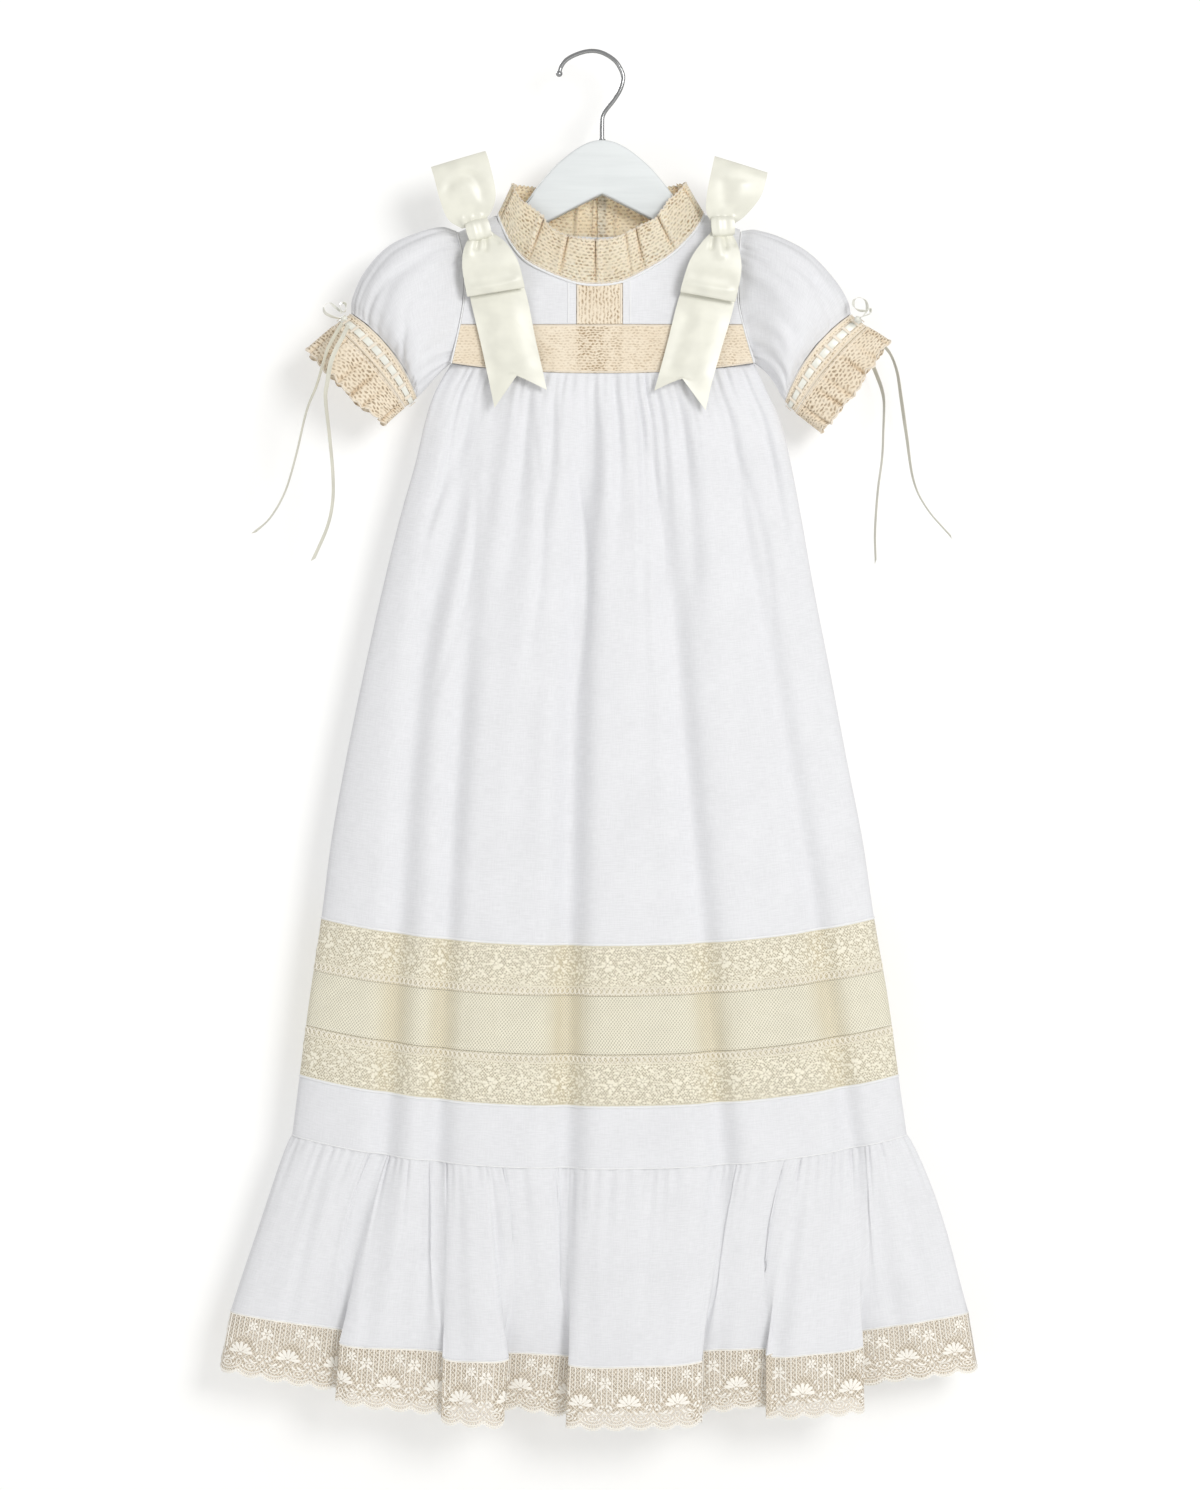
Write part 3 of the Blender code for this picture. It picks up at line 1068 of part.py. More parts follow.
def build_sleeves(parts):
    for side in ("left", "right"):
        rings = SLEEVE_RINGS[side]
        tube_wall(f"sleeve_{side}", rings, parts, "cotton", SLEEVE_COLUMNS)
        cuff = CUFF_RINGS[side]
        tube_wall(f"cuff_band_{side}", [cuff["seam"], cuff["end"]], parts, "lace_cream", SLEEVE_COLUMNS)
        shift = 0.35 * (-1 if side == "left" else 1)
        start = dict(cuff["end"], top_x=cuff["end"]["top_x"] + shift, top_drop=cuff["end"]["top_drop"] + 0.35,
                     low_x=cuff["end"]["low_x"] + shift, low_drop=cuff["end"]["low_drop"] + 0.35)
        tube_wall(
            f"cuff_frill_{side}", [start, cuff["edge"]], parts, "lace_cream",
            33, wave=CUFF_WAVE_DEEP, waves=CUFF_WAVES,
        )
        # The narrow ribbon lies on the beading, so it is made from its rings.
        middle = cuff["ribbon"]
        half = NARROW_RIBBON / 2 / 15.6
        line = [
            {key: lerp(middle[key], (cuff["seam"] if t < 0 else cuff["end"])[key], abs(t)) for key in middle}
            for t in (-2 * half, 2 * half)
        ]
        tube_wall(f"cuff_ribbon_{side}", line, parts, "satin", SLEEVE_COLUMNS, thick=1.0, grow=1.4)


def build_bows(parts):
    for name, rows in BOW_ROWS.items():
        ribbon(name, rows, parts)
    for name, size in KNOTS.items():
        knot(name, size, parts)
    for name, line in CUFF_BOWS.items():
        strip(name, line, NARROW_RIBBON, parts, thick=0.9)
    for name, line in CUFF_TAILS.items():
        tube_curve(name, even_points(line, 3.0 * NARROW_RIBBON), NARROW_RIBBON / 2, parts, "satin", resolution=2)


def build_skirt(parts):
    for back in (False, True):
        where = "back" if back else "front"
        lobes = BACK_LOBES if back else FRONT_LOBES
        ring_panel(f"skirt_{where}", SEAMS["waist"], SEAMS["lace_upper_top"], 6, parts, "cotton", back)
        ring_panel(f"lace_upper_{where}", SEAMS["lace_upper_top"], SEAMS["lace_upper_bottom"], 1, parts, "lace_ivory", back)
        ring_panel(f"tulle_{where}", SEAMS["lace_upper_bottom"], SEAMS["lace_lower_top"], 1, parts, "net", back)
        ring_panel(f"lace_lower_{where}", SEAMS["lace_lower_top"], SEAMS["lace_lower_bottom"], 1, parts, "lace_ivory", back)
        ring_panel(f"plain_band_{where}", SEAMS["lace_lower_bottom"], SEAMS["flounce_top"], 1, parts, "cotton", back)
        flounce_panel(
            f"flounce_{where}", lobes, (0.0, 0.42, 1.0), parts, "cotton", back, top_gap=SEAM_GAP / 2, low_gap=SEAM_GAP * 1.2
        )
        flounce_panel(f"hem_lace_{where}", lobes, (1.0, 2.0), parts, "lace_ivory", back, top_gap=SEAM_GAP * 1.2)


def main():
    clear_scene()
    parts = bpy.data.collections.new("christening_gown")
    bpy.context.scene.collection.children.link(parts)
    build_hanger(parts)
    build_bodice(parts)
    build_neck(parts)
    build_sleeves(parts)
    build_bows(parts)
    build_skirt(parts)


main()
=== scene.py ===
"""Looks of a christening gown that hangs on a flat wooden hanger.

Every piece rides on the one body of the frame. Tables are in millimetres:
"drop" is how far below the hook's bearing point a place lies, "x" is across
(the wearer's right is -x), and "level" is how far the cloth stands forward of
(or, on the back, behind) the middle plane. The front looks along -Y, +Z is up.

Cloth surfaces are grids of points made from these tables, with their creases
added as soft troughs and ridges. Lace figures are charted flat, by length
along the lace (u) and down it (v), and then laid on the surface.
"""

import math

import bpy
import numpy as np
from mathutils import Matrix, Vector


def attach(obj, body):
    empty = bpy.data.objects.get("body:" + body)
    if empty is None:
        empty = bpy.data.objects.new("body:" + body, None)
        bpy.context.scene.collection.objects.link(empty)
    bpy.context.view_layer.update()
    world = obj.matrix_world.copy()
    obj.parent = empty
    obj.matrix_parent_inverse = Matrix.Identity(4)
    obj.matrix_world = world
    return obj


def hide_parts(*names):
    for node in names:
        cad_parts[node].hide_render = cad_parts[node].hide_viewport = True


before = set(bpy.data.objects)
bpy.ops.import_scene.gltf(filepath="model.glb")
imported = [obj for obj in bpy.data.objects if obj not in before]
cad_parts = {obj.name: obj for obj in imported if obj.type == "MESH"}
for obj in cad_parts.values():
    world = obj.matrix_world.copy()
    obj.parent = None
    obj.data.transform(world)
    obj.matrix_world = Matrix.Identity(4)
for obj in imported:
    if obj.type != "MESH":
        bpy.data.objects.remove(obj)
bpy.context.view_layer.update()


MM = 0.001
SEAM_GAP = 0.3
NARROW_RIBBON = 3.5

# ------------------------------------------------------ outline of the skirt
# drop: height of the ring; left, right: its side seams; front, back: how far
# its middle stands off the plane of the side seams.
SKIRT_RINGS = [
    {"drop": 216, "left": -105.0, "right": 106.0, "front": 10.5, "back": 10.0},
    {"drop": 237, "left": -117.0, "right": 115.5, "front": 11.5, "back": 12.0},
    {"drop": 256, "left": -123.5, "right": 124.5, "front": 13.0, "back": 13.5},
    {"drop": 286, "left": -130.5, "right": 132.0, "front": 15.0, "back": 15.0},
    {"drop": 325, "left": -141.5, "right": 139.5, "front": 17.0, "back": 16.5},
    {"drop": 376, "left": -154.0, "right": 148.5, "front": 19.0, "back": 18.0},
    {"drop": 432, "left": -166.5, "right": 159.5, "front": 20.5, "back": 19.0},
    {"drop": 495, "left": -179.5, "right": 171.5, "front": 22.0, "back": 20.0},
    {"drop": 551, "left": -189.5, "right": 182.5, "front": 23.0, "back": 21.0},
    {"drop": 605, "left": -196.5, "right": 190.5, "front": 23.5, "back": 21.5},
    {"drop": 663, "left": -205.0, "right": 200.5, "front": 24.0, "back": 22.0},
    {"drop": 726, "left": -213.0, "right": 209.0, "front": 24.5, "back": 22.5},
    {"drop": 757, "left": -217.0, "right": 213.5, "front": 25.0, "back": 23.0},
    {"drop": 790, "left": -222.0, "right": 218.5, "front": 25.5, "back": 23.5},
]

# Seams that run round the gown: their drop at the middle and at the sides.
SEAMS = {
    "waist": {"middle": 224.7, "side": 217.5},
    "lace_upper_top": {"middle": 623.0, "side": 605.0},
    "lace_upper_bottom": {"middle": 659.0, "side": 642.0},
    "lace_lower_top": {"middle": 699.5, "side": 680.0},
    "lace_lower_bottom": {"middle": 736.0, "side": 715.5},
    "flounce_top": {"middle": 778.5, "side": 757.0},
}
SEAM_BEND = 2.3

# Folds of the front and the back: three places that the bottom of the fold
# passes, how deep it is there, and how wide.
FRONT_FOLDS = [
    {"name": "a", "x": (-88, -106, -124), "drop": (240, 292, 331), "deep": (3.0, 3.0, 0.5), "wide": 7},
    {"name": "b", "x": (-79, -126, -152), "drop": (236, 432, 778), "deep": (3.0, 5.0, 6.0), "wide": 10},
    {"name": "c", "x": (-70, -99, -116), "drop": (236, 461, 778), "deep": (3.0, 5.0, 6.0), "wide": 9},
    {"name": "d", "x": (-52, -55, -58), "drop": (234, 290, 345), "deep": (2.5, 2.5, 0.5), "wide": 7},
    {"name": "e", "x": (-9, -19, -26), "drop": (234, 420, 778), "deep": (4.0, 9.0, 8.0), "wide": 11},
    {"name": "f", "x": (7, 12, 16), "drop": (234, 285, 345), "deep": (2.5, 2.5, 0.5), "wide": 7},
    {"name": "g", "x": (25, 29, 33), "drop": (234, 280, 330), "deep": (2.5, 2.5, 0.5), "wide": 6},
    {"name": "h", "x": (37, 53, 84), "drop": (234, 432, 778), "deep": (3.0, 6.0, 6.0), "wide": 10},
    {"name": "i", "x": (55, 59, 64), "drop": (234, 280, 330), "deep": (2.5, 2.5, 0.5), "wide": 6},
    {"name": "j", "x": (80, 117, 176), "drop": (236, 422, 778), "deep": (3.0, 5.0, 6.0), "wide": 10},
    {"name": "k", "x": (98, 117, 128), "drop": (240, 286, 345), "deep": (3.0, 3.0, 0.5), "wide": 7},
]
BACK_FOLDS = [
    {"name": "a", "x": (-84, -118, -150), "drop": (236, 400, 778), "deep": (3.0, 5.0, 6.0), "wide": 10},
    {"name": "b", "x": (-60, -68, -74), "drop": (234, 290, 360), "deep": (2.5, 2.5, 0.5), "wide": 7},
    {"name": "c", "x": (-40, -66, -88), "drop": (234, 440, 778), "deep": (3.0, 6.0, 7.0), "wide": 11},
    {"name": "d", "x": (-14, -19, -22), "drop": (234, 300, 380), "deep": (2.5, 3.0, 0.5), "wide": 7},
    {"name": "e", "x": (6, 8, 12), "drop": (234, 430, 778), "deep": (4.0, 7.0, 7.0), "wide": 11},
    {"name": "f", "x": (31, 38, 43), "drop": (234, 290, 350), "deep": (2.5, 2.5, 0.5), "wide": 7},
    {"name": "g", "x": (50, 72, 98), "drop": (234, 430, 778), "deep": (3.0, 5.0, 6.0), "wide": 10},
    {"name": "h", "x": (82, 121, 164), "drop": (236, 420, 778), "deep": (3.0, 5.0, 6.0), "wide": 10},
]

# Lobes of the flounce, from the left side seam to the right one. top_x and
# hem_x are where a lobe ends at the flounce's top seam and at its lower edge,
# lace_x at the lower edge of the hem lace. level is how far the lobe stands
# off; hem_drop and lace_drop are its two ends' drops at those two edges.
FRONT_LOBES = [
    {"top_x": (-217.0, -152.6), "hem_x": (-259.0, -185.5), "lace_x": (-267.0, -189.7), "level": 11, "hem_drop": (880.0, 891.5), "lace_drop": (922.0, 936.0)},
    {"top_x": (-152.6, -112.7), "hem_x": (-184.0, -112.0), "lace_x": (-187.0, -115.5), "level": 21, "hem_drop": (901.6, 905.0), "lace_drop": (943.0, 951.0)},
    {"top_x": (-112.7, -73.5), "hem_x": (-112.0, -63.0), "lace_x": (-113.5, -66.5), "level": 29, "hem_drop": (910.7, 911.4), "lace_drop": (956.0, 959.0)},
    {"top_x": (-73.5, -24.5), "hem_x": (-62.0, -24.5), "lace_x": (-64.0, -30.0), "level": 14, "hem_drop": (907.0, 909.0), "lace_drop": (947.0, 953.0)},
    {"top_x": (-24.5, 87.5), "hem_x": (-24.5, 70.0), "lace_x": (-26.0, 70.0), "level": 31, "hem_drop": (915.6, 913.0), "lace_drop": (960.0, 958.0)},
    {"top_x": (87.5, 131.6), "hem_x": (71.0, 112.0), "lace_x": (72.0, 108.0), "level": 16, "hem_drop": (905.0, 904.0), "lace_drop": (950.5, 946.0)},
    {"top_x": (131.6, 178.5), "hem_x": (112.0, 182.0), "lace_x": (112.0, 182.7), "level": 24, "hem_drop": (910.0, 903.7), "lace_drop": (954.0, 950.0)},
    {"top_x": (178.5, 213.5), "hem_x": (183.0, 257.0), "lace_x": (185.0, 264.0), "level": 10, "hem_drop": (892.0, 881.0), "lace_drop": (931.0, 923.0)},
]
BACK_LOBES = [
    {"top_x": (-217.0, -150.0), "hem_x": (-259.0, -172.0), "lace_x": (-267.0, -176.0), "level": 10, "hem_drop": (880.0, 894.0), "lace_drop": (922.0, 938.0)},
    {"top_x": (-150.0, -88.0), "hem_x": (-172.0, -98.0), "lace_x": (-175.0, -99.0), "level": 23, "hem_drop": (902.0, 908.0), "lace_drop": (945.0, 953.0)},
    {"top_x": (-88.0, -38.0), "hem_x": (-97.0, -38.0), "lace_x": (-98.0, -40.0), "level": 12, "hem_drop": (904.0, 907.0), "lace_drop": (948.0, 952.0)},
    {"top_x": (-38.0, 34.0), "hem_x": (-38.0, 46.0), "lace_x": (-39.0, 47.0), "level": 28, "hem_drop": (913.0, 913.0), "lace_drop": (957.0, 957.0)},
    {"top_x": (34.0, 98.0), "hem_x": (47.0, 102.0), "lace_x": (48.0, 103.0), "level": 14, "hem_drop": (907.0, 905.0), "lace_drop": (952.0, 949.0)},
    {"top_x": (98.0, 160.0), "hem_x": (103.0, 178.0), "lace_x": (104.0, 181.0), "level": 23, "hem_drop": (909.0, 903.0), "lace_drop": (953.0, 947.0)},
    {"top_x": (160.0, 213.5), "hem_x": (179.0, 257.0), "lace_x": (182.0, 264.0), "level": 10, "hem_drop": (893.0, 881.0), "lace_drop": (936.0, 923.0)},
]
LOBE_TUCK = 9.0        # how far a lobe runs on behind the one in front of it

# ------------------------------------------------------------------- bodice
# Neck seam, from the left side of the neck round the front to the right side,
# and on round the back. y is negative in front.
NECK_FRONT = [
    {"x": -72.0, "drop": 112.2, "y": 0.0},
    {"x": -71.8, "drop": 117.2, "y": -7.0},
    {"x": -64.6, "drop": 132.4, "y": -9.0},
    {"x": -54.0, "drop": 145.6, "y": -9.3},
    {"x": -37.0, "drop": 154.7, "y": -9.7},
    {"x": -17.9, "drop": 161.6, "y": -10.0},
    {"x": -1.5, "drop": 163.0, "y": -10.0},
    {"x": 14.5, "drop": 160.6, "y": -10.0},
    {"x": 30.5, "drop": 153.0, "y": -9.7},
    {"x": 49.0, "drop": 141.4, "y": -9.3},
    {"x": 63.0, "drop": 127.5, "y": -8.8},
    {"x": 70.4, "drop": 116.6, "y": -7.0},
    {"x": 70.7, "drop": 112.2, "y": 0.0},
]
NECK_BACK = [
    {"x": -72.0, "drop": 112.2, "y": 0.0},
    {"x": -70.0, "drop": 116.0, "y": 7.0},
    {"x": -58.0, "drop": 122.0, "y": 8.8},
    {"x": -34.0, "drop": 126.5, "y": 10.0},
    {"x": 0.0, "drop": 128.5, "y": 10.5},
    {"x": 34.0, "drop": 126.5, "y": 10.0},
    {"x": 57.0, "drop": 122.0, "y": 8.8},
    {"x": 68.8, "drop": 116.0, "y": 7.0},
    {"x": 70.7, "drop": 112.2, "y": 0.0},
]
# Upper edge of the stand-up frill, place for place with the neck seam.
FRILL_FRONT = [
    {"x": -62.0, "drop": 92.4, "y": 0.0},
    {"x": -60.8, "drop": 96.0, "y": -6.5},
    {"x": -56.0, "drop": 104.0, "y": -9.5},
    {"x": -43.0, "drop": 115.0, "y": -11.5},
    {"x": -30.0, "drop": 126.0, "y": -13.0},
    {"x": -13.0, "drop": 131.0, "y": -14.0},
    {"x": -1.5, "drop": 131.8, "y": -14.0},
    {"x": 11.0, "drop": 129.0, "y": -14.0},
    {"x": 24.5, "drop": 122.0, "y": -13.0},
    {"x": 37.0, "drop": 114.5, "y": -11.5},
    {"x": 47.5, "drop": 102.0, "y": -9.5},
    {"x": 55.0, "drop": 94.5, "y": -6.5},
    {"x": 57.4, "drop": 91.7, "y": 0.0},
]
FRILL_BACK = [
    {"x": -62.0, "drop": 92.4, "y": 0.0},
    {"x": -60.0, "drop": 91.5, "y": 6.5},
    {"x": -51.0, "drop": 91.5, "y": 9.5},
    {"x": -31.0, "drop": 92.5, "y": 11.5},
    {"x": 0.0, "drop": 94.0, "y": 12.0},
    {"x": 30.0, "drop": 92.5, "y": 11.5},
    {"x": 48.0, "drop": 91.5, "y": 9.5},
    {"x": 55.5, "drop": 91.0, "y": 6.5},
    {"x": 57.4, "drop": 91.7, "y": 0.0},
]
FRILL_PLEATS = 16      # pleats along the front half of the frill
FRILL_PLEAT_DEEP = 1.6

# Armhole seams: the line that the yoke and the sleeve share, seen from the
# front. The same line serves the back.
ARMHOLES = {
    "left": [
        {"x": -101.5, "drop": 124.6}, {"x": -97.0, "drop": 147.0}, {"x": -96.6, "drop": 170.8},
        {"x": -99.0, "drop": 188.0}, {"x": -105.5, "drop": 217.5},
    ],
    "right": [
        {"x": 97.5, "drop": 124.6}, {"x": 95.5, "drop": 150.0}, {"x": 95.5, "drop": 174.0},
        {"x": 99.5, "drop": 193.0}, {"x": 106.5, "drop": 217.5},
    ],
}
CENTER_STRIP = {"left": -17.9, "right": 14.5, "top": 162.4, "bottom": 190.4}
BAND_TOP = 190.4       # the lace band's upper seam
YOKE_LEVEL = 8.5
SHOULDER = {"x": 70.0, "drop": 112.2, "fall": 0.42}  # where its seam leaves the neck, and its slope
ARM_GAP = 0.95
PLACKET_LAP = 7.0      # how far the back's right half laps over the left one
PLACKET_LIFT = 1.8
YOKE_ROWS = (0.0, 0.035, 0.09, 0.3, 0.65, 1.0)   # rows bunch at the shoulder's round

# ------------------------------------------------------------------ sleeves
# Rings of the sleeve, from the armhole seam to the cuff seam: the ring's
# highest and lowest point, half its depth, and how far its middle bows
# towards the body.
SLEEVE_RINGS = {
    "left": [
        {"top_x": -101.9, "top_drop": 124.4, "low_x": -106.2, "low_drop": 217.0, "half": 9.2, "bow": 7.0, "square": 0.55, "armhole": "left"},
        {"top_x": -112.0, "top_drop": 121.5, "low_x": -111.0, "low_drop": 221.5, "half": 14.0, "bow": 5.0, "square": 0.7},
        {"top_x": -132.0, "top_drop": 126.5, "low_x": -117.5, "low_drop": 228.0, "half": 23.0, "bow": 2.0},
        {"top_x": -151.0, "top_drop": 136.0, "low_x": -122.5, "low_drop": 233.5, "half": 26.0, "bow": 1.0},
        {"top_x": -167.0, "top_drop": 154.0, "low_x": -126.5, "low_drop": 238.0, "half": 23.0, "bow": 2.0},
        {"top_x": -175.0, "top_drop": 172.0, "low_x": -128.5, "low_drop": 240.0, "half": 17.0, "bow": 4.5},
        {"top_x": -175.7, "top_drop": 182.0, "low_x": -129.5, "low_drop": 240.5, "half": 12.5, "bow": 6.0},
    ],
    "right": [
        {"top_x": 97.9, "top_drop": 124.4, "low_x": 107.2, "low_drop": 217.0, "half": 9.2, "bow": 7.0, "square": 0.55, "armhole": "right"},
        {"top_x": 107.0, "top_drop": 123.5, "low_x": 111.5, "low_drop": 220.5, "half": 14.0, "bow": 5.0, "square": 0.7},
        {"top_x": 127.0, "top_drop": 129.5, "low_x": 117.5, "low_drop": 226.5, "half": 23.0, "bow": 2.0},
        {"top_x": 146.0, "top_drop": 140.5, "low_x": 122.0, "low_drop": 233.0, "half": 26.0, "bow": 1.0},
        {"top_x": 163.5, "top_drop": 159.0, "low_x": 125.0, "low_drop": 239.0, "half": 23.0, "bow": 2.0},
        {"top_x": 172.5, "top_drop": 174.0, "low_x": 127.0, "low_drop": 242.0, "half": 17.0, "bow": 4.5},
        {"top_x": 174.2, "top_drop": 182.5, "low_x": 128.0, "low_drop": 243.0, "half": 12.5, "bow": 6.0},
    ],
}
# The lace cuff: the beading from the cuff seam outwards, then the frill.
CUFF_RINGS = {
    "left": {
        "seam": {"top_x": -175.9, "top_drop": 182.4, "low_x": -129.8, "low_drop": 240.9, "half": 12.5, "bow": 6.0},
        "ribbon": {"top_x": -182.5, "top_drop": 186.8, "low_x": -134.0, "low_drop": 244.6, "half": 12.4, "bow": 4.4},
        "end": {"top_x": -187.5, "top_drop": 190.7, "low_x": -138.0, "low_drop": 247.4, "half": 12.6, "bow": 3.0},
        "middle": {"top_x": -197.0, "top_drop": 199.5, "low_x": -145.5, "low_drop": 253.5, "half": 14.8, "bow": 0.6},
        "edge": {"top_x": -206.5, "top_drop": 208.6, "low_x": -152.8, "low_drop": 259.7, "half": 16.6, "bow": -2.0},
    },
    "right": {
        "seam": {"top_x": 174.4, "top_drop": 182.9, "low_x": 128.3, "low_drop": 243.5, "half": 12.5, "bow": 6.0},
        "ribbon": {"top_x": 180.6, "top_drop": 187.6, "low_x": 132.0, "low_drop": 247.5, "half": 12.4, "bow": 4.4},
        "end": {"top_x": 185.2, "top_drop": 191.2, "low_x": 135.4, "low_drop": 250.9, "half": 12.6, "bow": 3.0},
        "middle": {"top_x": 193.5, "top_drop": 197.0, "low_x": 145.0, "low_drop": 257.5, "half": 14.8, "bow": 0.6},
        "edge": {"top_x": 200.5, "top_drop": 202.5, "low_x": 154.5, "low_drop": 264.0, "half": 16.6, "bow": -2.0},
    },
}
CUFF_WAVES = 11
CUFF_WAVE_DEEP = 1.5

# -------------------------------------------------------------------- bows
# Rows across a ribbon, along its length: its two edges and how far it stands
# forward of the middle plane. notch lifts the middle of a cut end.
BOW_ROWS = {
    "bow_left_loop_up": [
        {"left": (-97.5, 124.5), "right": (-84.0, 121.0), "level": 17.0},
        {"left": (-107.0, 118.5), "right": (-77.0, 112.8), "level": 19.5},
        {"left": (-112.6, 105.5), "right": (-74.0, 100.0), "level": 21.5},
        {"left": (-117.0, 88.5), "right": (-78.6, 78.5), "level": 21.0},
        {"left": (-119.0, 82.2), "right": (-81.2, 71.0), "level": 18.0},
        {"left": (-117.0, 88.5), "right": (-79.0, 78.5), "level": 15.0},
        {"left": (-112.0, 105.0), "right": (-75.0, 99.0), "level": 14.0},
        {"left": (-105.5, 116.0), "right": (-78.0, 111.5), "level": 13.6},
    ],
    "bow_left_loop_down": [
        {"left": (-91.5, 129.0), "right": (-77.0, 126.5), "level": 17.0},
        {"left": (-96.2, 139.5), "right": (-67.0, 134.5), "level": 19.5},
        {"left": (-97.2, 152.0), "right": (-59.0, 146.5), "level": 21.0},
        {"left": (-94.8, 167.4), "right": (-54.8, 160.8), "level": 20.2},
        {"left": (-93.6, 172.2), "right": (-53.9, 165.8), "level": 17.5},
        {"left": (-94.0, 167.0), "right": (-55.5, 160.5), "level": 15.2},
        {"left": (-95.0, 156.0), "right": (-61.0, 150.0), "level": 14.6},
    ],
    "bow_left_tail": [
        {"left": (-92.0, 146.0), "right": (-72.0, 142.0), "level": 11.6},
        {"left": (-93.5, 158.0), "right": (-62.0, 152.0), "level": 11.8},
        {"left": (-92.0, 172.0), "right": (-53.4, 167.5), "level": 12.0},
        {"left": (-84.6, 204.0), "right": (-46.2, 202.0), "level": 13.2},
        {"left": (-79.8, 226.0), "right": (-41.2, 224.0), "level": 15.2},
        {"left": (-74.9, 249.2), "right": (-38.4, 236.8), "level": 16.2, "notch": 17.2, "at": 0.43},
    ],
    "bow_right_loop_up": [
        {"left": (77.0, 121.0), "right": (91.0, 121.5), "level": 17.0},
        {"left": (72.6, 113.0), "right": (99.5, 116.0), "level": 19.5},
        {"left": (73.2, 99.5), "right": (110.0, 103.5), "level": 21.5},
        {"left": (77.0, 81.0), "right": (114.2, 91.0), "level": 21.0},
        {"left": (78.4, 74.6), "right": (115.0, 86.0), "level": 18.0},
        {"left": (77.0, 81.0), "right": (114.2, 91.0), "level": 15.0},
        {"left": (74.4, 99.0), "right": (109.0, 103.0), "level": 14.0},
        {"left": (76.0, 111.0), "right": (99.5, 113.5), "level": 13.6},
    ],
    "bow_right_loop_down": [
        {"left": (76.0, 127.0), "right": (90.5, 127.5), "level": 17.0},
        {"left": (69.0, 135.0), "right": (95.0, 138.0), "level": 19.5},
        {"left": (61.2, 147.0), "right": (97.0, 153.0), "level": 21.0},
        {"left": (55.8, 163.0), "right": (94.0, 170.5), "level": 20.2},
        {"left": (54.6, 168.9), "right": (92.6, 175.9), "level": 17.5},
        {"left": (56.4, 163.5), "right": (92.8, 170.5), "level": 15.2},
        {"left": (62.0, 148.0), "right": (94.5, 154.0), "level": 14.6},
    ],
    "bow_right_tail": [
        {"left": (71.0, 145.0), "right": (90.0, 147.0), "level": 11.6},
        {"left": (61.5, 157.0), "right": (92.5, 162.0), "level": 11.8},
        {"left": (54.0, 171.0), "right": (92.0, 177.5), "level": 12.0},
        {"left": (45.5, 204.0), "right": (83.0, 209.0), "level": 13.2},
        {"left": (39.6, 226.0), "right": (76.4, 232.0), "level": 15.2},
        {"left": (36.4, 237.3), "right": (72.2, 251.0), "level": 16.2, "notch": 16.4, "at": 0.53},
    ],
}
KNOTS = {
    "bow_left_knot": {"x": -86.0, "drop": 125.4, "level": 17.4, "wide": 17.0, "high": 14.5, "deep": 10.5, "turn": 15.0},
    "bow_right_knot": {"x": 84.2, "drop": 122.8, "level": 17.4, "wide": 16.5, "high": 14.5, "deep": 10.5, "turn": 4.0},
}

# The narrow ribbon's bow at each cuff: the strip's middle line.
CUFF_BOWS = {
    "cuff_bow_left": [
        {"x": -179.6, "drop": 187.0, "level": 14.6}, {"x": -186.5, "drop": 186.2, "level": 16.4},
        {"x": -192.6, "drop": 183.2, "level": 17.2}, {"x": -193.4, "drop": 178.6, "level": 17.2},
        {"x": -189.4, "drop": 176.6, "level": 16.6}, {"x": -184.2, "drop": 180.6, "level": 16.0},
        {"x": -180.4, "drop": 183.0, "level": 17.0}, {"x": -178.4, "drop": 181.2, "level": 18.4},
        {"x": -178.2, "drop": 177.6, "level": 19.0}, {"x": -180.4, "drop": 176.2, "level": 19.4},
        {"x": -182.4, "drop": 178.2, "level": 19.4}, {"x": -181.6, "drop": 184.0, "level": 18.8},
    ],
    "cuff_bow_right": [
        {"x": 178.2, "drop": 187.4, "level": 14.6}, {"x": 182.6, "drop": 184.6, "level": 16.4},
        {"x": 184.8, "drop": 179.8, "level": 17.2}, {"x": 183.4, "drop": 174.6, "level": 17.2},
        {"x": 179.0, "drop": 172.4, "level": 16.6}, {"x": 175.6, "drop": 174.2, "level": 16.0},
        {"x": 175.0, "drop": 178.4, "level": 17.0}, {"x": 177.8, "drop": 181.4, "level": 18.4},
        {"x": 182.6, "drop": 182.2, "level": 19.0}, {"x": 186.4, "drop": 181.0, "level": 19.4},
        {"x": 186.2, "drop": 184.0, "level": 19.4}, {"x": 180.0, "drop": 186.4, "level": 18.8},
    ],
}
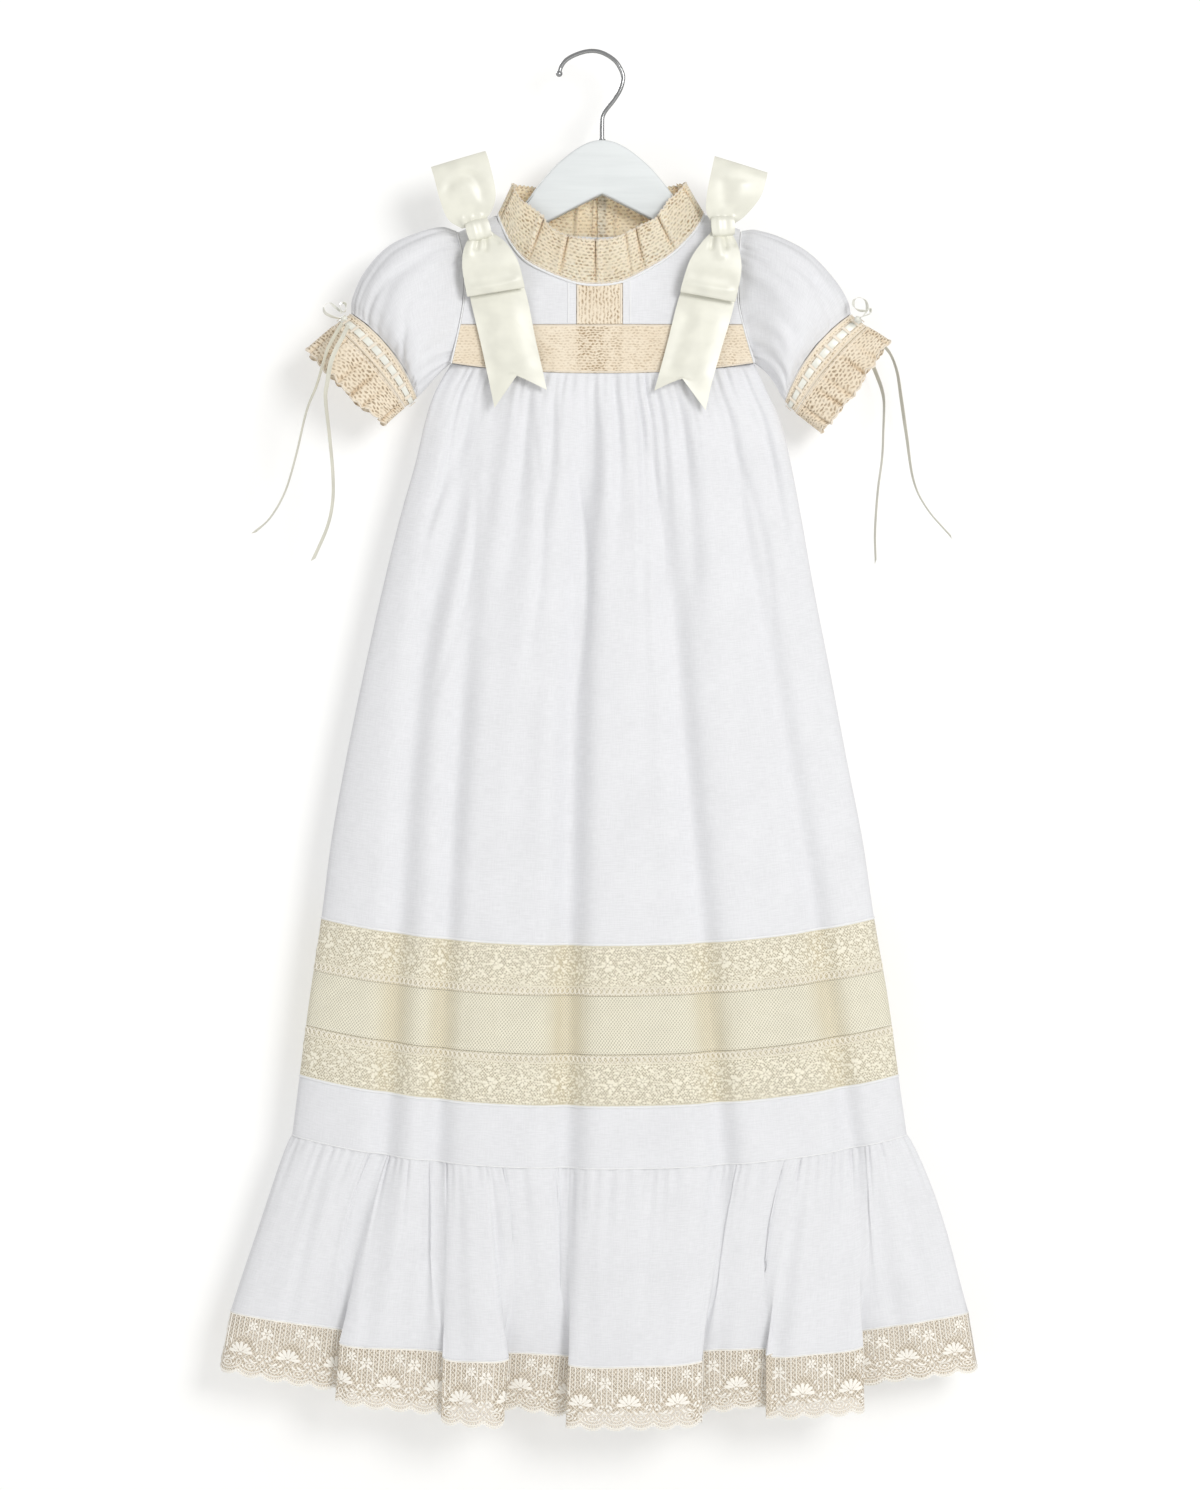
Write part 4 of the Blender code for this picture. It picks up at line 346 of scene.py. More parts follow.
# The free tails of the narrow ribbon: x, drop and level of places they pass.
CUFF_TAILS = {
    "cuff_tail_left_a": [
        (-181.0, 190.6, 18.2), (-185.8, 199.0, 21.0), (-190.6, 208.5, 22.6), (-193.6, 217.5, 22.4),
        (-198.6, 234.0, 20.4), (-205.8, 252.0, 18.6), (-213.4, 283.0, 16.0), (-221.2, 308.0, 14.0),
        (-231.7, 325.9, 12.4), (-242.9, 336.0, 11.0),
    ],
    "cuff_tail_left_b": [
        (-176.8, 192.0, 18.4), (-180.6, 200.6, 21.2), (-185.4, 210.0, 22.8), (-189.0, 220.0, 22.8),
        (-191.0, 232.0, 21.6), (-192.4, 243.0, 20.6), (-189.8, 269.0, 18.2), (-187.6, 294.5, 16.2),
        (-187.8, 314.5, 14.6), (-191.8, 332.6, 13.2), (-201.6, 354.8, 11.6),
    ],
    "cuff_tail_right_a": [
        (179.0, 190.8, -17.0), (183.4, 199.6, -20.6), (188.4, 210.4, -22.2), (193.0, 221.0, -21.6),
        (197.2, 233.0, -19.4), (198.8, 243.0, -17.8), (198.2, 262.0, -15.6), (197.2, 282.0, -13.8),
        (194.0, 306.0, -12.0), (192.0, 334.0, -10.4), (192.4, 355.6, -9.4),
    ],
    "cuff_tail_right_b": [
        (184.6, 189.4, -17.0), (191.4, 196.4, -20.0), (198.6, 202.4, -21.4), (204.0, 209.6, -20.4),
        (208.2, 222.0, -18.6), (210.8, 240.0, -17.0), (214.4, 266.0, -15.0), (219.2, 298.0, -12.8),
        (228.6, 318.0, -11.2), (245.7, 338.1, -9.8),
    ],
}
# ------------------------------------------------------------------- hanger
# Half of the hanger's outline, from its top middle round the arm's end to
# its underside.
HANGER_OUTLINE = [
    {"x": 0.0, "drop": 61.0}, {"x": 9.0, "drop": 62.6}, {"x": 18.0, "drop": 67.2}, {"x": 27.0, "drop": 74.0},
    {"x": 35.5, "drop": 82.0}, {"x": 45.5, "drop": 94.0}, {"x": 52.0, "drop": 102.6}, {"x": 60.0, "drop": 111.4},
    {"x": 70.0, "drop": 118.6}, {"x": 96.0, "drop": 130.0}, {"x": 113.0, "drop": 137.6}, {"x": 119.0, "drop": 142.0},
    {"x": 121.5, "drop": 148.0}, {"x": 119.5, "drop": 154.0}, {"x": 113.0, "drop": 155.8}, {"x": 100.0, "drop": 150.4},
    {"x": 70.0, "drop": 134.2}, {"x": 37.8, "drop": 118.0}, {"x": 12.0, "drop": 104.6}, {"x": 0.0, "drop": 98.8},
]
# The middle line of the hook's wire, from its tip over the crown to the stem.
HOOK_LINE = [
    {"x": -30.0, "drop": 13.5}, {"x": -28.6, "drop": 9.0}, {"x": -25.2, "drop": 4.6}, {"x": -19.0, "drop": 1.0},
    {"x": -11.0, "drop": -1.5}, {"x": -3.5, "drop": -1.6}, {"x": 3.5, "drop": 1.0}, {"x": 10.0, "drop": 6.0},
    {"x": 14.2, "drop": 13.5}, {"x": 14.6, "drop": 19.0}, {"x": 12.4, "drop": 26.0}, {"x": 8.0, "drop": 33.0},
    {"x": 3.2, "drop": 39.0}, {"x": 0.6, "drop": 43.5}, {"x": 0.0, "drop": 49.0}, {"x": 0.0, "drop": 60.4},
]
HOOK_TIP_BALL = 4.6


# ---------------------------------------------------------------- utilities
def lerp(a, b, t):
    return a + (b - a) * t


def smoothstep(low, high, value):
    t = np.clip((np.asarray(value, float) - low) / (high - low), 0.0, 1.0)
    return t * t * (3.0 - 2.0 * t)


def curve_at(places, values, at):
    """A smooth curve through (place, value) pairs."""
    p, v, at = (np.asarray(a, float) for a in (places, values, at))
    slope = np.empty(len(p))
    slope[1:-1] = (v[2:] - v[:-2]) / (p[2:] - p[:-2])
    slope[0] = (v[1] - v[0]) / (p[1] - p[0])
    slope[-1] = (v[-1] - v[-2]) / (p[-1] - p[-2])
    i = np.clip(np.searchsorted(p, at, side="right") - 1, 0, len(p) - 2)
    span = p[i + 1] - p[i]
    t = np.clip((at - p[i]) / span, 0.0, 1.0)
    t2, t3 = t * t, t * t * t
    out = (
        v[i] * (2 * t3 - 3 * t2 + 1)
        + slope[i] * span * (t3 - 2 * t2 + t)
        + v[i + 1] * (3 * t2 - 2 * t3)
        + slope[i + 1] * span * (t3 - t2)
    )
    out = np.where(at < p[0], v[0] + slope[0] * (at - p[0]), out)
    return np.where(at > p[-1], v[-1] + slope[-1] * (at - p[-1]), out)


def column_at(table, key, value, column):
    return curve_at([row[key] for row in table], [row[column] for row in table], value)


def along(table, columns, share):
    """Values of the named columns at a share 0..1 of the way along a table."""
    at = np.asarray(share, float) * (len(table) - 1)
    return [curve_at(range(len(table)), [row[c] for row in table], at) for c in columns]


def uneven(x, seed, step):
    """A smooth uneven wave between -1 and 1, with a turn about every step."""
    values = np.random.RandomState(seed).uniform(-1.0, 1.0, 4096)
    t = np.asarray(x, float) / step + 1500.0
    i = np.floor(t).astype(int)
    f = t - i
    f = f * f * (3.0 - 2.0 * f)
    return values[i % 4096] * (1.0 - f) + values[(i + 1) % 4096] * f


def troughs(u, v, table):
    """Soft creases: rows of (u0, v0, u1, v1, depth, width). A crease runs from
    one place to the other and fades at both ends; a negative depth is a ridge."""
    total = np.zeros(np.broadcast(u, v).shape)
    for u0, v0, u1, v1, deep, wide in table:
        length = math.hypot(u1 - u0, v1 - v0)
        du, dv = (u1 - u0) / length, (v1 - v0) / length
        run = (u - u0) * du + (v - v0) * dv
        off = (u - u0) * -dv + (v - v0) * du
        off = off + 0.06 * length * np.sin(np.clip(run / length, 0, 1) * math.pi)
        ends = smoothstep(-0.12, 0.3, run / length) * smoothstep(1.12, 0.6, run / length)
        total += deep * ends * np.exp(-((off / wide) ** 2))
    return total


def creases(x, drop, table):
    """Creases by the places they pass: rows of (places, depth, width). They
    fade at both ends; a negative depth is a ridge."""
    total = np.zeros(np.broadcast(x, drop).shape)
    for places, deep, wide in table:
        t = np.linspace(0, len(places) - 1, 8 * (len(places) - 1) + 1)
        path = np.stack([curve_at(range(len(places)), [p[k] for p in places], t) for k in (0, 1)], -1)
        run = np.concatenate(([0.0], np.cumsum(np.linalg.norm(np.diff(path, axis=0), axis=1))))
        nearest = np.full(total.shape, 1e9)
        share = np.zeros(total.shape)
        for k in range(len(path) - 1):
            a, way = path[k], path[k + 1] - path[k]
            at = np.clip(((x - a[0]) * way[0] + (drop - a[1]) * way[1]) / max(way @ way, 1e-9), 0.0, 1.0)
            off = np.hypot(x - a[0] - at * way[0], drop - a[1] - at * way[1])
            closer = off < nearest
            nearest = np.where(closer, off, nearest)
            share = np.where(closer, lerp(run[k], run[k + 1], at) / run[-1], share)
        total += deep * smoothstep(0.0, 0.22, share) * smoothstep(1.0, 0.78, share) * np.exp(-((nearest / wide) ** 2))
    return total


# ------------------------------------------------------------------- meshes
def make(name, points, faces, material, cloth=None, sharp=None, painted_fold_shade=None):
    """A mesh object from points in millimetres and arrays of faces."""
    faces = [np.asarray(f, np.int32) for f in (faces if isinstance(faces, list) else [faces])]
    faces = [f for f in faces if len(f)]
    mesh = bpy.data.meshes.new(name)
    mesh.vertices.add(len(points))
    mesh.vertices.foreach_set("co", (np.asarray(points, float) * MM).astype(np.float32).ravel())
    sizes = np.concatenate([np.full(len(f), f.shape[1]) for f in faces])
    mesh.loops.add(int(sizes.sum()))
    mesh.loops.foreach_set("vertex_index", np.concatenate([f.ravel() for f in faces]).astype(np.int32))
    mesh.polygons.add(len(sizes))
    mesh.polygons.foreach_set("loop_start", np.concatenate(([0], np.cumsum(sizes)[:-1])).astype(np.int32))
    mesh.update(calc_edges=True)
    mesh.validate()
    if cloth is not None:
        held = mesh.attributes.new("cloth", "FLOAT_VECTOR", "POINT")
        held.data.foreach_set("vector", np.asarray(cloth, np.float32).ravel())
    if painted_fold_shade is not None:
        held = mesh.attributes.new("painted_fold_shade", "FLOAT", "POINT")
        held.data.foreach_set("value", np.asarray(painted_fold_shade, np.float32).ravel())
    mesh.materials.append(material)
    obj = bpy.data.objects.new(name, mesh)
    bpy.context.scene.collection.objects.link(obj)
    mesh.shade_smooth()
    if sharp:
        mesh.set_sharp_from_angle(angle=math.radians(sharp))
    return obj


def own(obj, slot, *nodes):
    """The piece rides on the gown and stands for these nodes; slot is not used."""
    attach(obj, "root")
    if nodes:
        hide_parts(*nodes)
    return obj


class Surface:
    """A surface of cloth: a grid of points in millimetres, the way off it at
    each point, and the lengths across it (u) and down it (v)."""

    def __init__(self, points, outward=1.0, around=False):
        self.around = around
        self.points = np.asarray(points, float)
        grid = np.concatenate((self.points, self.points[:, :1]), 1) if around else self.points
        if around:
            across = np.roll(self.points, -1, 1) - np.roll(self.points, 1, 1)
        else:
            across = np.gradient(self.points, axis=1)
        down = np.gradient(self.points, axis=0)
        normal = np.cross(down, across)
        size = np.linalg.norm(normal, axis=2, keepdims=True)
        self.outward = outward
        self.normals = normal / np.maximum(size, 1e-9) * outward
        self.grid = grid
        self.grid_normals = np.concatenate((self.normals, self.normals[:, :1]), 1) if around else self.normals
        self.u = np.concatenate(([0.0], np.cumsum(np.linalg.norm(np.diff(grid, axis=1), axis=2).mean(0))))
        self.v = np.concatenate(([0.0], np.cumsum(np.linalg.norm(np.diff(grid, axis=0), axis=2).mean(1))))

    def place(self, u, v, lift=0.0):
        """Points of the surface at lengths u and v, raised off it by lift."""
        u, v, lift = np.broadcast_arrays(np.asarray(u, float), np.asarray(v, float), np.asarray(lift, float))
        c = np.interp(u, self.u, np.arange(len(self.u)))
        r = np.interp(v, self.v, np.arange(len(self.v)))
        j = np.clip(c.astype(int), 0, len(self.u) - 2)
        i = np.clip(r.astype(int), 0, len(self.v) - 2)
        fc, fr = (c - j)[..., None], (r - i)[..., None]

        def mixed(field):
            top = field[i, j] * (1 - fc) + field[i, j + 1] * fc
            low = field[i + 1, j] * (1 - fc) + field[i + 1, j + 1] * fc
            return top * (1 - fr) + low * fr

        return mixed(self.grid) + mixed(self.grid_normals) * lift[..., None]


def grid_faces(rows, columns, around=False, flip=False, start=0):
    i, j = np.meshgrid(np.arange(rows - 1), np.arange(columns if around else columns - 1), indexing="ij")
    k = (j + 1) % columns
    quads = np.stack((i * columns + j, (i + 1) * columns + j, (i + 1) * columns + k, i * columns + k), -1).reshape(-1, 4)
    return (quads[:, ::-1] if flip else quads) + start


def shell(name, surface, material, thick=0.45, lengths=None, painted_fold_shade=None):
    """A closed thin wall on a surface. The fold values are how far each place
    lies in between layers, 0 to 1; its colour is darkened there as painted shade."""
    rows, columns = surface.points.shape[:2]
    around, flip = surface.around, surface.outward < 0
    inner = surface.points - surface.normals * thick
    count = rows * columns
    faces = [grid_faces(rows, columns, around, flip), grid_faces(rows, columns, around, not flip, count)]
    j = np.arange(columns if around else columns - 1)
    k = (j + 1) % columns
    top = np.stack((j, k, k + count, j + count), -1)
    last = (rows - 1) * columns
    low = np.stack((last + k, last + j, last + j + count, last + k + count), -1)
    rims = [top, low]
    if not around:
        i = np.arange(rows - 1) * columns
        rims.append(np.stack((i + columns, i, i + count, i + columns + count), -1))
        e = i + columns - 1
        rims.append(np.stack((e, e + columns, e + columns + count, e + count), -1))
    rims = [r[:, ::-1] if flip else r for r in rims]
    u, v = lengths if lengths is not None else np.meshgrid(surface.u[:columns], surface.v)
    cloth = np.stack((u, v, np.zeros_like(u)), -1).reshape(-1, 3)
    side = cloth.copy()
    side[:, 2] = 1.0
    points = np.concatenate((surface.points.reshape(-1, 3), inner.reshape(-1, 3)))
    if painted_fold_shade is not None:
        painted_fold_shade = np.tile(np.asarray(painted_fold_shade, float).ravel(), 2)
    return make(name, points, [np.concatenate(faces + rims)], material, np.concatenate((cloth, side)), sharp=55, painted_fold_shade=painted_fold_shade)


def single(name, surface, material, lengths=None, painted_fold_shade=None):
    """An open-work sheet: one layer, because what lies behind it shows."""
    rows, columns = surface.points.shape[:2]
    u, v = lengths if lengths is not None else np.meshgrid(surface.u[:columns], surface.v)
    cloth = np.stack((u, v, np.zeros_like(u)), -1).reshape(-1, 3)
    faces = grid_faces(rows, columns, surface.around, surface.outward < 0)
    return make(name, surface.points.reshape(-1, 3), faces, material, cloth, painted_fold_shade=painted_fold_shade)


def tube_points(line, radius, sides=6, flat=1.0, closed=False):
    """Points and faces of a tube with closed ends along a line (mm)."""
    line = np.asarray(line, float)
    count = len(line)
    if closed:
        along_it = np.roll(line, -1, 0) - np.roll(line, 1, 0)
    else:
        along_it = np.gradient(line, axis=0)
    along_it /= np.maximum(np.linalg.norm(along_it, axis=1, keepdims=True), 1e-9)
    side = np.cross(along_it[0], (0.0, 1.0, 0.0))
    if np.linalg.norm(side) < 0.2:
        side = np.cross(along_it[0], (1.0, 0.0, 0.0))
    frames = []
    for t in along_it:
        side = side - t * np.dot(side, t)
        side = side / np.linalg.norm(side)
        frames.append(side)
    side = np.array(frames)
    other = np.cross(along_it, side)
    radius = np.broadcast_to(np.asarray(radius, float), (count,))
    angle = np.arange(sides) * 2 * math.pi / sides
    points = (
        line[:, None, :]
        + side[:, None, :] * (np.cos(angle)[None, :, None] * radius[:, None, None])
        + other[:, None, :] * (np.sin(angle)[None, :, None] * radius[:, None, None] * flat)
    ).reshape(-1, 3)
    i, j = np.meshgrid(np.arange(count if closed else count - 1), np.arange(sides), indexing="ij")
    n, k = (i + 1) % count, (j + 1) % sides
    quads = np.stack((i * sides + j, i * sides + k, n * sides + k, n * sides + j), -1).reshape(-1, 4)
    if closed:
        return points, quads, np.zeros((0, 3), int)
    points = np.concatenate((points, line[:1], line[-1:]))
    j = np.arange(sides)
    k = (j + 1) % sides
    first = np.stack((np.full(sides, count * sides), k, j), -1)
    end = (count - 1) * sides
    last = np.stack((np.full(sides, count * sides + 1), end + j, end + k), -1)
    return points, quads, np.concatenate((first, last))


def tube(name, line, radius, material, sides=6, flat=1.0, closed=False):
    points, quads, ends = tube_points(line, radius, sides, flat, closed)
    steps = np.linalg.norm(np.diff(np.asarray(line, float), axis=0), axis=1)
    run = np.concatenate(([0.0], np.cumsum(steps)))
    u = np.repeat(run, sides)
    w = np.tile(np.arange(sides) / sides, len(run))
    cloth = np.stack((u, w * 6.0, np.zeros_like(u)), -1)
    if len(points) > len(cloth):
        cloth = np.concatenate((cloth, cloth[:1], cloth[-1:]))
    return make(name, points, [quads, ends], material, cloth, sharp=55)


class Chart:
    """Lace figures drawn flat: u along the lace, v down it, w off it. They are
    closed little solids of thread, laid on a surface all at once."""

    def __init__(self):
        self.points, self.faces, self.count = [], [], 0

    def add(self, points, faces):
        self.points.append(np.asarray(points, float))
        self.faces.append(np.asarray(faces, int) + self.count)
        self.count += len(points)

    def leaf(self, u, v, turn, long, wide, high=0.55, sides=8, blunt=0.0):
        """A petal or leaf; turn 0 points along +u, 90 down the lace."""
        angle = np.arange(sides) * 2 * math.pi / sides
        a = np.cos(angle) * long / 2
        b = np.sin(angle) * wide / 2 * (1.0 + blunt * np.cos(angle))
        c, s = math.cos(math.radians(turn)), math.sin(math.radians(turn))
        outline = np.stack((u + a * c - b * s, v + a * s + b * c, np.full(sides, 0.12)), -1)
        points = np.concatenate((outline, [[u, v, high]]))
        j = np.arange(sides)
        top = np.stack((np.full(sides, sides), (j + 1) % sides, j), -1)
        low = np.stack((np.zeros(sides - 2, int), np.arange(1, sides - 1), np.arange(2, sides)), -1)
        self.add(points, np.concatenate((top, low)))

    def flower(self, u, v, reach, petals=5, turn=0.0, fat=0.9, middle=True):
        for k in range(petals):
            way = turn + 360.0 * k / petals
            c, s = math.cos(math.radians(way)), math.sin(math.radians(way))
            self.leaf(u + c * reach * 0.58, v + s * reach * 0.58, way, reach * 0.86, reach * fat * 2.6 / petals + reach * 0.12, blunt=0.35)
        if middle:
            self.leaf(u, v, 0, reach * 0.42, reach * 0.42, 0.75, 6)

    def strand(self, path, wide=0.8, high=0.5, base=0.05):
        """A raised thread along (u, v) points: a closed three-sided bar."""
        path = np.asarray(path, float)
        way = np.gradient(path, axis=0)
        way /= np.maximum(np.linalg.norm(way, axis=1, keepdims=True), 1e-9)
        off = np.stack((-way[:, 1], way[:, 0]), -1) * wide / 2
        n = len(path)
        left = np.column_stack((path - off, np.full(n, base)))
        right = np.column_stack((path + off, np.full(n, base)))
        top = np.column_stack((path, np.full(n, base + high)))
        points = np.stack((left, top, right), 1).reshape(-1, 3)
        faces = []
        i = np.arange(n - 1) * 3
        for a, b in ((0, 1), (1, 2), (2, 0)):
            faces.append(np.stack((i + a, i + b, i + 3 + b), -1))
            faces.append(np.stack((i + a, i + 3 + b, i + 3 + a), -1))
        faces.append([[0, 2, 1], [3 * n - 3, 3 * n - 2, 3 * n - 1]])
        self.add(points, np.concatenate(faces))

    def ring(self, u, v, reach_u, reach_v, wide=0.7, high=0.45, turn=0.0, sides=12):
        angle = np.arange(sides) * 2 * math.pi / sides
        c, s = math.cos(math.radians(turn)), math.sin(math.radians(turn))
        rings = []
        for grow, lift in ((-wide / 2, 0.05), (0.0, 0.05 + high), (wide / 2, 0.05)):
            a, b = np.cos(angle) * (reach_u + grow), np.sin(angle) * (reach_v + grow)
            rings.append(np.stack((u + a * c - b * s, v + a * s + b * c, np.full(sides, lift)), -1))
        points = np.stack(rings, 1).reshape(-1, 3)
        i = np.arange(sides) * 3
        n = (i + 3) % (3 * sides)
        faces = []
        for a, b in ((0, 1), (1, 2), (2, 0)):
            faces.append(np.stack((i + a, i + b, n + b), -1))
            faces.append(np.stack((i + a, n + b, n + a), -1))
        self.add(points, np.concatenate(faces))

    def tiled(self, step, start, end):
        """The chart again and again along u, as arrays."""
        points, faces = np.concatenate(self.points), np.concatenate(self.faces)
        times = int(math.floor((end - start) / step + 1e-6))
        shift = start + np.arange(times) * step
        all_points = (points[None] + np.stack((shift, shift * 0, shift * 0), -1)[:, None]).reshape(-1, 3)
        all_faces = (faces[None] + (np.arange(times) * len(points))[:, None, None]).reshape(-1, 3)
        return all_points, all_faces

    def lay(self, name, surface, material, step=None, start=0.0, end=None, scale_v=1.0, fit=None, flip_v=None, drop_v=None):
        """Lays the figures on a surface. The charted repeat is stretched a
        little so that a whole number fills the surface; fit is not used."""
        end = surface.u[-1] if end is None else end
        if step:
            times = max(1, round((end - start) / step))
            real = (end - start) / times
            points, faces = self.tiled(step, 0.0, step * times + 0.001)
            points = points.copy()
            points[:, 0] = start + points[:, 0] * real / step
        else:
            points, faces = np.concatenate(self.points), np.concatenate(self.faces)
            points = points.copy()
        if flip_v is not None:
            points[:, 1] = flip_v - points[:, 1]
        points[:, 1] *= scale_v
        if drop_v is not None:
            points[:, 1] += drop_v(points[:, 0])
        inside = (points[:, 0] > start - 3.0) & (points[:, 0] < end + 3.0)
        keep = inside[faces].all(1)
        faces = faces[keep]
        u = np.clip(points[:, 0], start, end)
        if surface.around:
            u = points[:, 0] % surface.u[-1]
        laid = surface.place(u, points[:, 1], points[:, 2])
        if (surface.outward > 0) == (flip_v is not None):
            faces = faces[:, ::-1]
        cloth = np.stack((points[:, 0], points[:, 1], np.zeros(len(points))), -1)
        used = np.zeros(len(laid), bool)
        used[faces.ravel()] = True
        renumber = np.cumsum(used) - 1
        return make(name, laid[used], renumber[faces], material, cloth[used], sharp=70)


# ------------------------------------------------------------------- camera
def build_camera():
    data = bpy.data.cameras.new("camera")
    data.lens = 103.5
    data.sensor_width = 36.0
    data.clip_start, data.clip_end = 0.1, 30.0
    camera = bpy.data.objects.new("camera", data)
    camera.location = (-0.0014, -3.0, -0.4842)
    camera.rotation_euler = (math.radians(90), 0.0, 0.0)
    bpy.context.scene.collection.objects.link(camera)
    bpy.context.scene.camera = camera


# ---------------------------------------------------------------- materials
class Finish:
    """A small helper that wires up a procedural material."""

    def __init__(self, name, color, rough, **sockets):
        self.material = bpy.data.materials.new(name)
        self.material.use_nodes = True
        self.tree = self.material.node_tree
        self.shader = self.tree.nodes["Principled BSDF"]
        self.set("Base Color", color)
        self.set("Roughness", rough)
        for key, value in sockets.items():
            self.set(key.replace("_", " "), value)

    def set(self, name, value):
        socket = self.shader.inputs[name]
        if isinstance(value, bpy.types.NodeSocket):
            self.tree.links.new(value, socket)
        elif isinstance(value, tuple) and len(value) == 3:
            socket.default_value = (*value, 1.0)
        else:
            socket.default_value = value

    def node(self, kind, **settings):
        made = self.tree.nodes.new(kind)
        for key, value in settings.items():
            setattr(made, key, value)
        return made

    def put(self, socket, value):
        if isinstance(value, bpy.types.NodeSocket):
            self.tree.links.new(value, socket)
        else:
            socket.default_value = value

    def math(self, operation, a, b=0.0, c=0.0, clamp=False):
        made = self.node("ShaderNodeMath", operation=operation, use_clamp=clamp)
        for socket, value in zip(made.inputs, (a, b, c)):
            self.put(socket, value)
        return made.outputs[0]

    def lengths(self):
        """u and v, the lengths in millimetres along and down the cloth."""
        found = self.node("ShaderNodeAttribute", attribute_name="cloth")
        split = self.node("ShaderNodeSeparateXYZ")
        self.tree.links.new(found.outputs["Vector"], split.inputs[0])
        return split.outputs[0], split.outputs[1]

    def vector(self, x, y, z=0.0):
        made = self.node("ShaderNodeCombineXYZ")
        for socket, value in zip(made.inputs, (x, y, z)):
            self.put(socket, value)
        return made.outputs[0]

    def noise(self, where, scale, detail=2.0, rough=0.5):
        made = self.node("ShaderNodeTexNoise")
        self.put(made.inputs["Vector"], where)
        made.inputs["Scale"].default_value = scale
        made.inputs["Detail"].default_value = detail
        made.inputs["Roughness"].default_value = rough
        return made.outputs["Fac"]

    def spread(self, value, low, high, new_low=0.0, new_high=1.0, smooth=True):
        made = self.node("ShaderNodeMapRange", interpolation_type="SMOOTHSTEP" if smooth else "LINEAR")
        for name, part in (("Value", value), ("From Min", low), ("From Max", high), ("To Min", new_low), ("To Max", new_high)):
            self.put(made.inputs[name], part)
        return made.outputs["Result"]

    def mix(self, share, one, other):
        made = self.node("ShaderNodeMix", data_type="RGBA")
        self.put(made.inputs["Factor"], share)
        for name, value in (("A", one), ("B", other)):
            socket = [s for s in made.inputs if s.name == name and s.type == "RGBA"][0]
            self.put(socket, (*value, 1.0) if isinstance(value, tuple) else value)
        return [s for s in made.outputs if s.type == "RGBA"][0]

    def bump(self, height, depth_mm, strength=1.0):
        made = self.node("ShaderNodeBump")
        made.inputs["Strength"].default_value = strength
        made.inputs["Distance"].default_value = depth_mm * MM
        self.put(made.inputs["Height"], height)
        self.set("Normal", made.outputs["Normal"])

    def see_through(self, share):
        """share is how much of the cloth is thread here, 0 to 1."""
        self.set("Alpha", share)


def brick_holes(f, u, v, pitch_u, pitch_v, half_u, half_v, tilt=0.0, soft=0.35):
    """1 inside oval holes set in brick rows, 0 on the thread between them."""
    row = f.math("FLOOR", f.math("DIVIDE", v, pitch_v))
    odd = f.math("ABSOLUTE", f.math("SUBTRACT", f.math("MODULO", f.math("ABSOLUTE", row), 2.0), 0.0))
    dv = f.math("MULTIPLY", f.math("SUBTRACT", f.math("FRACT", f.math("DIVIDE", v, pitch_v)), 0.5), pitch_v)
    moved = f.math("ADD", u, f.math("MULTIPLY", odd, pitch_u / 2))
    if tilt:
        lean = f.math("MULTIPLY", dv, f.math("MULTIPLY", f.math("SUBTRACT", f.math("MULTIPLY", odd, 2.0), 1.0), tilt))
        moved = f.math("ADD", moved, lean)
    du = f.math("MULTIPLY", f.math("SUBTRACT", f.math("FRACT", f.math("DIVIDE", moved, pitch_u)), 0.5), pitch_u)
    off = f.math("SQRT", f.math("ADD",
        f.math("POWER", f.math("ABSOLUTE", f.math("DIVIDE", du, half_u)), 2.0),
        f.math("POWER", f.math("ABSOLUTE", f.math("DIVIDE", dv, half_v)), 2.0)))
    return f.spread(off, 1.0 + soft, 1.0 - soft)


def diamond_net(f, u, v, pitch, thread):
    """1 on the threads of a slanted net, 0 in its holes."""
    total = None
    for slope in (1.0, -1.0):
        line = f.math("DIVIDE", f.math("ADD", u, f.math("MULTIPLY", v, slope * 0.8)), pitch)
        off = f.math("ABSOLUTE", f.math("SUBTRACT", f.math("FRACT", line), 0.5))
        bar = f.spread(off, 0.5 - thread * 1.25, 0.5 - thread * 0.6)
        total = bar if total is None else f.math("MAXIMUM", total, bar)
    return total


COTTON = (0.75, 0.755, 0.778)
CREAM = (0.83, 0.745, 0.61)
# Dark tan of the cotton lace: painted shade round its slots.
CREAM_HOLE_SHADE = (0.58, 0.43, 0.27)
IVORY = (0.80, 0.755, 0.62)
IVORY_LIGHT = (0.86, 0.82, 0.69)
HEM_CREAM = (0.92, 0.89, 0.825)
SATIN = (0.745, 0.74, 0.65)


def cotton_finish(name="cotton_batiste", color=COTTON, slub=0.5, piece=0.0):
    """Fine plain weave: crossing threads, with slubs that run along both."""
    f = Finish(name, color, 0.82)
    u, v = f.lengths()
    along_u = f.noise(f.vector(f.math("MULTIPLY", u, 0.12), f.math("MULTIPLY", v, 1.5)), 1.0, 3.0, 0.6)
    along_v = f.noise(f.vector(f.math("MULTIPLY", u, 1.5), f.math("MULTIPLY", v, 0.1), 7.0), 1.0, 3.0, 0.6)
    slubs = f.math("ADD", f.math("MULTIPLY", along_u, 0.6), f.math("MULTIPLY", along_v, 0.4))
    weave = f.math("MULTIPLY",
        f.math("SINE", f.math("MULTIPLY", u, 2 * math.pi / 0.62)),
        f.math("SINE", f.math("MULTIPLY", v, 2 * math.pi / 0.62)))
    height = f.math("ADD", f.math("MULTIPLY", slubs, slub), f.math("MULTIPLY", weave, 0.12))
    drift = f.noise(f.vector(u, v, 3.0), 0.035, 2.0)
    tone = f.math("ADD", f.math("MULTIPLY", slubs, 0.85), f.math("MULTIPLY", drift, 0.15))
    low = tuple(c * 0.945 for c in color)
    high = tuple(min(1.0, c * 1.04) for c in color)
    f.set("Base Color", f.mix(f.spread(tone, 0.36, 0.64), low, high))
    f.set("Sheen Weight", 0.12)
    f.set("Sheen Roughness", 0.5)
    f.set("Specular IOR Level", 0.25)
    f.bump(height, 0.2, 0.6)
    return f.material


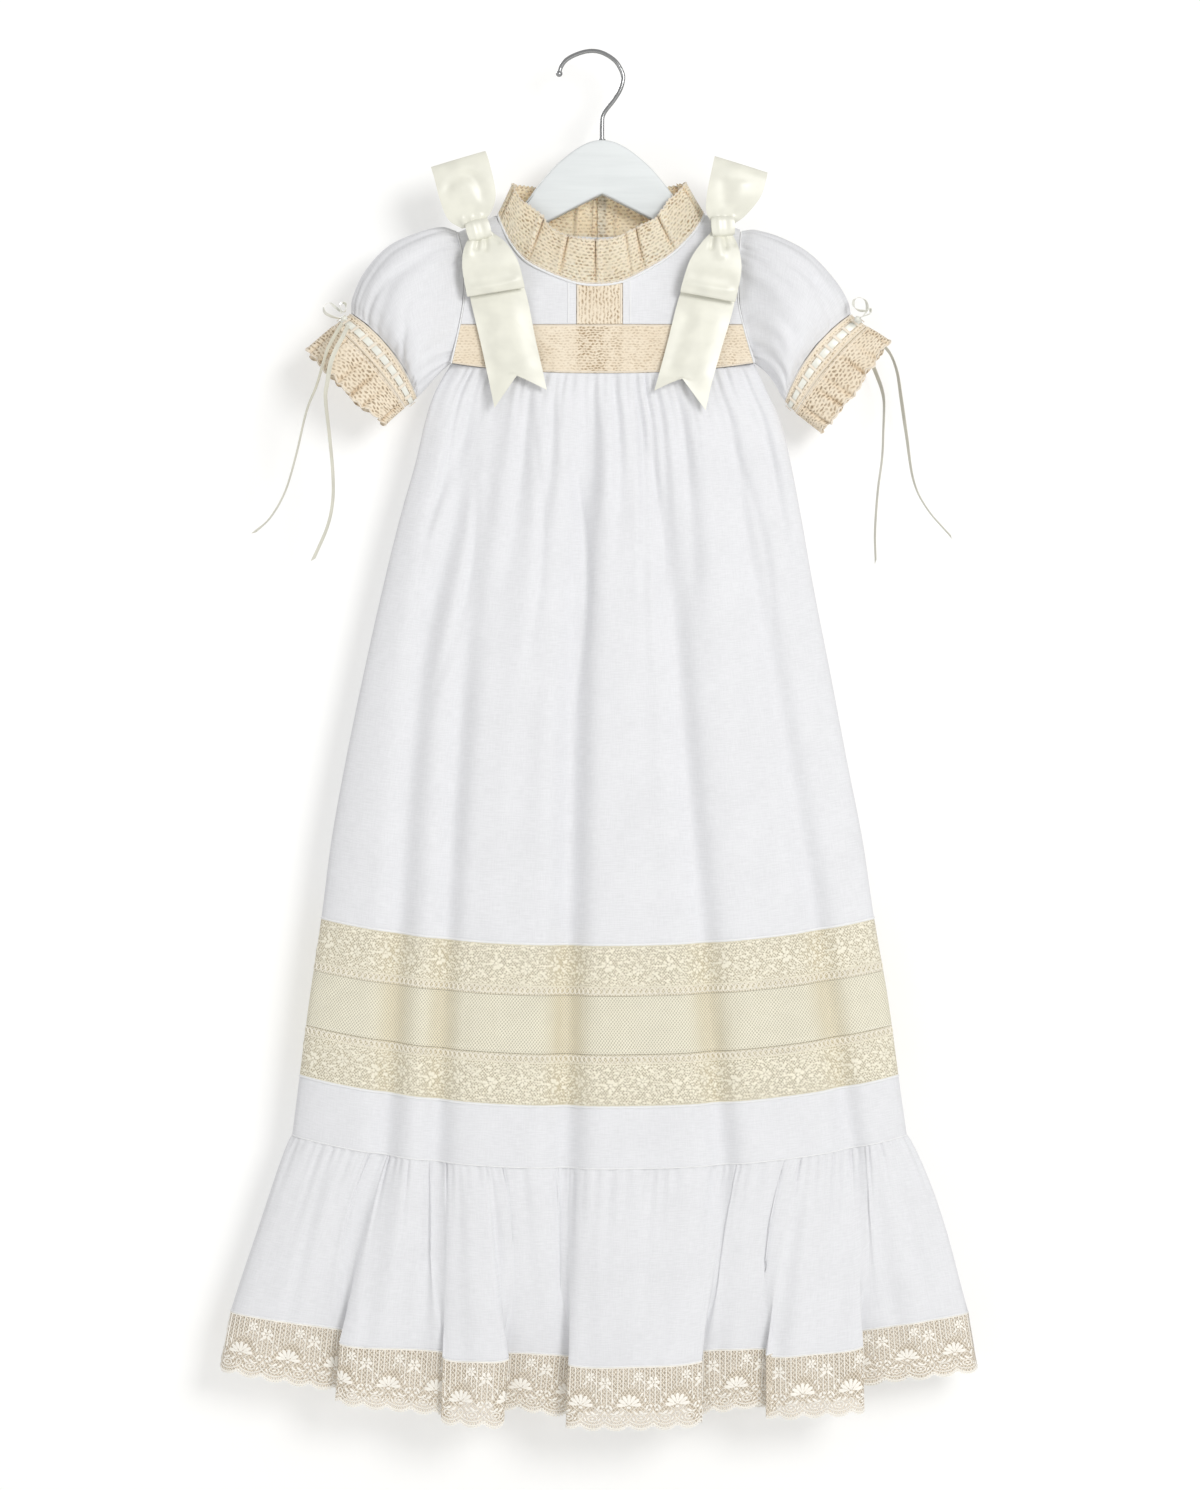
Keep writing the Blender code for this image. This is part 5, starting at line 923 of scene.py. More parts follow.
def pierced_finish(name, pitch_u, pitch_v, half_u, half_v, tilt=0.0, open_share=0.85, color=CREAM, hole_shade=CREAM_HOLE_SHADE,
                   upright=False, middle=None, painted_fold_shade=False, strength=0.75, thin=0.0):
    """Cotton lace worked in rows: small slots between plump threads. upright
    turns the rows down the lace; middle is (x, reach) of a bolder part."""
    f = Finish(name, color, 0.85)
    u, v = f.lengths()
    wander = f.math("MULTIPLY", f.math("SUBTRACT", f.noise(f.vector(u, v), 0.2, 2.0), 0.5), 4.4)
    sway = f.math("MULTIPLY", f.math("SUBTRACT", f.noise(f.vector(u, v, 21.0), 0.16, 2.0), 0.5), 3.4)
    uu, vv = f.math("ADD", u, wander), f.math("ADD", v, sway)
    one, other = (vv, uu) if upright else (uu, vv)
    holes = brick_holes(f, one, other, pitch_u, pitch_v, half_u, half_v, tilt)
    near = brick_holes(f, one, other, pitch_u, pitch_v, half_u * 1.3, half_v * 1.45, tilt, 0.5)
    # Some slots are pulled open, some nearly closed.
    open_by = f.spread(f.noise(f.vector(u, v, 11.0), 0.42, 1.0), 0.36, 0.62, 0.3, 1.0)
    patchy = f.spread(f.noise(f.vector(u, v, 17.0), 0.05, 1.0), 0.36, 0.64, 0.55, 1.0)
    open_by = f.math("MULTIPLY", open_by, patchy)
    if middle is not None:
        far = f.math("ABSOLUTE", f.math("SUBTRACT", u, middle[0]))
        open_by = f.math("MULTIPLY", open_by, f.spread(far, middle[1] - 1.5, middle[1] + 1.5, 1.0, 0.5))
    holes, near = f.math("MULTIPLY", holes, open_by), f.math("MULTIPLY", near, open_by)
    thread = f.noise(f.vector(f.math("MULTIPLY", u, 1.2), f.math("MULTIPLY", v, 2.6)), 1.3, 3.0, 0.6)
    patch = f.noise(f.vector(u, v, 5.0), 0.05, 2.0)
    tone = f.math("ADD", f.math("MULTIPLY", thread, 0.55), f.math("MULTIPLY", patch, 0.45))
    light = tuple(min(1.0, c * 1.05) for c in color)
    soft = tuple(c * k for c, k in zip(color, (0.95, 0.92, 0.88)))
    body = f.mix(f.spread(tone, 0.34, 0.66), soft, light)
    # Painted shade: where the lace lies in between layers it is coloured towards tan.
    if painted_fold_shade:
        found = f.node("ShaderNodeAttribute", attribute_name="painted_fold_shade")
        body = f.mix(f.math("MULTIPLY", found.outputs["Fac"], 0.5), body, (0.74, 0.58, 0.40))
    # Painted shade: round each slot the thread is coloured darker, as the shade at the slot's edges.
    f.set("Base Color", f.mix(f.math("MULTIPLY", near, strength), body, hole_shade))
    f.see_through(f.math("SUBTRACT", 1.0, f.math("MULTIPLY", holes, open_share)))
    f.set("Sheen Weight", 0.1)
    f.set("Specular IOR Level", 0.2)
    if thin:
        f.set("Subsurface Weight", thin)
        f.shader.inputs["Subsurface Radius"].default_value = (0.0016, 0.0013, 0.001)
        f.set("Subsurface Scale", 1.0)
    f.bump(f.math("SUBTRACT", f.math("MULTIPLY", thread, 0.6), near), 0.45, 0.7)
    return f.material


def net_finish(name, color, pitch, thread, clear=0.0, tone_by=0.05, shade=(0.80, 0.75, 0.67), painted_fold_shade=False):
    """Net: slanted threads, with a veil of finer ones in its holes."""
    f = Finish(name, color, 0.85)
    u, v = f.lengths()
    drift = f.math("MULTIPLY", f.math("SUBTRACT", f.noise(f.vector(u, v), 0.12, 1.0), 0.5), 2.0)
    net = diamond_net(f, f.math("ADD", u, drift), v, pitch, thread)
    patch = f.noise(f.vector(u, v, 2.0), 0.06, 2.0)
    body = f.mix(patch, tuple(c * (1 - tone_by) for c in color), tuple(min(1, c * (1 + tone_by)) for c in color))
    # Painted shade: the net's holes take a darker copy of its colour, as the shade of what lies behind them.
    body = f.mix(net, tuple(c * k for c, k in zip(color, shade)), body)
    # Painted shade: down in the creases the net is coloured towards tan.
    if painted_fold_shade:
        found = f.node("ShaderNodeAttribute", attribute_name="painted_fold_shade")
        body = f.mix(f.math("MULTIPLY", found.outputs["Fac"], 0.5), body, (0.71, 0.62, 0.43))
    f.set("Base Color", body)
    f.see_through(f.math("MAXIMUM", net, clear))
    f.set("Specular IOR Level", 0.2)
    f.bump(net, 0.25, 0.6)
    return f.material


def thread_finish(name, color, fine=2.2):
    """Plump lace thread: small twisted strands, slightly uneven in tone."""
    f = Finish(name, color, 0.8)
    u, v = f.lengths()
    strands = f.noise(f.vector(f.math("MULTIPLY", u, fine), f.math("MULTIPLY", v, fine)), 1.0, 3.0, 0.6)
    patch = f.noise(f.vector(u, v, 9.0), 0.08, 2.0)
    tone = f.math("ADD", f.math("MULTIPLY", strands, 0.6), f.math("MULTIPLY", patch, 0.4))
    f.set("Base Color", f.mix(f.spread(tone, 0.3, 0.7), tuple(c * 0.92 for c in color), tuple(min(1, c * 1.05) for c in color)))
    f.set("Sheen Weight", 0.15)
    f.set("Specular IOR Level", 0.25)
    f.bump(strands, 0.15, 0.6)
    return f.material


def satin_finish(name="satin_ribbon", color=SATIN, scale=1.0):
    """Satin: floats that run along the ribbon, so it shines across them."""
    f = Finish(name, color, 0.34)
    u, v = f.lengths()
    floats = f.noise(f.vector(f.math("MULTIPLY", u, 5.0 * scale), f.math("MULTIPLY", v, 0.25 * scale)), 1.0, 3.0, 0.6)
    drift = f.noise(f.vector(u, v, 4.0), 0.06, 2.0)
    f.set("Base Color", f.mix(f.spread(drift, 0.3, 0.7), tuple(c * 0.94 for c in color), tuple(min(1, c * 1.05) for c in color)))
    f.set("Roughness", f.spread(floats, 0.2, 0.8, 0.34, 0.43))
    f.set("Anisotropic", 0.4)
    f.set("Sheen Weight", 0.35)
    f.set("Sheen Roughness", 0.35)
    f.set("Specular IOR Level", 1.0)
    f.bump(floats, 0.05, 0.35)
    return f.material


def paint_finish():
    """White painted wood, a faint grain under the paint."""
    f = Finish("painted_wood", (0.80, 0.83, 0.84), 0.42)
    where = f.node("ShaderNodeTexCoord").outputs["Object"]
    scaled = f.node("ShaderNodeMapping")
    scaled.inputs["Scale"].default_value = (18.0, 60.0, 260.0)
    f.tree.links.new(where, scaled.inputs["Vector"])
    grain = f.noise(scaled.outputs[0], 1.0, 4.0, 0.6)
    f.set("Base Color", f.mix(f.spread(grain, 0.3, 0.75), (0.69, 0.72, 0.725), (0.73, 0.76, 0.765)))
    f.set("Roughness", f.spread(grain, 0.2, 0.8, 0.36, 0.5))
    f.bump(grain, 0.12, 0.4)
    return f.material


def steel_finish():
    f = Finish("polished_steel", (0.36, 0.365, 0.37), 0.2, Metallic=1.0)
    where = f.node("ShaderNodeTexCoord").outputs["Object"]
    scaled = f.node("ShaderNodeMapping")
    scaled.inputs["Scale"].default_value = (900.0, 900.0, 900.0)
    f.tree.links.new(where, scaled.inputs["Vector"])
    brushed = f.noise(scaled.outputs[0], 1.0, 3.0)
    f.set("Roughness", f.spread(brushed, 0.2, 0.8, 0.14, 0.27))
    f.bump(brushed, 0.01, 0.3)
    return f.material


def pearl_finish():
    f = Finish("pearl_button", (0.86, 0.85, 0.80), 0.22)
    where = f.node("ShaderNodeTexCoord").outputs["Object"]
    scaled = f.node("ShaderNodeMapping")
    scaled.inputs["Scale"].default_value = (220.0, 220.0, 420.0)
    f.tree.links.new(where, scaled.inputs["Vector"])
    cloud = f.noise(scaled.outputs[0], 1.0, 3.0, 0.55)
    f.set("Base Color", f.mix(cloud, (0.80, 0.80, 0.78), (0.90, 0.87, 0.82)))
    f.set("Coat Weight", 0.5)
    f.bump(cloud, 0.02, 0.3)
    return f.material


# -------------------------------------------------------------------- cords
def build_cords(finish):
    """The free tails of the narrow ribbon, one flat strip each, in a darker copy of its satin as painted shade."""
    for name, line in CUFF_TAILS.items():
        share = np.linspace(0.0, 1.0, 90)
        at = share * (len(line) - 1)
        x, drop, level = (curve_at(range(len(line)), [p[c] for p in line], at) for c in range(3))
        middle = np.stack((x, -level, -drop), -1)
        way = np.gradient(middle, axis=0)
        way /= np.linalg.norm(way, axis=1, keepdims=True)
        seed = sum(map(ord, name))
        turn = (0.85 + 0.3 * share + 0.35 * uneven(share * 10, seed, 3.0)) * (-1.0 if middle[0, 0] > 0 else 1.0)
        face = np.stack((np.sin(turn), -np.cos(turn), np.zeros_like(turn)), -1)
        side = np.cross(way, face)
        side /= np.linalg.norm(side, axis=1, keepdims=True)
        off = np.cross(side, way)
        rows = []
        for across, lift in ((-1.0, 0.0), (-0.5, 0.12), (0.0, 0.17), (0.5, 0.12), (1.0, 0.0)):
            slant = np.zeros(len(share))
            slant[-1] = 1.4 * across
            rows.append(middle + side * (across * NARROW_RIBBON / 2) + off * lift + way * slant[:, None])
        surface = Surface(np.stack(rows, 1), 1.0)
        piece = shell(name + "_ribbon", surface, finish, 0.25)
        own(piece, "satin", name)
        step = max(1, len(middle) // 30)
        path = [tuple(p) for p in (middle * MM)[::step]]
        if tuple(path[-1]) != tuple((middle * MM)[-1]):
            path.append(tuple((middle * MM)[-1]))


# ------------------------------------------------------------- skirt panels
def seam_drop(seam, s):
    return seam["middle"] - (seam["middle"] - seam["side"]) * np.abs(s) ** SEAM_BEND


def fold_depth(painted_fold_shade, x, drop):
    total = np.zeros(np.broadcast(x, drop).shape)
    for fold in painted_fold_shade:
        low, high = fold["drop"][0], fold["drop"][2]
        at = np.clip(drop, low, high)
        middle = curve_at(fold["drop"], fold["x"], at)
        deep = curve_at(fold["drop"], fold["deep"], at) * smoothstep(low - 16, low + 24, drop)
        deep = np.where(drop > high + 40, 0.0, deep)
        total += deep * np.exp(-(((x - middle) / fold["wide"]) ** 2))
    return total


def waist_gathers(back):
    """Fine gathers below the yoke: place at the seam, depth, width, length."""
    rng = np.random.RandomState(23 if back else 7)
    out, x = [], -101.0
    while x < 101.0:
        out.append((x, rng.uniform(1.2, 3.4), rng.uniform(1.5, 2.5), rng.choice([20.0, 30.0, 45.0, 75.0, 120.0, 190.0])))
        x += rng.uniform(4.0, 8.6)
    return out


GATHERS = {False: waist_gathers(False), True: waist_gathers(True)}
# Soft secondary creases of the front, (x0, drop0, x1, drop1, depth, width).
FRONT_CREASES = [
    (-64, 250, -84, 420, 1.6, 9), (-36, 236, -44, 330, 1.6, 6), (-44, 300, -58, 520, 1.4, 12), (-30, 240, -34, 300, -1.2, 6),
    (-2, 236, 0, 330, -1.6, 7), (8, 320, 22, 560, 1.3, 13), (20, 238, 26, 380, 1.4, 7), (44, 236, 60, 400, 1.5, 8),
    (66, 240, 92, 430, 1.6, 9), (90, 250, 116, 380, 1.2, 8), (-98, 250, -128, 420, 1.2, 9), (-104, 420, -130, 600, 1.0, 14),
    (-60, 440, -74, 610, 1.0, 14), (36, 430, 48, 610, 1.1, 13), (84, 420, 112, 610, 1.1, 14), (120, 380, 152, 600, 0.9, 14),
    (-4, 400, -2, 600, 0.8, 13), (62, 300, 72, 420, -1.0, 9), (-88, 300, -100, 440, -1.0, 9),
    (-26, 265, -18, 455, 1.7, 3.2), (-31, 265, -24, 455, -0.6, 3.4), (27, 256, 38, 420, 1.4, 3.0), (79, 250, 121, 412, 1.0, 3.6),
    (-88, 285, -120, 455, 1.4, 3.6), (-105, 258, -130, 350, 1.0, 3.4), (-50, 250, -58, 452, 0.8, 3.0),
]
BACK_CREASES = [
    (-98, 244, -122, 400, 1.4, 9), (-72, 240, -90, 420, 1.4, 10), (-50, 236, -58, 360, 1.5, 7), (-28, 236, -36, 420, 1.3, 9),
    (-4, 236, -6, 340, 1.6, 7), (18, 238, 26, 400, 1.4, 8), (42, 236, 54, 350, 1.6, 7), (62, 238, 84, 420, 1.3, 9),
    (92, 246, 122, 430, 1.3, 10), (-30, 430, -40, 610, 1.0, 14), (36, 440, 46, 600, 1.0, 14), (104, 430, 130, 610, 1.0, 14),
]


def skirt_points(s, drop, back=False):
    left = column_at(SKIRT_RINGS, "drop", drop, "left")
    right = column_at(SKIRT_RINGS, "drop", drop, "right")
    level = column_at(SKIRT_RINGS, "drop", drop, "back" if back else "front")
    x = lerp(left, right, (s + 1.0) / 2.0)
    body = np.clip(1.0 - np.abs(s) ** 3.0, 0.0, None) ** 0.55
    push = 1.4 * fold_depth(BACK_FOLDS if back else FRONT_FOLDS, x, drop)
    inside = np.minimum(1.0, 1.6 * body)
    push = push + 1.4 * troughs(x, drop, BACK_CREASES if back else FRONT_CREASES)
    below = drop - seam_drop(SEAMS["waist"], s)
    at_waist = s * 105.5 + 0.5
    for place, deep, wide, long in GATHERS[back]:
        grow = 1.0 + below / 70.0
        near = np.exp(-(((at_waist - place) / (wide * np.sqrt(grow))) ** 2))
        push = push + deep * near * np.exp(-((np.maximum(below, 0) / long) ** 1.4)) * smoothstep(-3.0, 5.0, below)
    # The cloth never lies quite flat: long, faint ridges run down it.
    run = s * 190.0
    push = push + 0.45 * uneven(run + 0.04 * drop, 31 if back else 11, 15.0) * smoothstep(250, 330, drop)
    y = level * body - push * inside
    return np.stack((x, y if back else -y, -drop + np.zeros_like(x)), -1)


def columns_of(count):
    w = np.linspace(-1.0, 1.0, count + 1)
    return 0.6 * w + 0.4 * np.sin(np.pi / 2 * w)


def fold_shade(surface, back=False):
    """How far places of the skirt lie down in its creases, 0 to 1: where the lace's colour is darkened as painted
    shade.
    """
    x, drop = surface.points[..., 0], -surface.points[..., 2]
    return np.clip(fold_depth(BACK_FOLDS if back else FRONT_FOLDS, x, drop) / 6.0, 0.0, 1.0)


def ring_surface(upper, lower, columns, rows, back=False, bunch=1.0):
    s = columns_of(columns)[None, :]
    top = seam_drop(SEAMS[upper], s) + SEAM_GAP / 2
    low = seam_drop(SEAMS[lower], s) - SEAM_GAP / 2
    share = np.linspace(0.0, 1.0, rows + 1)[:, None] ** bunch
    drop = lerp(top, low, share)
    points = skirt_points(s + 0 * drop, drop, back)
    edge = SEAM_GAP / 2
    points[:, 0, 1] = points[:, -1, 1] = edge if back else -edge
    return Surface(points, -1.0 if back else 1.0)


# ------------------------------------------------------- flounce and hem lace
def lobe_places(lobes):
    places = []

    def add(top_x, hem_x, lace_x, level, hem_drop, lace_drop, tuck=0.0):
        places.append((top_x, hem_x, lace_x, level, hem_drop, lace_drop, tuck))

    def spot(lobe, share, level):
        add(
            lerp(*lobe["top_x"], share), lerp(*lobe["hem_x"], share), lerp(*lobe["lace_x"], share),
            level, lerp(*lobe["hem_drop"], share), lerp(*lobe["lace_drop"], share),
        )

    for i, lobe in enumerate(lobes):
        level = lobe["level"]
        last = i == len(lobes) - 1
        if i == 0:
            spot(lobe, 0.0, 0.0)
            spot(lobe, 0.035, level * 0.45)
            spot(lobe, 0.16, level * 0.85)
        else:
            spot(lobe, 0.16, level)
        spot(lobe, 0.5, level + 2.0)
        if last:
            spot(lobe, 0.84, level * 0.85)
            spot(lobe, 0.965, level * 0.45)
            spot(lobe, 1.0, 0.0)
            break
        spot(lobe, 0.84, level)
        after = lobes[i + 1]
        edge_top, edge_hem, edge_lace = lobe["top_x"][1], after["hem_x"][0], after["lace_x"][0]
        if after["level"] > level:
            front, behind, side = after, lobe, 1.0
            drop_f, lace_f = after["hem_drop"][0], after["lace_drop"][0]
            drop_b, lace_b = lobe["hem_drop"][1], lobe["lace_drop"][1]
        else:
            front, behind, side = lobe, after, -1.0
            edge_hem, edge_lace = lobe["hem_x"][1], lobe["lace_x"][1]
            drop_f, lace_f = lobe["hem_drop"][1], lobe["lace_drop"][1]
            drop_b, lace_b = after["hem_drop"][0], after["lace_drop"][0]
        low, high = behind["level"], front["level"]
        tuck = LOBE_TUCK * min(1.0, (high - low) / 10.0)
        # Places along the turn, as they lie high up, and how far each slides
        # under the lobe in front by the time it reaches the hem.
        turn = [
            (edge_top - side * 4.5, edge_hem - side * 9.0, edge_lace - side * 9.0, low + 0.5, lerp(drop_b, drop_f, 0.2), lerp(lace_b, lace_f, 0.2), side * (tuck + 9.0)),
            (edge_top, edge_hem - side * 4.0, edge_lace - side * 4.0, lerp(low, high, 0.36), lerp(drop_b, drop_f, 0.5), lerp(lace_b, lace_f, 0.5), side * (tuck * 0.75 + 4.0)),
            (edge_top + side * 4.5, edge_hem + side * 2.5, edge_lace + side * 2.5, lerp(low, high, 0.76), drop_f - 2.0, lace_f - 2.0, side * -2.5),
        ]
        for row in turn if side > 0 else turn[::-1]:
            add(*row)
    return np.array(places)


def flounce_points(back, shares, fine):
    """Rows of the flounce (share 0 to 1) and of its lace (1 to 2). fine is
    how far apart the columns are along the hem."""
    lobes = BACK_LOBES if back else FRONT_LOBES
    places = lobe_places(lobes)
    plan = np.stack((places[:, 1] + places[:, 6], places[:, 3]), -1)
    run = np.concatenate(([0.0], np.cumsum(np.maximum(np.linalg.norm(np.diff(plan, axis=0), axis=1), 0.8))))
    count = int(run[-1] / fine)
    at = np.linspace(0.0, run[-1], count + 1)
    top_x, hem_x, lace_x, level, hem_drop, lace_drop, tuck = (curve_at(run, places[:, c], at) for c in range(7))
    s = np.clip((top_x + 1.75) / 215.25, -1.0, 1.0)
    top_drop = seam_drop(SEAMS["flounce_top"], s)
    top = skirt_points(s, top_drop, back)
    x0, y0 = top[:, 0], np.abs(top[:, 1])
    y0[0] = y0[-1] = 0.0
    rows = []
    for share in shares:
        if share <= 1.0:
            sway = 1.6 * np.sin(np.pi * share * 1.25) * np.sin(at * 0.047 + 1.0)
            x = lerp(x0, hem_x, share ** 0.82) + tuck * share ** 3.4 + sway
            y = lerp(y0, level, share ** 1.5)
            drop = lerp(top_drop, hem_drop, share)
        else:
            t = share - 1.0
            x = lerp(hem_x, lace_x, t) + tuck
            y = level * (1.0 + 0.06 * t)
            drop = lerp(hem_drop, lace_drop, t)
            x = x + 1.6 * np.sin(np.pi * 1.25) * np.sin(at * 0.047 + 1.0)
        y = np.maximum(y, 0.0)
        rows.append(np.stack((x, y if back else -y, -drop), -1))
    points = np.array(rows)
    edge = SEAM_GAP / 2
    points[:, 0, 1] = points[:, -1, 1] = edge if back else -edge
    return points, at


def flounce_surface(back, fine, rows):
    shares = np.linspace(0.0, 1.0, rows + 1) ** 1.2
    points, run = flounce_points(back, shares, fine)
    surface = Surface(points, -1.0 if back else 1.0)
    # Gathers below the seam, each with its own length, and long soft ridges.
    rng = np.random.RandomState(5 if back else 3)
    length = run[-1]
    push = np.zeros(points.shape[:2])
    below = surface.v[:, None]
    x = 4.0
    while x < length - 4.0:
        deep, wide, long = rng.uniform(0.8, 2.1), rng.uniform(1.3, 2.4), rng.choice([10.0, 16.0, 26.0, 40.0, 70.0])
        near = np.exp(-(((run[None, :] - x) / (wide * (1 + below / 60.0))) ** 2))
        push += deep * near * np.exp(-((below / long) ** 1.3)) * smoothstep(-2.0, 3.5, below)
        x += rng.uniform(5.0, 10.5)
    x = 9.0
    while x < length - 8.0:
        deep, wide = rng.uniform(-2.3, 3.0), rng.uniform(5.0, 10.0)
        lean = rng.uniform(-8.0, 8.0)
        near = np.exp(-(((run[None, :] - x - lean * below / 130.0) / wide) ** 2))
        push += deep * near * smoothstep(6.0, 50.0, below)
        x += rng.uniform(13.0, 24.0)
    push[:, :3] = 0.0
    push[:, -3:] = 0.0
    points = points - surface.normals * push[..., None]
    return Surface(points, surface.outward), push[-1]


def hem_surface(back, fine, rows, push):
    points, run = flounce_points(back, np.linspace(1.0, 2.0, rows + 1), fine)
    surface = Surface(points, -1.0 if back else 1.0)
    share = np.linspace(0.0, 1.0, rows + 1)[:, None]
    soft = push[None, :] + 0.35 * uneven(run[None, :], 77 + back, 9.0) * share
    soft[:, :3] = 0.0
    soft[:, -3:] = 0.0
    points = points - surface.normals * soft[..., None]
    points[0, :, 2] -= 0.3
    return Surface(points, surface.outward)


# -------------------------------------------------------------------- yoke
def arm_edge(side, drop):
    return column_at(ARMHOLES[side], "drop", drop, "x")


def yoke_level(x, drop):
    ridge = SHOULDER["drop"] + np.maximum(0.0, np.abs(x) - SHOULDER["x"]) * SHOULDER["fall"]
    t = np.clip((drop - ridge) / 9.0, 0.0, 1.0)
    round_over = np.sqrt(np.clip(1.0 - (1.0 - t) ** 2, 0.0, None))
    full = YOKE_LEVEL + 1.4 * smoothstep(60.0, 0.0, np.abs(x)) + 1.2 * smoothstep(170.0, 216.0, drop)
    return full * round_over


def yoke_surface(corners, left_edge, right_edge, left_low, right_low, bottom, columns, rows, back=False, lift=None, bend=None):
    """A flat panel between its top edge and its lower seam."""
    corners = np.array(corners, float)
    at = np.linspace(0, len(corners) - 1, columns + 1)
    top_x, top_drop = (np.interp(at, range(len(corners)), corners[:, k]) for k in (0, 1))
    u = np.linspace(0.0, 1.0, columns + 1)[None, :]
    v = np.linspace(0.0, 1.0, rows + 1)[:, None]
    v = lerp(v, v * v, 0.45)
    end_x = lerp(left_low, right_low, u)
    drop = lerp(top_drop[None, :], bottom(end_x), v)
    left, right = left_edge(drop), right_edge(drop)
    straight = lerp(top_x[None, :], end_x, v)
    base_left, base_right = lerp(top_x[0], left_low, v), lerp(top_x[-1], right_low, v)
    x = straight + (left - base_left) * (1 - u) + (right - base_right) * u
    y = np.maximum(yoke_level(x, drop), 0.15) + (lift(x) if lift else 0.0)
    if bend is not None:
        y = y - troughs(x, drop, bend) * smoothstep(0.5, 5.0, yoke_level(x, drop))
    return Surface(np.stack((x, y if back else -y, -drop), -1), -1.0 if back else 1.0)


def top_corners(neck, frill, low_x, high_x):
    """The upper edge: along the shoulder seam, then below the neck piping."""
    corners = []
    ridge = lambda x: SHOULDER["drop"] + (abs(x) - SHOULDER["x"]) * SHOULDER["fall"]
    for side, neck_x in ((-1, -73.4), (1, 72.1)):
        arm_x = low_x if side < 0 else high_x
        if (arm_x < -73.4) if side < 0 else (arm_x > 72.1):
            for t in (0.0, 0.36, 0.7, 1.0):
                x = lerp(arm_x, neck_x, t)
                corners.append((x, ridge(x) + 0.1))
    rows = list(zip(neck, frill))
    share = np.linspace(0.0, 1.0, 41)[1:-1]
    nx, nd = along(neck, ("x", "drop"), share)
    fx, fd = along(frill, ("x", "drop"), share)
    for x, d, ax, ad in zip(nx, nd, fx, fd):
        dx, dd = x - ax, d - ad
        away = 0.7 / math.hypot(dx, dd)
        corners.append((x + dx * away, d + dd * away))
    inside = [c for c in corners if low_x + 0.8 < c[0] < high_x - 0.8]
    ends = []
    ordered = sorted(corners)
    for x in (low_x, high_x):
        ends.append((x, float(np.interp(x, [c[0] for c in ordered], [c[1] for c in ordered]))))
    return sorted([ends[0]] + inside + [ends[1]])


YOKE_BENDS = [
    (-84, 128, -92, 178, 0.7, 6), (-52, 150, -58, 186, 0.5, 7), (-40, 160, -44, 188, 0.4, 6), (36, 158, 38, 188, 0.4, 6),
    (54, 150, 60, 186, 0.5, 7), (84, 130, 90, 180, 0.7, 6), (-66, 140, -74, 180, -0.5, 6), (66, 140, 74, 182, -0.5, 6),
]


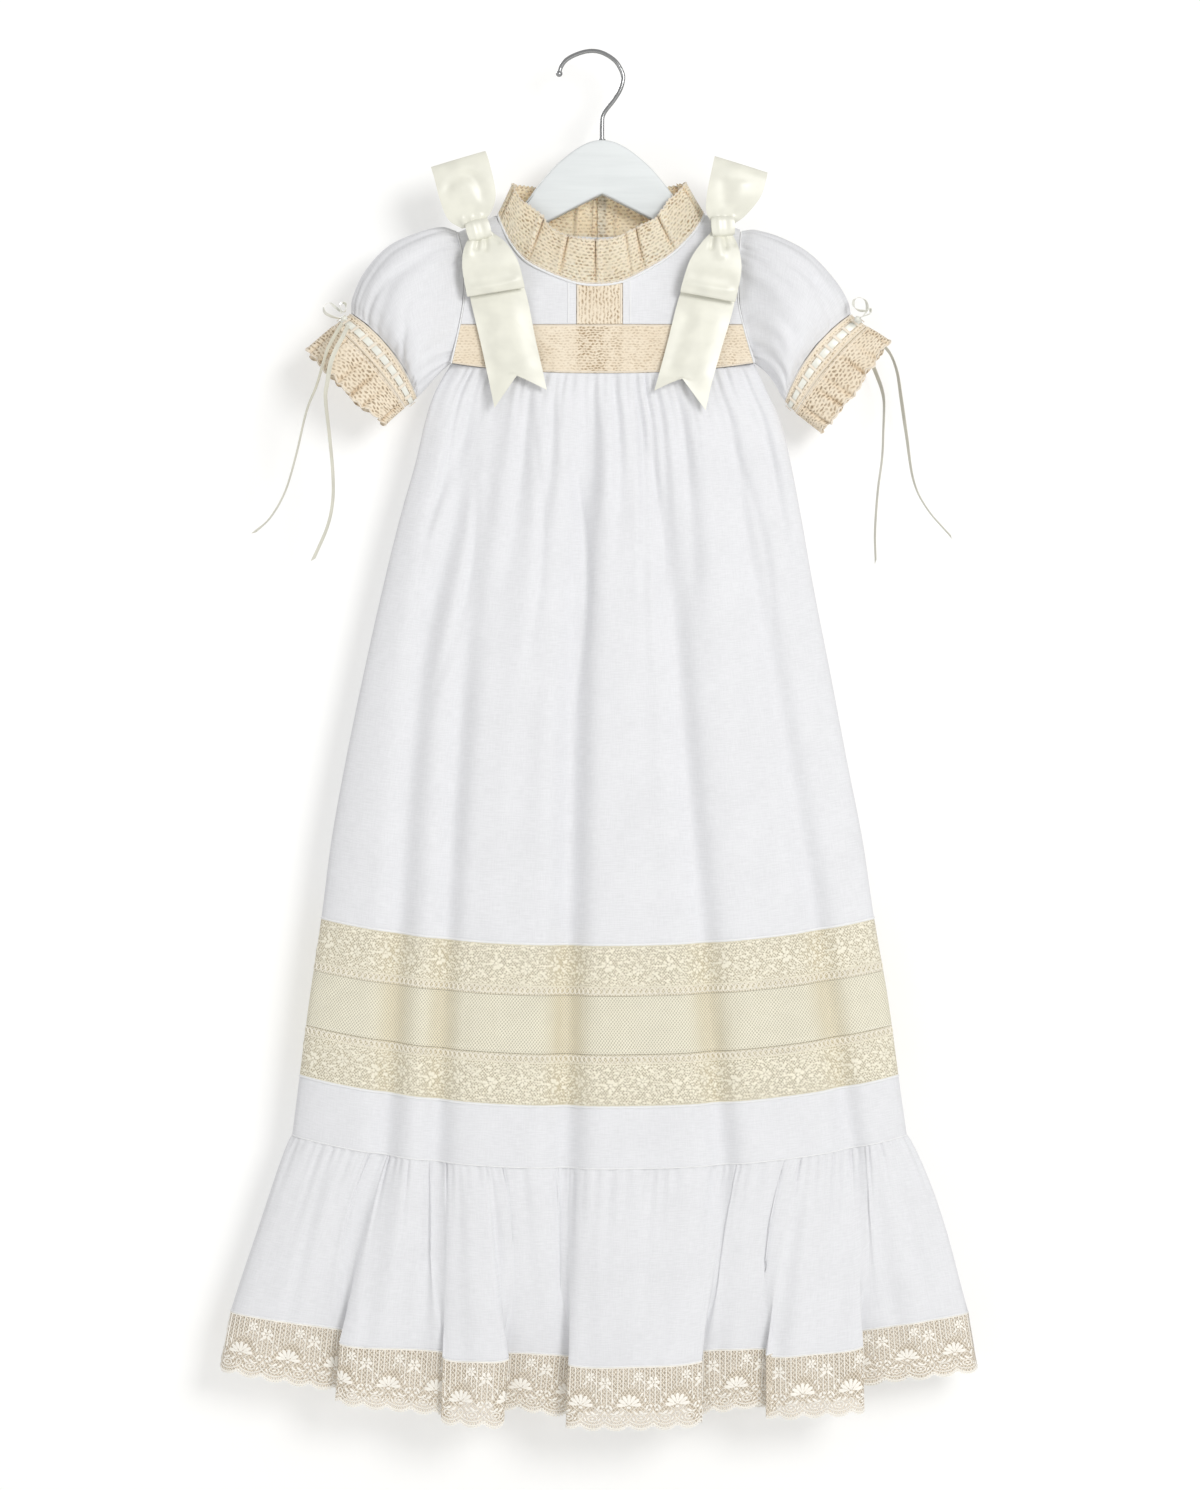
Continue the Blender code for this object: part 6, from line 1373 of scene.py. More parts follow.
def build_yoke(mats):
    gap = SEAM_GAP / 2
    waist = lambda x: seam_drop(SEAMS["waist"], np.minimum(1.0, np.abs(x) / 106.0)) - gap
    left = lambda d: arm_edge("left", d) + 0.95
    right = lambda d: arm_edge("right", d) - 0.95
    flat = lambda value: (lambda d: value + 0.0 * d)
    l0, r0 = float(left(124.6)), float(right(124.6))
    lb, rb = float(left(BAND_TOP)), float(right(BAND_TOP))
    lw, rw = float(left(217.5)), float(right(217.5))
    s0, s1 = CENTER_STRIP["left"], CENTER_STRIP["right"]
    front, back = (NECK_FRONT, FRILL_FRONT), (NECK_BACK, FRILL_BACK)
    band_top = lambda x: BAND_TOP - gap + 0.0 * x
    for name, low, high, edges in (
        ("yoke_front_left", l0, s0 - gap, (left, flat(s0 - gap), lb, s0 - gap)),
        ("yoke_front_right", s1 + gap, r0, (flat(s1 + gap), right, s1 + gap, rb)),
    ):
        surface = yoke_surface(top_corners(*front, low, high), *edges, band_top, 60, 36, bend=YOKE_BENDS)
        # Two fine tucks beside the lace insertion.
        for x in (-22.8, -21.4) if "left" in name else (19.2, 20.6):
            grid = surface.points
            grid[..., 1] -= 0.45 * np.exp(-(((grid[..., 0] - x) / 0.38) ** 2)) * smoothstep(2.0, 6.0, -grid[..., 1])
        xz = (surface.points[..., 0], -surface.points[..., 2])
        piece = shell(name + "_cloth", Surface(surface.points, 1.0), mats["cotton"], lengths=xz)
        own(piece, "cotton", name)
        tuck = []
        for x in ((-23.4,) if "left" in name else (19.9,)):
            top = float(np.interp(x, *np.array(top_corners(*front, low, high)).T)) + 1.0
            d = np.linspace(top, BAND_TOP - 0.8, 40)
            tuck.append(tube(name + "_entredeux", np.stack((np.full(40, x), -yoke_level(np.full(40, x), d) - 0.25, -d), -1), 0.55, mats["piping"], 6, 0.6))
        for piece in tuck:
            own(piece, "cotton")

    corners = top_corners(*front, s0 + gap, s1 - gap)
    surface = yoke_surface(corners, flat(s0 + gap), flat(s1 - gap), s0 + gap, s1 - gap, band_top, 28, 20)
    xz = (surface.points[..., 0], -surface.points[..., 2])
    strip = shell("yoke_lace_center_cloth", surface, mats["strip_lace"], 0.5, lengths=xz)
    own(strip, "lace_cream", "yoke_lace_center")
    corners = [(lerp(lb, rb, k / 60), BAND_TOP + gap) for k in range(61)]
    surface = yoke_surface(corners, left, right, lw, rw, waist, 150, 16)
    # The waist gathers pull at the band's lower edge.
    grid = surface.points
    pull = sum(deep * 0.3 * np.exp(-(((grid[..., 0] - x) / (wide * 1.2)) ** 2)) for x, deep, wide, _ in GATHERS[False])
    grid[..., 1] += pull * smoothstep(205.0, 222.0, -grid[..., 2])
    xz = (grid[..., 0], -grid[..., 2])
    band = shell("yoke_lace_band_cloth", Surface(grid, 1.0), mats["band_lace"], 0.5, lengths=xz)
    own(band, "lace_cream", "yoke_lace_band")
    # Corded edges of the two insertions.
    edges = Chart()
    u_all, v_all = surface.u[-1], surface.v[-1]
    for v in (0.7, v_all - 0.8):
        u = np.linspace(0.3, u_all - 0.3, 180)
        edges.strand(np.stack((u, np.full(180, v)), -1), 1.0, 0.5)
    own(edges.lay("yoke_lace_band_edges", surface, mats["cream_thread"]), "lace_cream")
    for k, x in enumerate((s0 + 1.0, s1 - 1.0)):
        top = float(np.interp(x, *np.array(top_corners(*front, s0 + gap, s1 - gap)).T)) + 0.8
        d = np.linspace(top, BAND_TOP - 0.5, 40)
        own(tube(f"yoke_lace_center_edge_{k + 1}", np.stack((np.full(40, x), -yoke_level(np.full(40, x), d) - 0.2, -d), -1), 0.6, mats["cream_thread"], 6, 0.6), "lace_cream")

    lap = PLACKET_LAP
    bends = [(a, b, c, d, e, f) for a, b, c, d, e, f in YOKE_BENDS]
    surface = yoke_surface(top_corners(*back, l0, lap), left, flat(lap), lw, lap, waist, 60, 36, back=True, bend=bends)
    xz = (surface.points[..., 0], -surface.points[..., 2])
    piece = shell("yoke_back_left_cloth", surface, mats["cotton"], lengths=xz)
    own(piece, "cotton", "yoke_back_left")
    lift = lambda x: PLACKET_LIFT * smoothstep(26.0, 9.0, x)
    surface = yoke_surface(top_corners(*back, -lap, r0), flat(-lap), right, -lap, rw, waist, 60, 36, back=True, lift=lift, bend=bends)
    xz = (surface.points[..., 0], -surface.points[..., 2])
    piece = shell("yoke_back_right_cloth", surface, mats["cotton"], 0.6, lengths=xz)
    own(piece, "cotton", "yoke_back_right")
    # The placket's stitched fold, and a worked hole beside each button.
    for k, x in enumerate((-5.6, 9.5)):
        top = float(np.interp(x, *np.array(top_corners(*back, -lap, r0)).T)) + 1.5
        d = np.linspace(top, 219.0, 60)
        xs = np.full(60, x)
        y = yoke_level(xs, d) + lift(xs) + 0.12
        y = y + 0.06 * np.sin(d * 2 * math.pi / 2.4)
        own(tube(f"placket_stitching_{k + 1}", np.stack((xs, y, -d), -1), 0.32, mats["piping"], 5), "cotton")
    for k, drop in enumerate((136.0, 166.0, 196.0)):
        level = float(yoke_level(0.0, drop)) + PLACKET_LIFT
        angle = np.linspace(0, 2 * math.pi, 28, endpoint=False)
        hole = np.stack((3.0 + 4.6 * np.cos(angle), np.full(28, level + 0.2), -drop - 0.9 * np.sin(angle)), -1)
        own(tube(f"buttonhole_{k + 1}", hole, 0.4, mats["piping"], 5, closed=True), "cotton")


def lathe(name, profile, material, where, sides=32):
    """A turned piece: profile is (radius, height off the cloth) pairs."""
    angle = np.arange(sides) * 2 * math.pi / sides
    rings = [np.stack((r * np.cos(angle), np.full(sides, h), r * np.sin(angle)), -1) for r, h in profile]
    points = np.concatenate(rings + [[[0, profile[0][1], 0]], [[0, profile[-1][1], 0]]]) + np.array(where)
    n = len(profile)
    quads = grid_faces(n, sides, around=True)
    j = np.arange(sides)
    k = (j + 1) % sides
    first = np.stack((np.full(sides, n * sides), j, k), -1)
    last = np.stack((np.full(sides, n * sides + 1), (n - 1) * sides + k, (n - 1) * sides + j), -1)
    return make(name, points, [quads, np.concatenate((first, last))], material, sharp=40)


def build_buttons(mats):
    for k, drop in enumerate((136.0, 166.0, 196.0)):
        level = float(yoke_level(0.0, drop)) + PLACKET_LIFT + 0.62
        profile = [(0.05, 2.3), (1.4, 2.25), (2.6, 1.9), (3.0, 1.75), (3.35, 2.0), (3.9, 2.1), (4.3, 1.8), (4.45, 1.2), (4.2, 0.6), (3.0, 0.1), (0.05, 0.0)]
        own(lathe(f"button_back_{k + 1}_pearl", profile, mats["pearl"], (0.0, level, -drop)), "button", f"button_back_{k + 1}")


# ----------------------------------------------------------- neck and collar
def neck_loops():
    """The neck seam and the frill's edge, from centre back round the front to
    centre back. The ends lap there: the first one lies outside."""
    half = [row for row in NECK_BACK if row["x"] <= 0.0][::-1]
    half = [dict(half[0], x=3.0, y=half[0]["y"] + 1.3)] + half[1:]
    end = [row for row in NECK_BACK[::-1] if row["x"] >= 0.0]
    loop = half[:-1] + NECK_FRONT + end[1:-1] + [dict(end[-1], x=-3.0)]
    top = [row for row in FRILL_BACK if row["x"] <= 0.0][::-1]
    top = [dict(top[0], x=3.0, y=top[0]["y"] + 1.3)] + top[1:]
    end = [row for row in FRILL_BACK[::-1] if row["x"] >= 0.0]
    upper = top[:-1] + FRILL_FRONT + end[1:-1] + [dict(end[-1], x=-3.0)]
    return loop, upper


# Folds of the frill where one pleat laps over the next. Front ones by the x of
# their upper end; then how deep the fold is, which side lies on top (1 the
# left one), and how much higher the pleat to its right stands.
COLLAR_LAPS = [
    (-60.5, 3.6, -1, -3.0), (-42.0, 4.8, 1, -3.2), (-25.2, 5.0, 1, 0.9), (-2.8, 5.0, -1, -0.4),
    (17.5, 2.6, -1, 1.6), (25.0, 4.6, -1, 1.4), (39.2, 5.0, -1, 2.6), (54.5, 4.0, 1, 1.2),
]


def lap_profile(run, laps, overlap=1.7):
    """Along a gathered edge: how far the cloth stands off, how far it slides
    along under the next pleat, how deep between layers it lies, which sets a
    painted shade, and how much higher it stands. laps are (place, depth, side, rise)."""
    off, slide, between, rise = (np.zeros(len(run)) for _ in range(4))
    places = [lap[0] for lap in laps]
    for k, (at, deep, side, step) in enumerate(laps):
        r = (run - at) * side
        off += -deep * 0.62 * np.exp(-(((r - 1.1) / 1.25) ** 2))
        off += deep * 0.42 * np.exp(-(((r + 1.5) / 1.9) ** 2))
        slide += side * overlap * min(1.0, deep / 4.0) * np.exp(-(((r + 0.5) / 1.5) ** 2))
        between = np.maximum(between, min(1.0, deep / 4.2) * np.exp(-(((r - 1.5) / 1.9) ** 2)))
        rise += step * smoothstep(-0.5, 0.5, run - at)
    i = np.clip(np.searchsorted(places, run, side="right") - 1, 0, len(places) - 2)
    f = np.clip((run - np.take(places, i)) / np.maximum(np.take(places, i + 1) - np.take(places, i), 1e-6), 0, 1)
    wide = np.take(places, i + 1) - np.take(places, i)
    off += np.minimum(wide * 0.11, 2.0) * np.sin(np.pi * f)
    # Each pleat's edge slopes back, so that the steps do not add up.
    for k in range(len(places) - 1):
        inside = (run >= places[k]) & (run < places[k + 1])
        rise[inside] += lerp(0.0, -laps[k + 1][3], f[inside])
        rise[run >= places[k + 1]] -= laps[k + 1][3]
    rise -= laps[0][3] * smoothstep(-0.5, 0.5, run - places[0])
    return off, slide, between, rise


def build_neck(mats):
    loop, upper = neck_loops()
    share = np.linspace(0.0, 1.0, 260)
    x, drop, y = along(loop, ("x", "drop", "y"), share)
    whipped = 0.95 * (1.0 + 0.07 * np.sin(np.arange(260) * 1.7))
    own(tube("neck_piping", np.stack((x, y, -drop), -1), whipped, mats["piping"], 8), "cotton", "neck_binding")

    columns, rows = 620, 20
    share = np.linspace(0.0, 1.0, columns)
    bx, bd, by = along(loop, ("x", "drop", "y"), share)
    tx, td, ty = along(upper, ("x", "drop", "y"), share)
    base, top = np.stack((bx, by, -bd), -1), np.stack((tx, ty, -td), -1)
    start = (0.5 / np.linalg.norm(top - base, axis=1))[:, None]
    base = lerp(base, top, start)
    run = np.concatenate(([0.0], np.cumsum(np.linalg.norm(np.diff((base + top) / 2, axis=0), axis=1))))
    # Off the frill, outwards.
    way = np.gradient((base + top) / 2, axis=0)
    rise = top - base
    off = np.cross(way, rise)
    off /= np.linalg.norm(off, axis=1, keepdims=True)
    if np.dot(off[len(off) // 2], (0, -1, 0)) < 0:
        off = -off
    places = len(loop) - 1
    front = (share * places >= 4) & (share * places <= 16)
    laps = [(float(np.interp(px, tx[front], run[front])), deep, side, step) for px, deep, side, step in COLLAR_LAPS]
    rng = np.random.RandomState(12)
    for start_at, way_on in ((laps[0][0], -1), (laps[-1][0], 1)):
        at = start_at
        while True:
            at += way_on * rng.uniform(12.0, 22.0)
            if not 5.0 < at < run[-1] - 5.0:
                break
            laps.append((at, rng.uniform(1.8, 4.2), rng.choice([-1, 1]), rng.uniform(-1.2, 1.2)))
    laps = sorted([(0.0, 0.2, 1, 0.0)] + laps + [(run[-1], 0.2, 1, 0.0)])
    shape, slide, between, step = lap_profile(run, laps)
    ends = smoothstep(0.0, 4.0, run) * smoothstep(run[-1], run[-1] - 4.0, run)
    shape, slide = shape * ends, slide * ends
    v = np.linspace(0.0, 1.0, rows)[:, None, None]
    grow = lerp(0.22, 1.0, v ** 0.75)
    points = lerp(base[None], top[None], v)
    points = points + off[None] * (shape[None, :, None] * grow)
    # Gathers at its foot, and a small uneven scallop along its upper edge.
    foot = 0.3 * np.sin(run * 2 * math.pi / 3.1 + 2 * uneven(run, 4, 9.0))
    points = points + off[None] * (foot[None, :, None] * (1 - v) ** 3)
    soft = 0.35 * uneven(run, 6, 6.0)[None, :, None] * v
    points = points + off[None] * soft
    up = rise / np.linalg.norm(rise, axis=1, keepdims=True)
    edge = 0.45 * np.sin(np.pi * 2 * run / 3.4) + 0.5 * uneven(run, 8, 7.0)
    points = points + up[None] * (edge[None, :, None] * v ** 6 + np.clip(step, -3.5, 3.5)[None, :, None] * 0.55 * v ** 2)
    sideways = way / np.linalg.norm(way, axis=1, keepdims=True)
    points = points + sideways[None] * (slide[None, :, None] * grow)
    surface = Surface(points, -1.0)
    if np.dot(surface.normals[rows // 2, columns // 2], (0, -1, 0)) < 0:
        surface = Surface(points, 1.0)
    folded = np.concatenate(([0.0], np.cumsum(np.linalg.norm(np.diff(points[-8], axis=0), axis=1))))
    lengths = (np.broadcast_to(folded, (rows, columns)), np.broadcast_to(surface.v[:rows, None], (rows, columns)))
    # Painted shade: the lace's colour darkens where it lies in between layers.
    painted_fold_shade = between[None, :] * lerp(0.5, 1.0, v[:, :, 0])
    piece = shell("collar_frill_lace", surface, mats["collar_lace"], 0.5, lengths=lengths, painted_fold_shade=painted_fold_shade)
    own(piece, "lace_cream", "collar_frill")
    chart = Chart()
    total = surface.v[-1]
    u = np.arange(0.6, surface.u[-1] - 0.6, 1.0)
    chart.strand(np.stack((u, total - 0.5 + 0.2 * np.sin(u * 2 * np.pi / 3.4)), -1), 0.9, 0.45)
    chart.strand(np.stack((u, np.full(len(u), 0.9)), -1), 0.8, 0.4)
    trim = chart.lay("collar_frill_edging", surface, mats["cream_thread"])
    own(trim, "lace_cream")


# ------------------------------------------------------------------ sleeves
def tube_ring(ring, power, columns):
    power = ring.get("square", power)
    ax, az, bx, bz = ring["top_x"], -ring["top_drop"], ring["low_x"], -ring["low_drop"]
    cx, cz, mx, mz = (ax + bx) / 2, (az + bz) / 2, (ax - bx) / 2, (az - bz) / 2
    length = math.hypot(mx, mz)
    ux, uz = mx / length, mz / length
    px, pz = (uz, -ux) if (uz * -cx) > 0 else (-uz, ux)
    angle = np.arange(columns) * 2 * math.pi / columns
    c, s = np.cos(angle), np.sin(angle)
    cc, ss = np.sign(c) * np.abs(c) ** power, np.sign(s) * np.abs(s) ** power
    bow = ring["bow"] * (1.0 - cc * cc)
    x = cx + ux * length * cc + px * bow
    z = cz + uz * length * cc + pz * bow
    y = -ring["half"] * ss
    if "armhole" in ring:
        table = ARMHOLES[ring["armhole"]]
        outwards = -1.0 if ring["armhole"] == "left" else 1.0
        x = arm_edge(ring["armhole"], np.clip(-z, table[0]["drop"], table[-1]["drop"])) + outwards * 0.45
    return np.stack((x, y, z), -1)


def ring_tube(rings, columns, rows, power=0.85, bunch=None):
    """Rows of points along a tube of cloth, smooth from ring to ring."""
    stations = np.array([tube_ring(ring, power, columns) for ring in rings])
    middles = stations.mean(1)
    places = np.concatenate(([0.0], np.cumsum(np.linalg.norm(np.diff(middles, axis=0), axis=1))))
    share = np.linspace(0.0, 1.0, rows)
    if bunch is not None:
        share = bunch(share)
    at = share * places[-1]
    out = np.empty((rows, columns, 3))
    for k in range(3):
        for j in range(columns):
            out[:, j, k] = curve_at(places, stations[:, j, k], at)
    return out, share


def tube_surface(points):
    surface = Surface(points, 1.0, around=True)
    middle = points.mean((0, 1))
    row = len(points) // 2
    ring_middle = points[row].mean(0)
    if np.sum((points[row] - ring_middle) * surface.normals[row]) < 0:
        surface = Surface(points, -1.0, around=True)
    return surface


# Soft creases of the puffs: (u0, v0, u1, v1, depth, width) with u the share
# round from the top over the front (0 to 0.5) and v the share down to the cuff.
SLEEVE_CREASES = {
    "left": [
        (0.06, 0.10, 0.10, 0.85, 1.3, 0.016), (0.13, 0.05, 0.20, 0.90, 1.9, 0.020), (0.20, 0.02, 0.24, 0.55, 1.5, 0.016),
        (0.27, 0.06, 0.28, 0.92, 1.8, 0.020), (0.33, 0.04, 0.36, 0.60, 1.5, 0.016), (0.40, 0.10, 0.38, 0.95, 1.5, 0.020),
        (0.24, 0.50, 0.32, 1.0, 1.5, 0.015), (0.16, 0.45, 0.15, 1.0, 1.3, 0.014), (0.45, 0.15, 0.44, 0.9, 1.2, 0.018),
        (0.56, 0.10, 0.58, 0.9, 1.4, 0.020), (0.64, 0.05, 0.66, 0.8, 1.6, 0.020), (0.74, 0.08, 0.72, 0.95, 1.8, 0.022),
        (0.83, 0.05, 0.84, 0.85, 1.5, 0.018), (0.92, 0.10, 0.90, 0.9, 1.3, 0.018),
    ],
    "right": [
        (0.05, 0.10, 0.08, 0.80, 1.2, 0.016), (0.11, 0.04, 0.16, 0.90, 1.8, 0.019), (0.18, 0.06, 0.22, 0.60, 1.4, 0.016),
        (0.24, 0.03, 0.30, 0.92, 1.9, 0.020), (0.31, 0.08, 0.32, 0.55, 1.4, 0.016), (0.37, 0.05, 0.40, 0.95, 1.7, 0.020),
        (0.28, 0.50, 0.24, 1.0, 1.4, 0.015), (0.44, 0.12, 0.45, 0.9, 1.2, 0.018), (0.14, 0.5, 0.12, 1.0, 1.2, 0.014),
        (0.57, 0.10, 0.56, 0.9, 1.4, 0.020), (0.66, 0.05, 0.64, 0.85, 1.6, 0.020), (0.75, 0.05, 0.77, 0.9, 1.8, 0.022),
        (0.85, 0.08, 0.83, 0.85, 1.5, 0.018), (0.93, 0.12, 0.92, 0.9, 1.3, 0.018),
    ],
}


# Pleats of the cuff frills: share round from the top over the front, depth of
# the fold, which side lies on top, and the step of the edge beside it.
CUFF_LAPS = {
    "left": [
        (0.045, 2.6, 1, 0.8), (0.125, 3.8, -1, -1.0), (0.215, 2.4, 1, 0.7), (0.285, 4.2, 1, 1.2), (0.365, 2.2, -1, -1.4), (0.445, 4.0, 1, 1.0),
        (0.525, 3.0, -1, -0.8), (0.61, 3.8, 1, 0.9), (0.70, 2.6, -1, -0.8), (0.78, 3.8, 1, 0.6), (0.87, 3.0, -1, -1.0), (0.95, 3.4, 1, 0.0),
    ],
    "right": [
        (0.05, 3.0, -1, -0.8), (0.12, 2.2, 1, 0.6), (0.205, 4.2, -1, 1.2), (0.29, 2.4, 1, -1.0), (0.355, 4.2, -1, 0.8), (0.43, 3.0, 1, -1.2),
        (0.505, 3.6, -1, 0.9), (0.60, 2.6, 1, -0.8), (0.69, 3.8, -1, 0.8), (0.775, 2.8, 1, 0.6), (0.865, 3.6, -1, -0.9), (0.945, 2.6, 1, 0.0),
    ],
}


def build_sleeves(mats):
    for side in ("left", "right"):
        columns, rows = 150, 48
        ease = lambda t: 0.5 * t + 0.5 * (0.5 - 0.5 * np.cos(np.pi * t))
        points, share = ring_tube(SLEEVE_RINGS[side], columns, rows, bunch=ease)
        surface = tube_surface(points)
        u = (np.arange(columns) / columns)[None, :]
        v = share[:, None]
        deep = np.zeros((rows, columns))
        for u0, v0, u1, v1, depth, wide in SLEEVE_CREASES[side]:
            run = np.clip((v - v0) / (v1 - v0), -0.5, 1.5)
            middle = lerp(u0, u1, run)
            off = (u - middle + 0.5) % 1.0 - 0.5
            ends = smoothstep(-0.15, 0.3, run) * smoothstep(1.15, 0.65, run)
            deep += depth * ends * np.exp(-((off / wide) ** 2))
        # Gathers into the armhole and into the cuff.
        rng = np.random.RandomState(41 if side == "left" else 43)
        for start, sign, count in ((0.0, 1.0, 34), (1.0, -1.0, 30)):
            for k in range(count):
                middle = (k + rng.uniform(-0.3, 0.3)) / count
                depth, wide = rng.uniform(0.6, 1.7), rng.uniform(0.006, 0.011)
                long = rng.uniform(0.12, 0.42)
                off = (u - middle + 0.5) % 1.0 - 0.5
                away = (v - start) * sign
                deep += depth * np.exp(-((off / (wide * (1 + 1.5 * away))) ** 2)) * np.exp(-((away / long) ** 1.4)) * smoothstep(-0.01, 0.03, away)
        deep += 0.3 * uneven(u * 200 + 0 * v, 51, 14.0) * uneven(v * 60 + 0 * u, 52, 14.0)
        points = points - surface.normals * deep[..., None]
        surface = tube_surface(points)
        piece = shell(f"sleeve_{side}_puff", surface, mats["cotton"])
        own(piece, "cotton", f"sleeve_{side}")

        # The corded seam that joins the puff to the yoke, front and back.
        drop = np.linspace(125.7, 217.4, 90)
        x = arm_edge(side, drop) + (0.2 if side == "left" else -0.2)
        for where, facing in (("front", -1.0), ("back", 1.0)):
            level = np.maximum(yoke_level(x, drop) - 0.35, 0.0) * facing
            size = 0.7 * (1.0 + 0.12 * np.sin(np.arange(90) * 1.9))
            own(tube(f"armhole_seam_{side}_{where}", np.stack((x, level, -drop), -1), size, mats["piping"], 7), "cotton")

        cuff = CUFF_RINGS[side]
        shift = 0.35 * (-1 if side == "left" else 1)
        points, _ = ring_tube([cuff["seam"], cuff["ribbon"], cuff["end"]], 168, 12)
        band = tube_surface(points)
        piece = shell(f"cuff_band_{side}_lace", band, mats["beading_lace"], 0.5)
        own(piece, "lace_cream", f"cuff_band_{side}")
        chart = Chart()
        total = band.v[-1]
        u_end = band.u[-1]
        u = np.linspace(0.0, u_end, 200)
        for v_at, wide, high in ((0.7, 1.1, 0.55), (total / 2 - 3.0, 0.8, 0.45), (total / 2 + 3.0, 0.8, 0.45), (total - 0.8, 1.0, 0.55)):
            chart.strand(np.stack((u, np.full(200, v_at)), -1), wide, high)
        bars = max(8, round(u_end / 8.6))
        trim_u = np.arange(bars) * u_end / bars
        for at in trim_u:
            chart.strand([(at, total / 2 - 3.4), (at, total / 2 - 1.2), (at, total / 2 + 1.2), (at, total / 2 + 3.4)], 1.9, 0.5, base=1.45)
            chart.strand([(at + u_end / bars / 2, 3.0), (at + u_end / bars / 2, total / 2 - 2.3)], 0.8, 0.4)
            chart.strand([(at + u_end / bars / 2, total / 2 + 2.3), (at + u_end / bars / 2, total - 3.0)], 0.8, 0.4)
        bands = chart.lay(f"cuff_band_{side}_bars", band, mats["cream_thread"])
        own(bands, "lace_cream")
        # The narrow ribbon dips under each bar.
        columns = 240
        uu = np.linspace(0.0, u_end, columns, endpoint=False)
        wave = 0.55 + 0.55 * np.abs(np.sin(np.pi * uu / (u_end / bars)))
        grid = np.stack([band.place(uu, np.full(columns, total / 2 + off), wave + lift) for off, lift in ((-2.1, 0.0), (-1.1, 0.15), (0.0, 0.2), (1.1, 0.15), (2.1, 0.0))])
        ribbon = shell(f"cuff_ribbon_{side}_satin", tube_surface(grid), mats["ribbon"], 0.25)
        own(ribbon, "satin", f"cuff_ribbon_{side}")

        start = dict(cuff["end"], top_x=cuff["end"]["top_x"] + shift, top_drop=cuff["end"]["top_drop"] + 0.35,
                     low_x=cuff["end"]["low_x"] + shift, low_drop=cuff["end"]["low_drop"] + 0.35)
        columns, rows = 420, 20
        points, share = ring_tube([start, cuff["middle"], cuff["edge"]], columns, rows)
        plain_frill = tube_surface(points)
        middle = points[-1]
        run = np.concatenate(([0.0], np.cumsum(np.linalg.norm(np.diff(middle, axis=0), axis=1))))
        around = run[-1] + np.linalg.norm(middle[0] - middle[-1])
        laps = [(share_at * around, deep, lean, rise) for share_at, deep, lean, rise in CUFF_LAPS[side]]
        wrapped = [(at - around, d, l, r) for at, d, l, r in laps[-2:]] + laps + [(at + around, d, l, r) for at, d, l, r in laps[:2]]
        shape, slide, between, rise = lap_profile(run, wrapped, 1.5)
        v = share[:, None]
        grow = lerp(0.12, 1.0, v ** 0.8)
        foot = 0.3 * np.sin(np.arange(columns) / columns * 2 * np.pi * 64)[None, :] * (1 - v) ** 2
        points = points + plain_frill.normals * (shape[None, :] * grow + foot)[..., None]
        sideways = np.roll(points, -1, 1) - np.roll(points, 1, 1)
        sideways /= np.maximum(np.linalg.norm(sideways, axis=2, keepdims=True), 1e-9)
        points = points + sideways * (slide[None, :] * grow)[..., None]
        # The outer edge is scalloped and hangs unevenly from pleat to pleat.
        teeth = max(8, round(around / 8.4))
        scallop = np.abs(np.sin(np.pi * run / around * teeth)) ** 0.7
        outwards = points[-1] - points[0]
        outwards /= np.linalg.norm(outwards, axis=1, keepdims=True)
        drop = (scallop - 0.7) * 1.6 + np.clip(rise, -2.5, 2.5) * 0.9 + 1.5 * uneven(run, 71, 7.0)
        points = points + outwards[None] * drop[None, :, None] * (v[..., None] ** 2)
        frill = tube_surface(points)
        lengths = (np.broadcast_to(run * (teeth * 8.4 / around), (rows, columns)), np.broadcast_to(frill.v[:rows, None], (rows, columns)))
        # Painted shade: the lace's colour darkens where it lies in between layers.
        painted_fold_shade = between[None, :] * lerp(0.4, 1.0, v)
        piece = shell(f"cuff_frill_{side}_lace", frill, mats["cuff_lace"], 0.5, lengths=lengths, painted_fold_shade=painted_fold_shade)
        own(piece, "lace_cream", f"cuff_frill_{side}")
        chart = Chart()
        total = frill.v[-1]
        uu = np.linspace(0.0, frill.u[-1], 560)
        chart.strand(np.stack((uu, np.full(560, total - 0.6)), -1), 1.0, 0.5)
        chart.strand(np.stack((uu, np.full(560, 1.2)), -1), 0.8, 0.45)
        trim = chart.lay(f"cuff_frill_{side}_edging", frill, mats["cream_thread"])
        own(trim, "lace_cream")


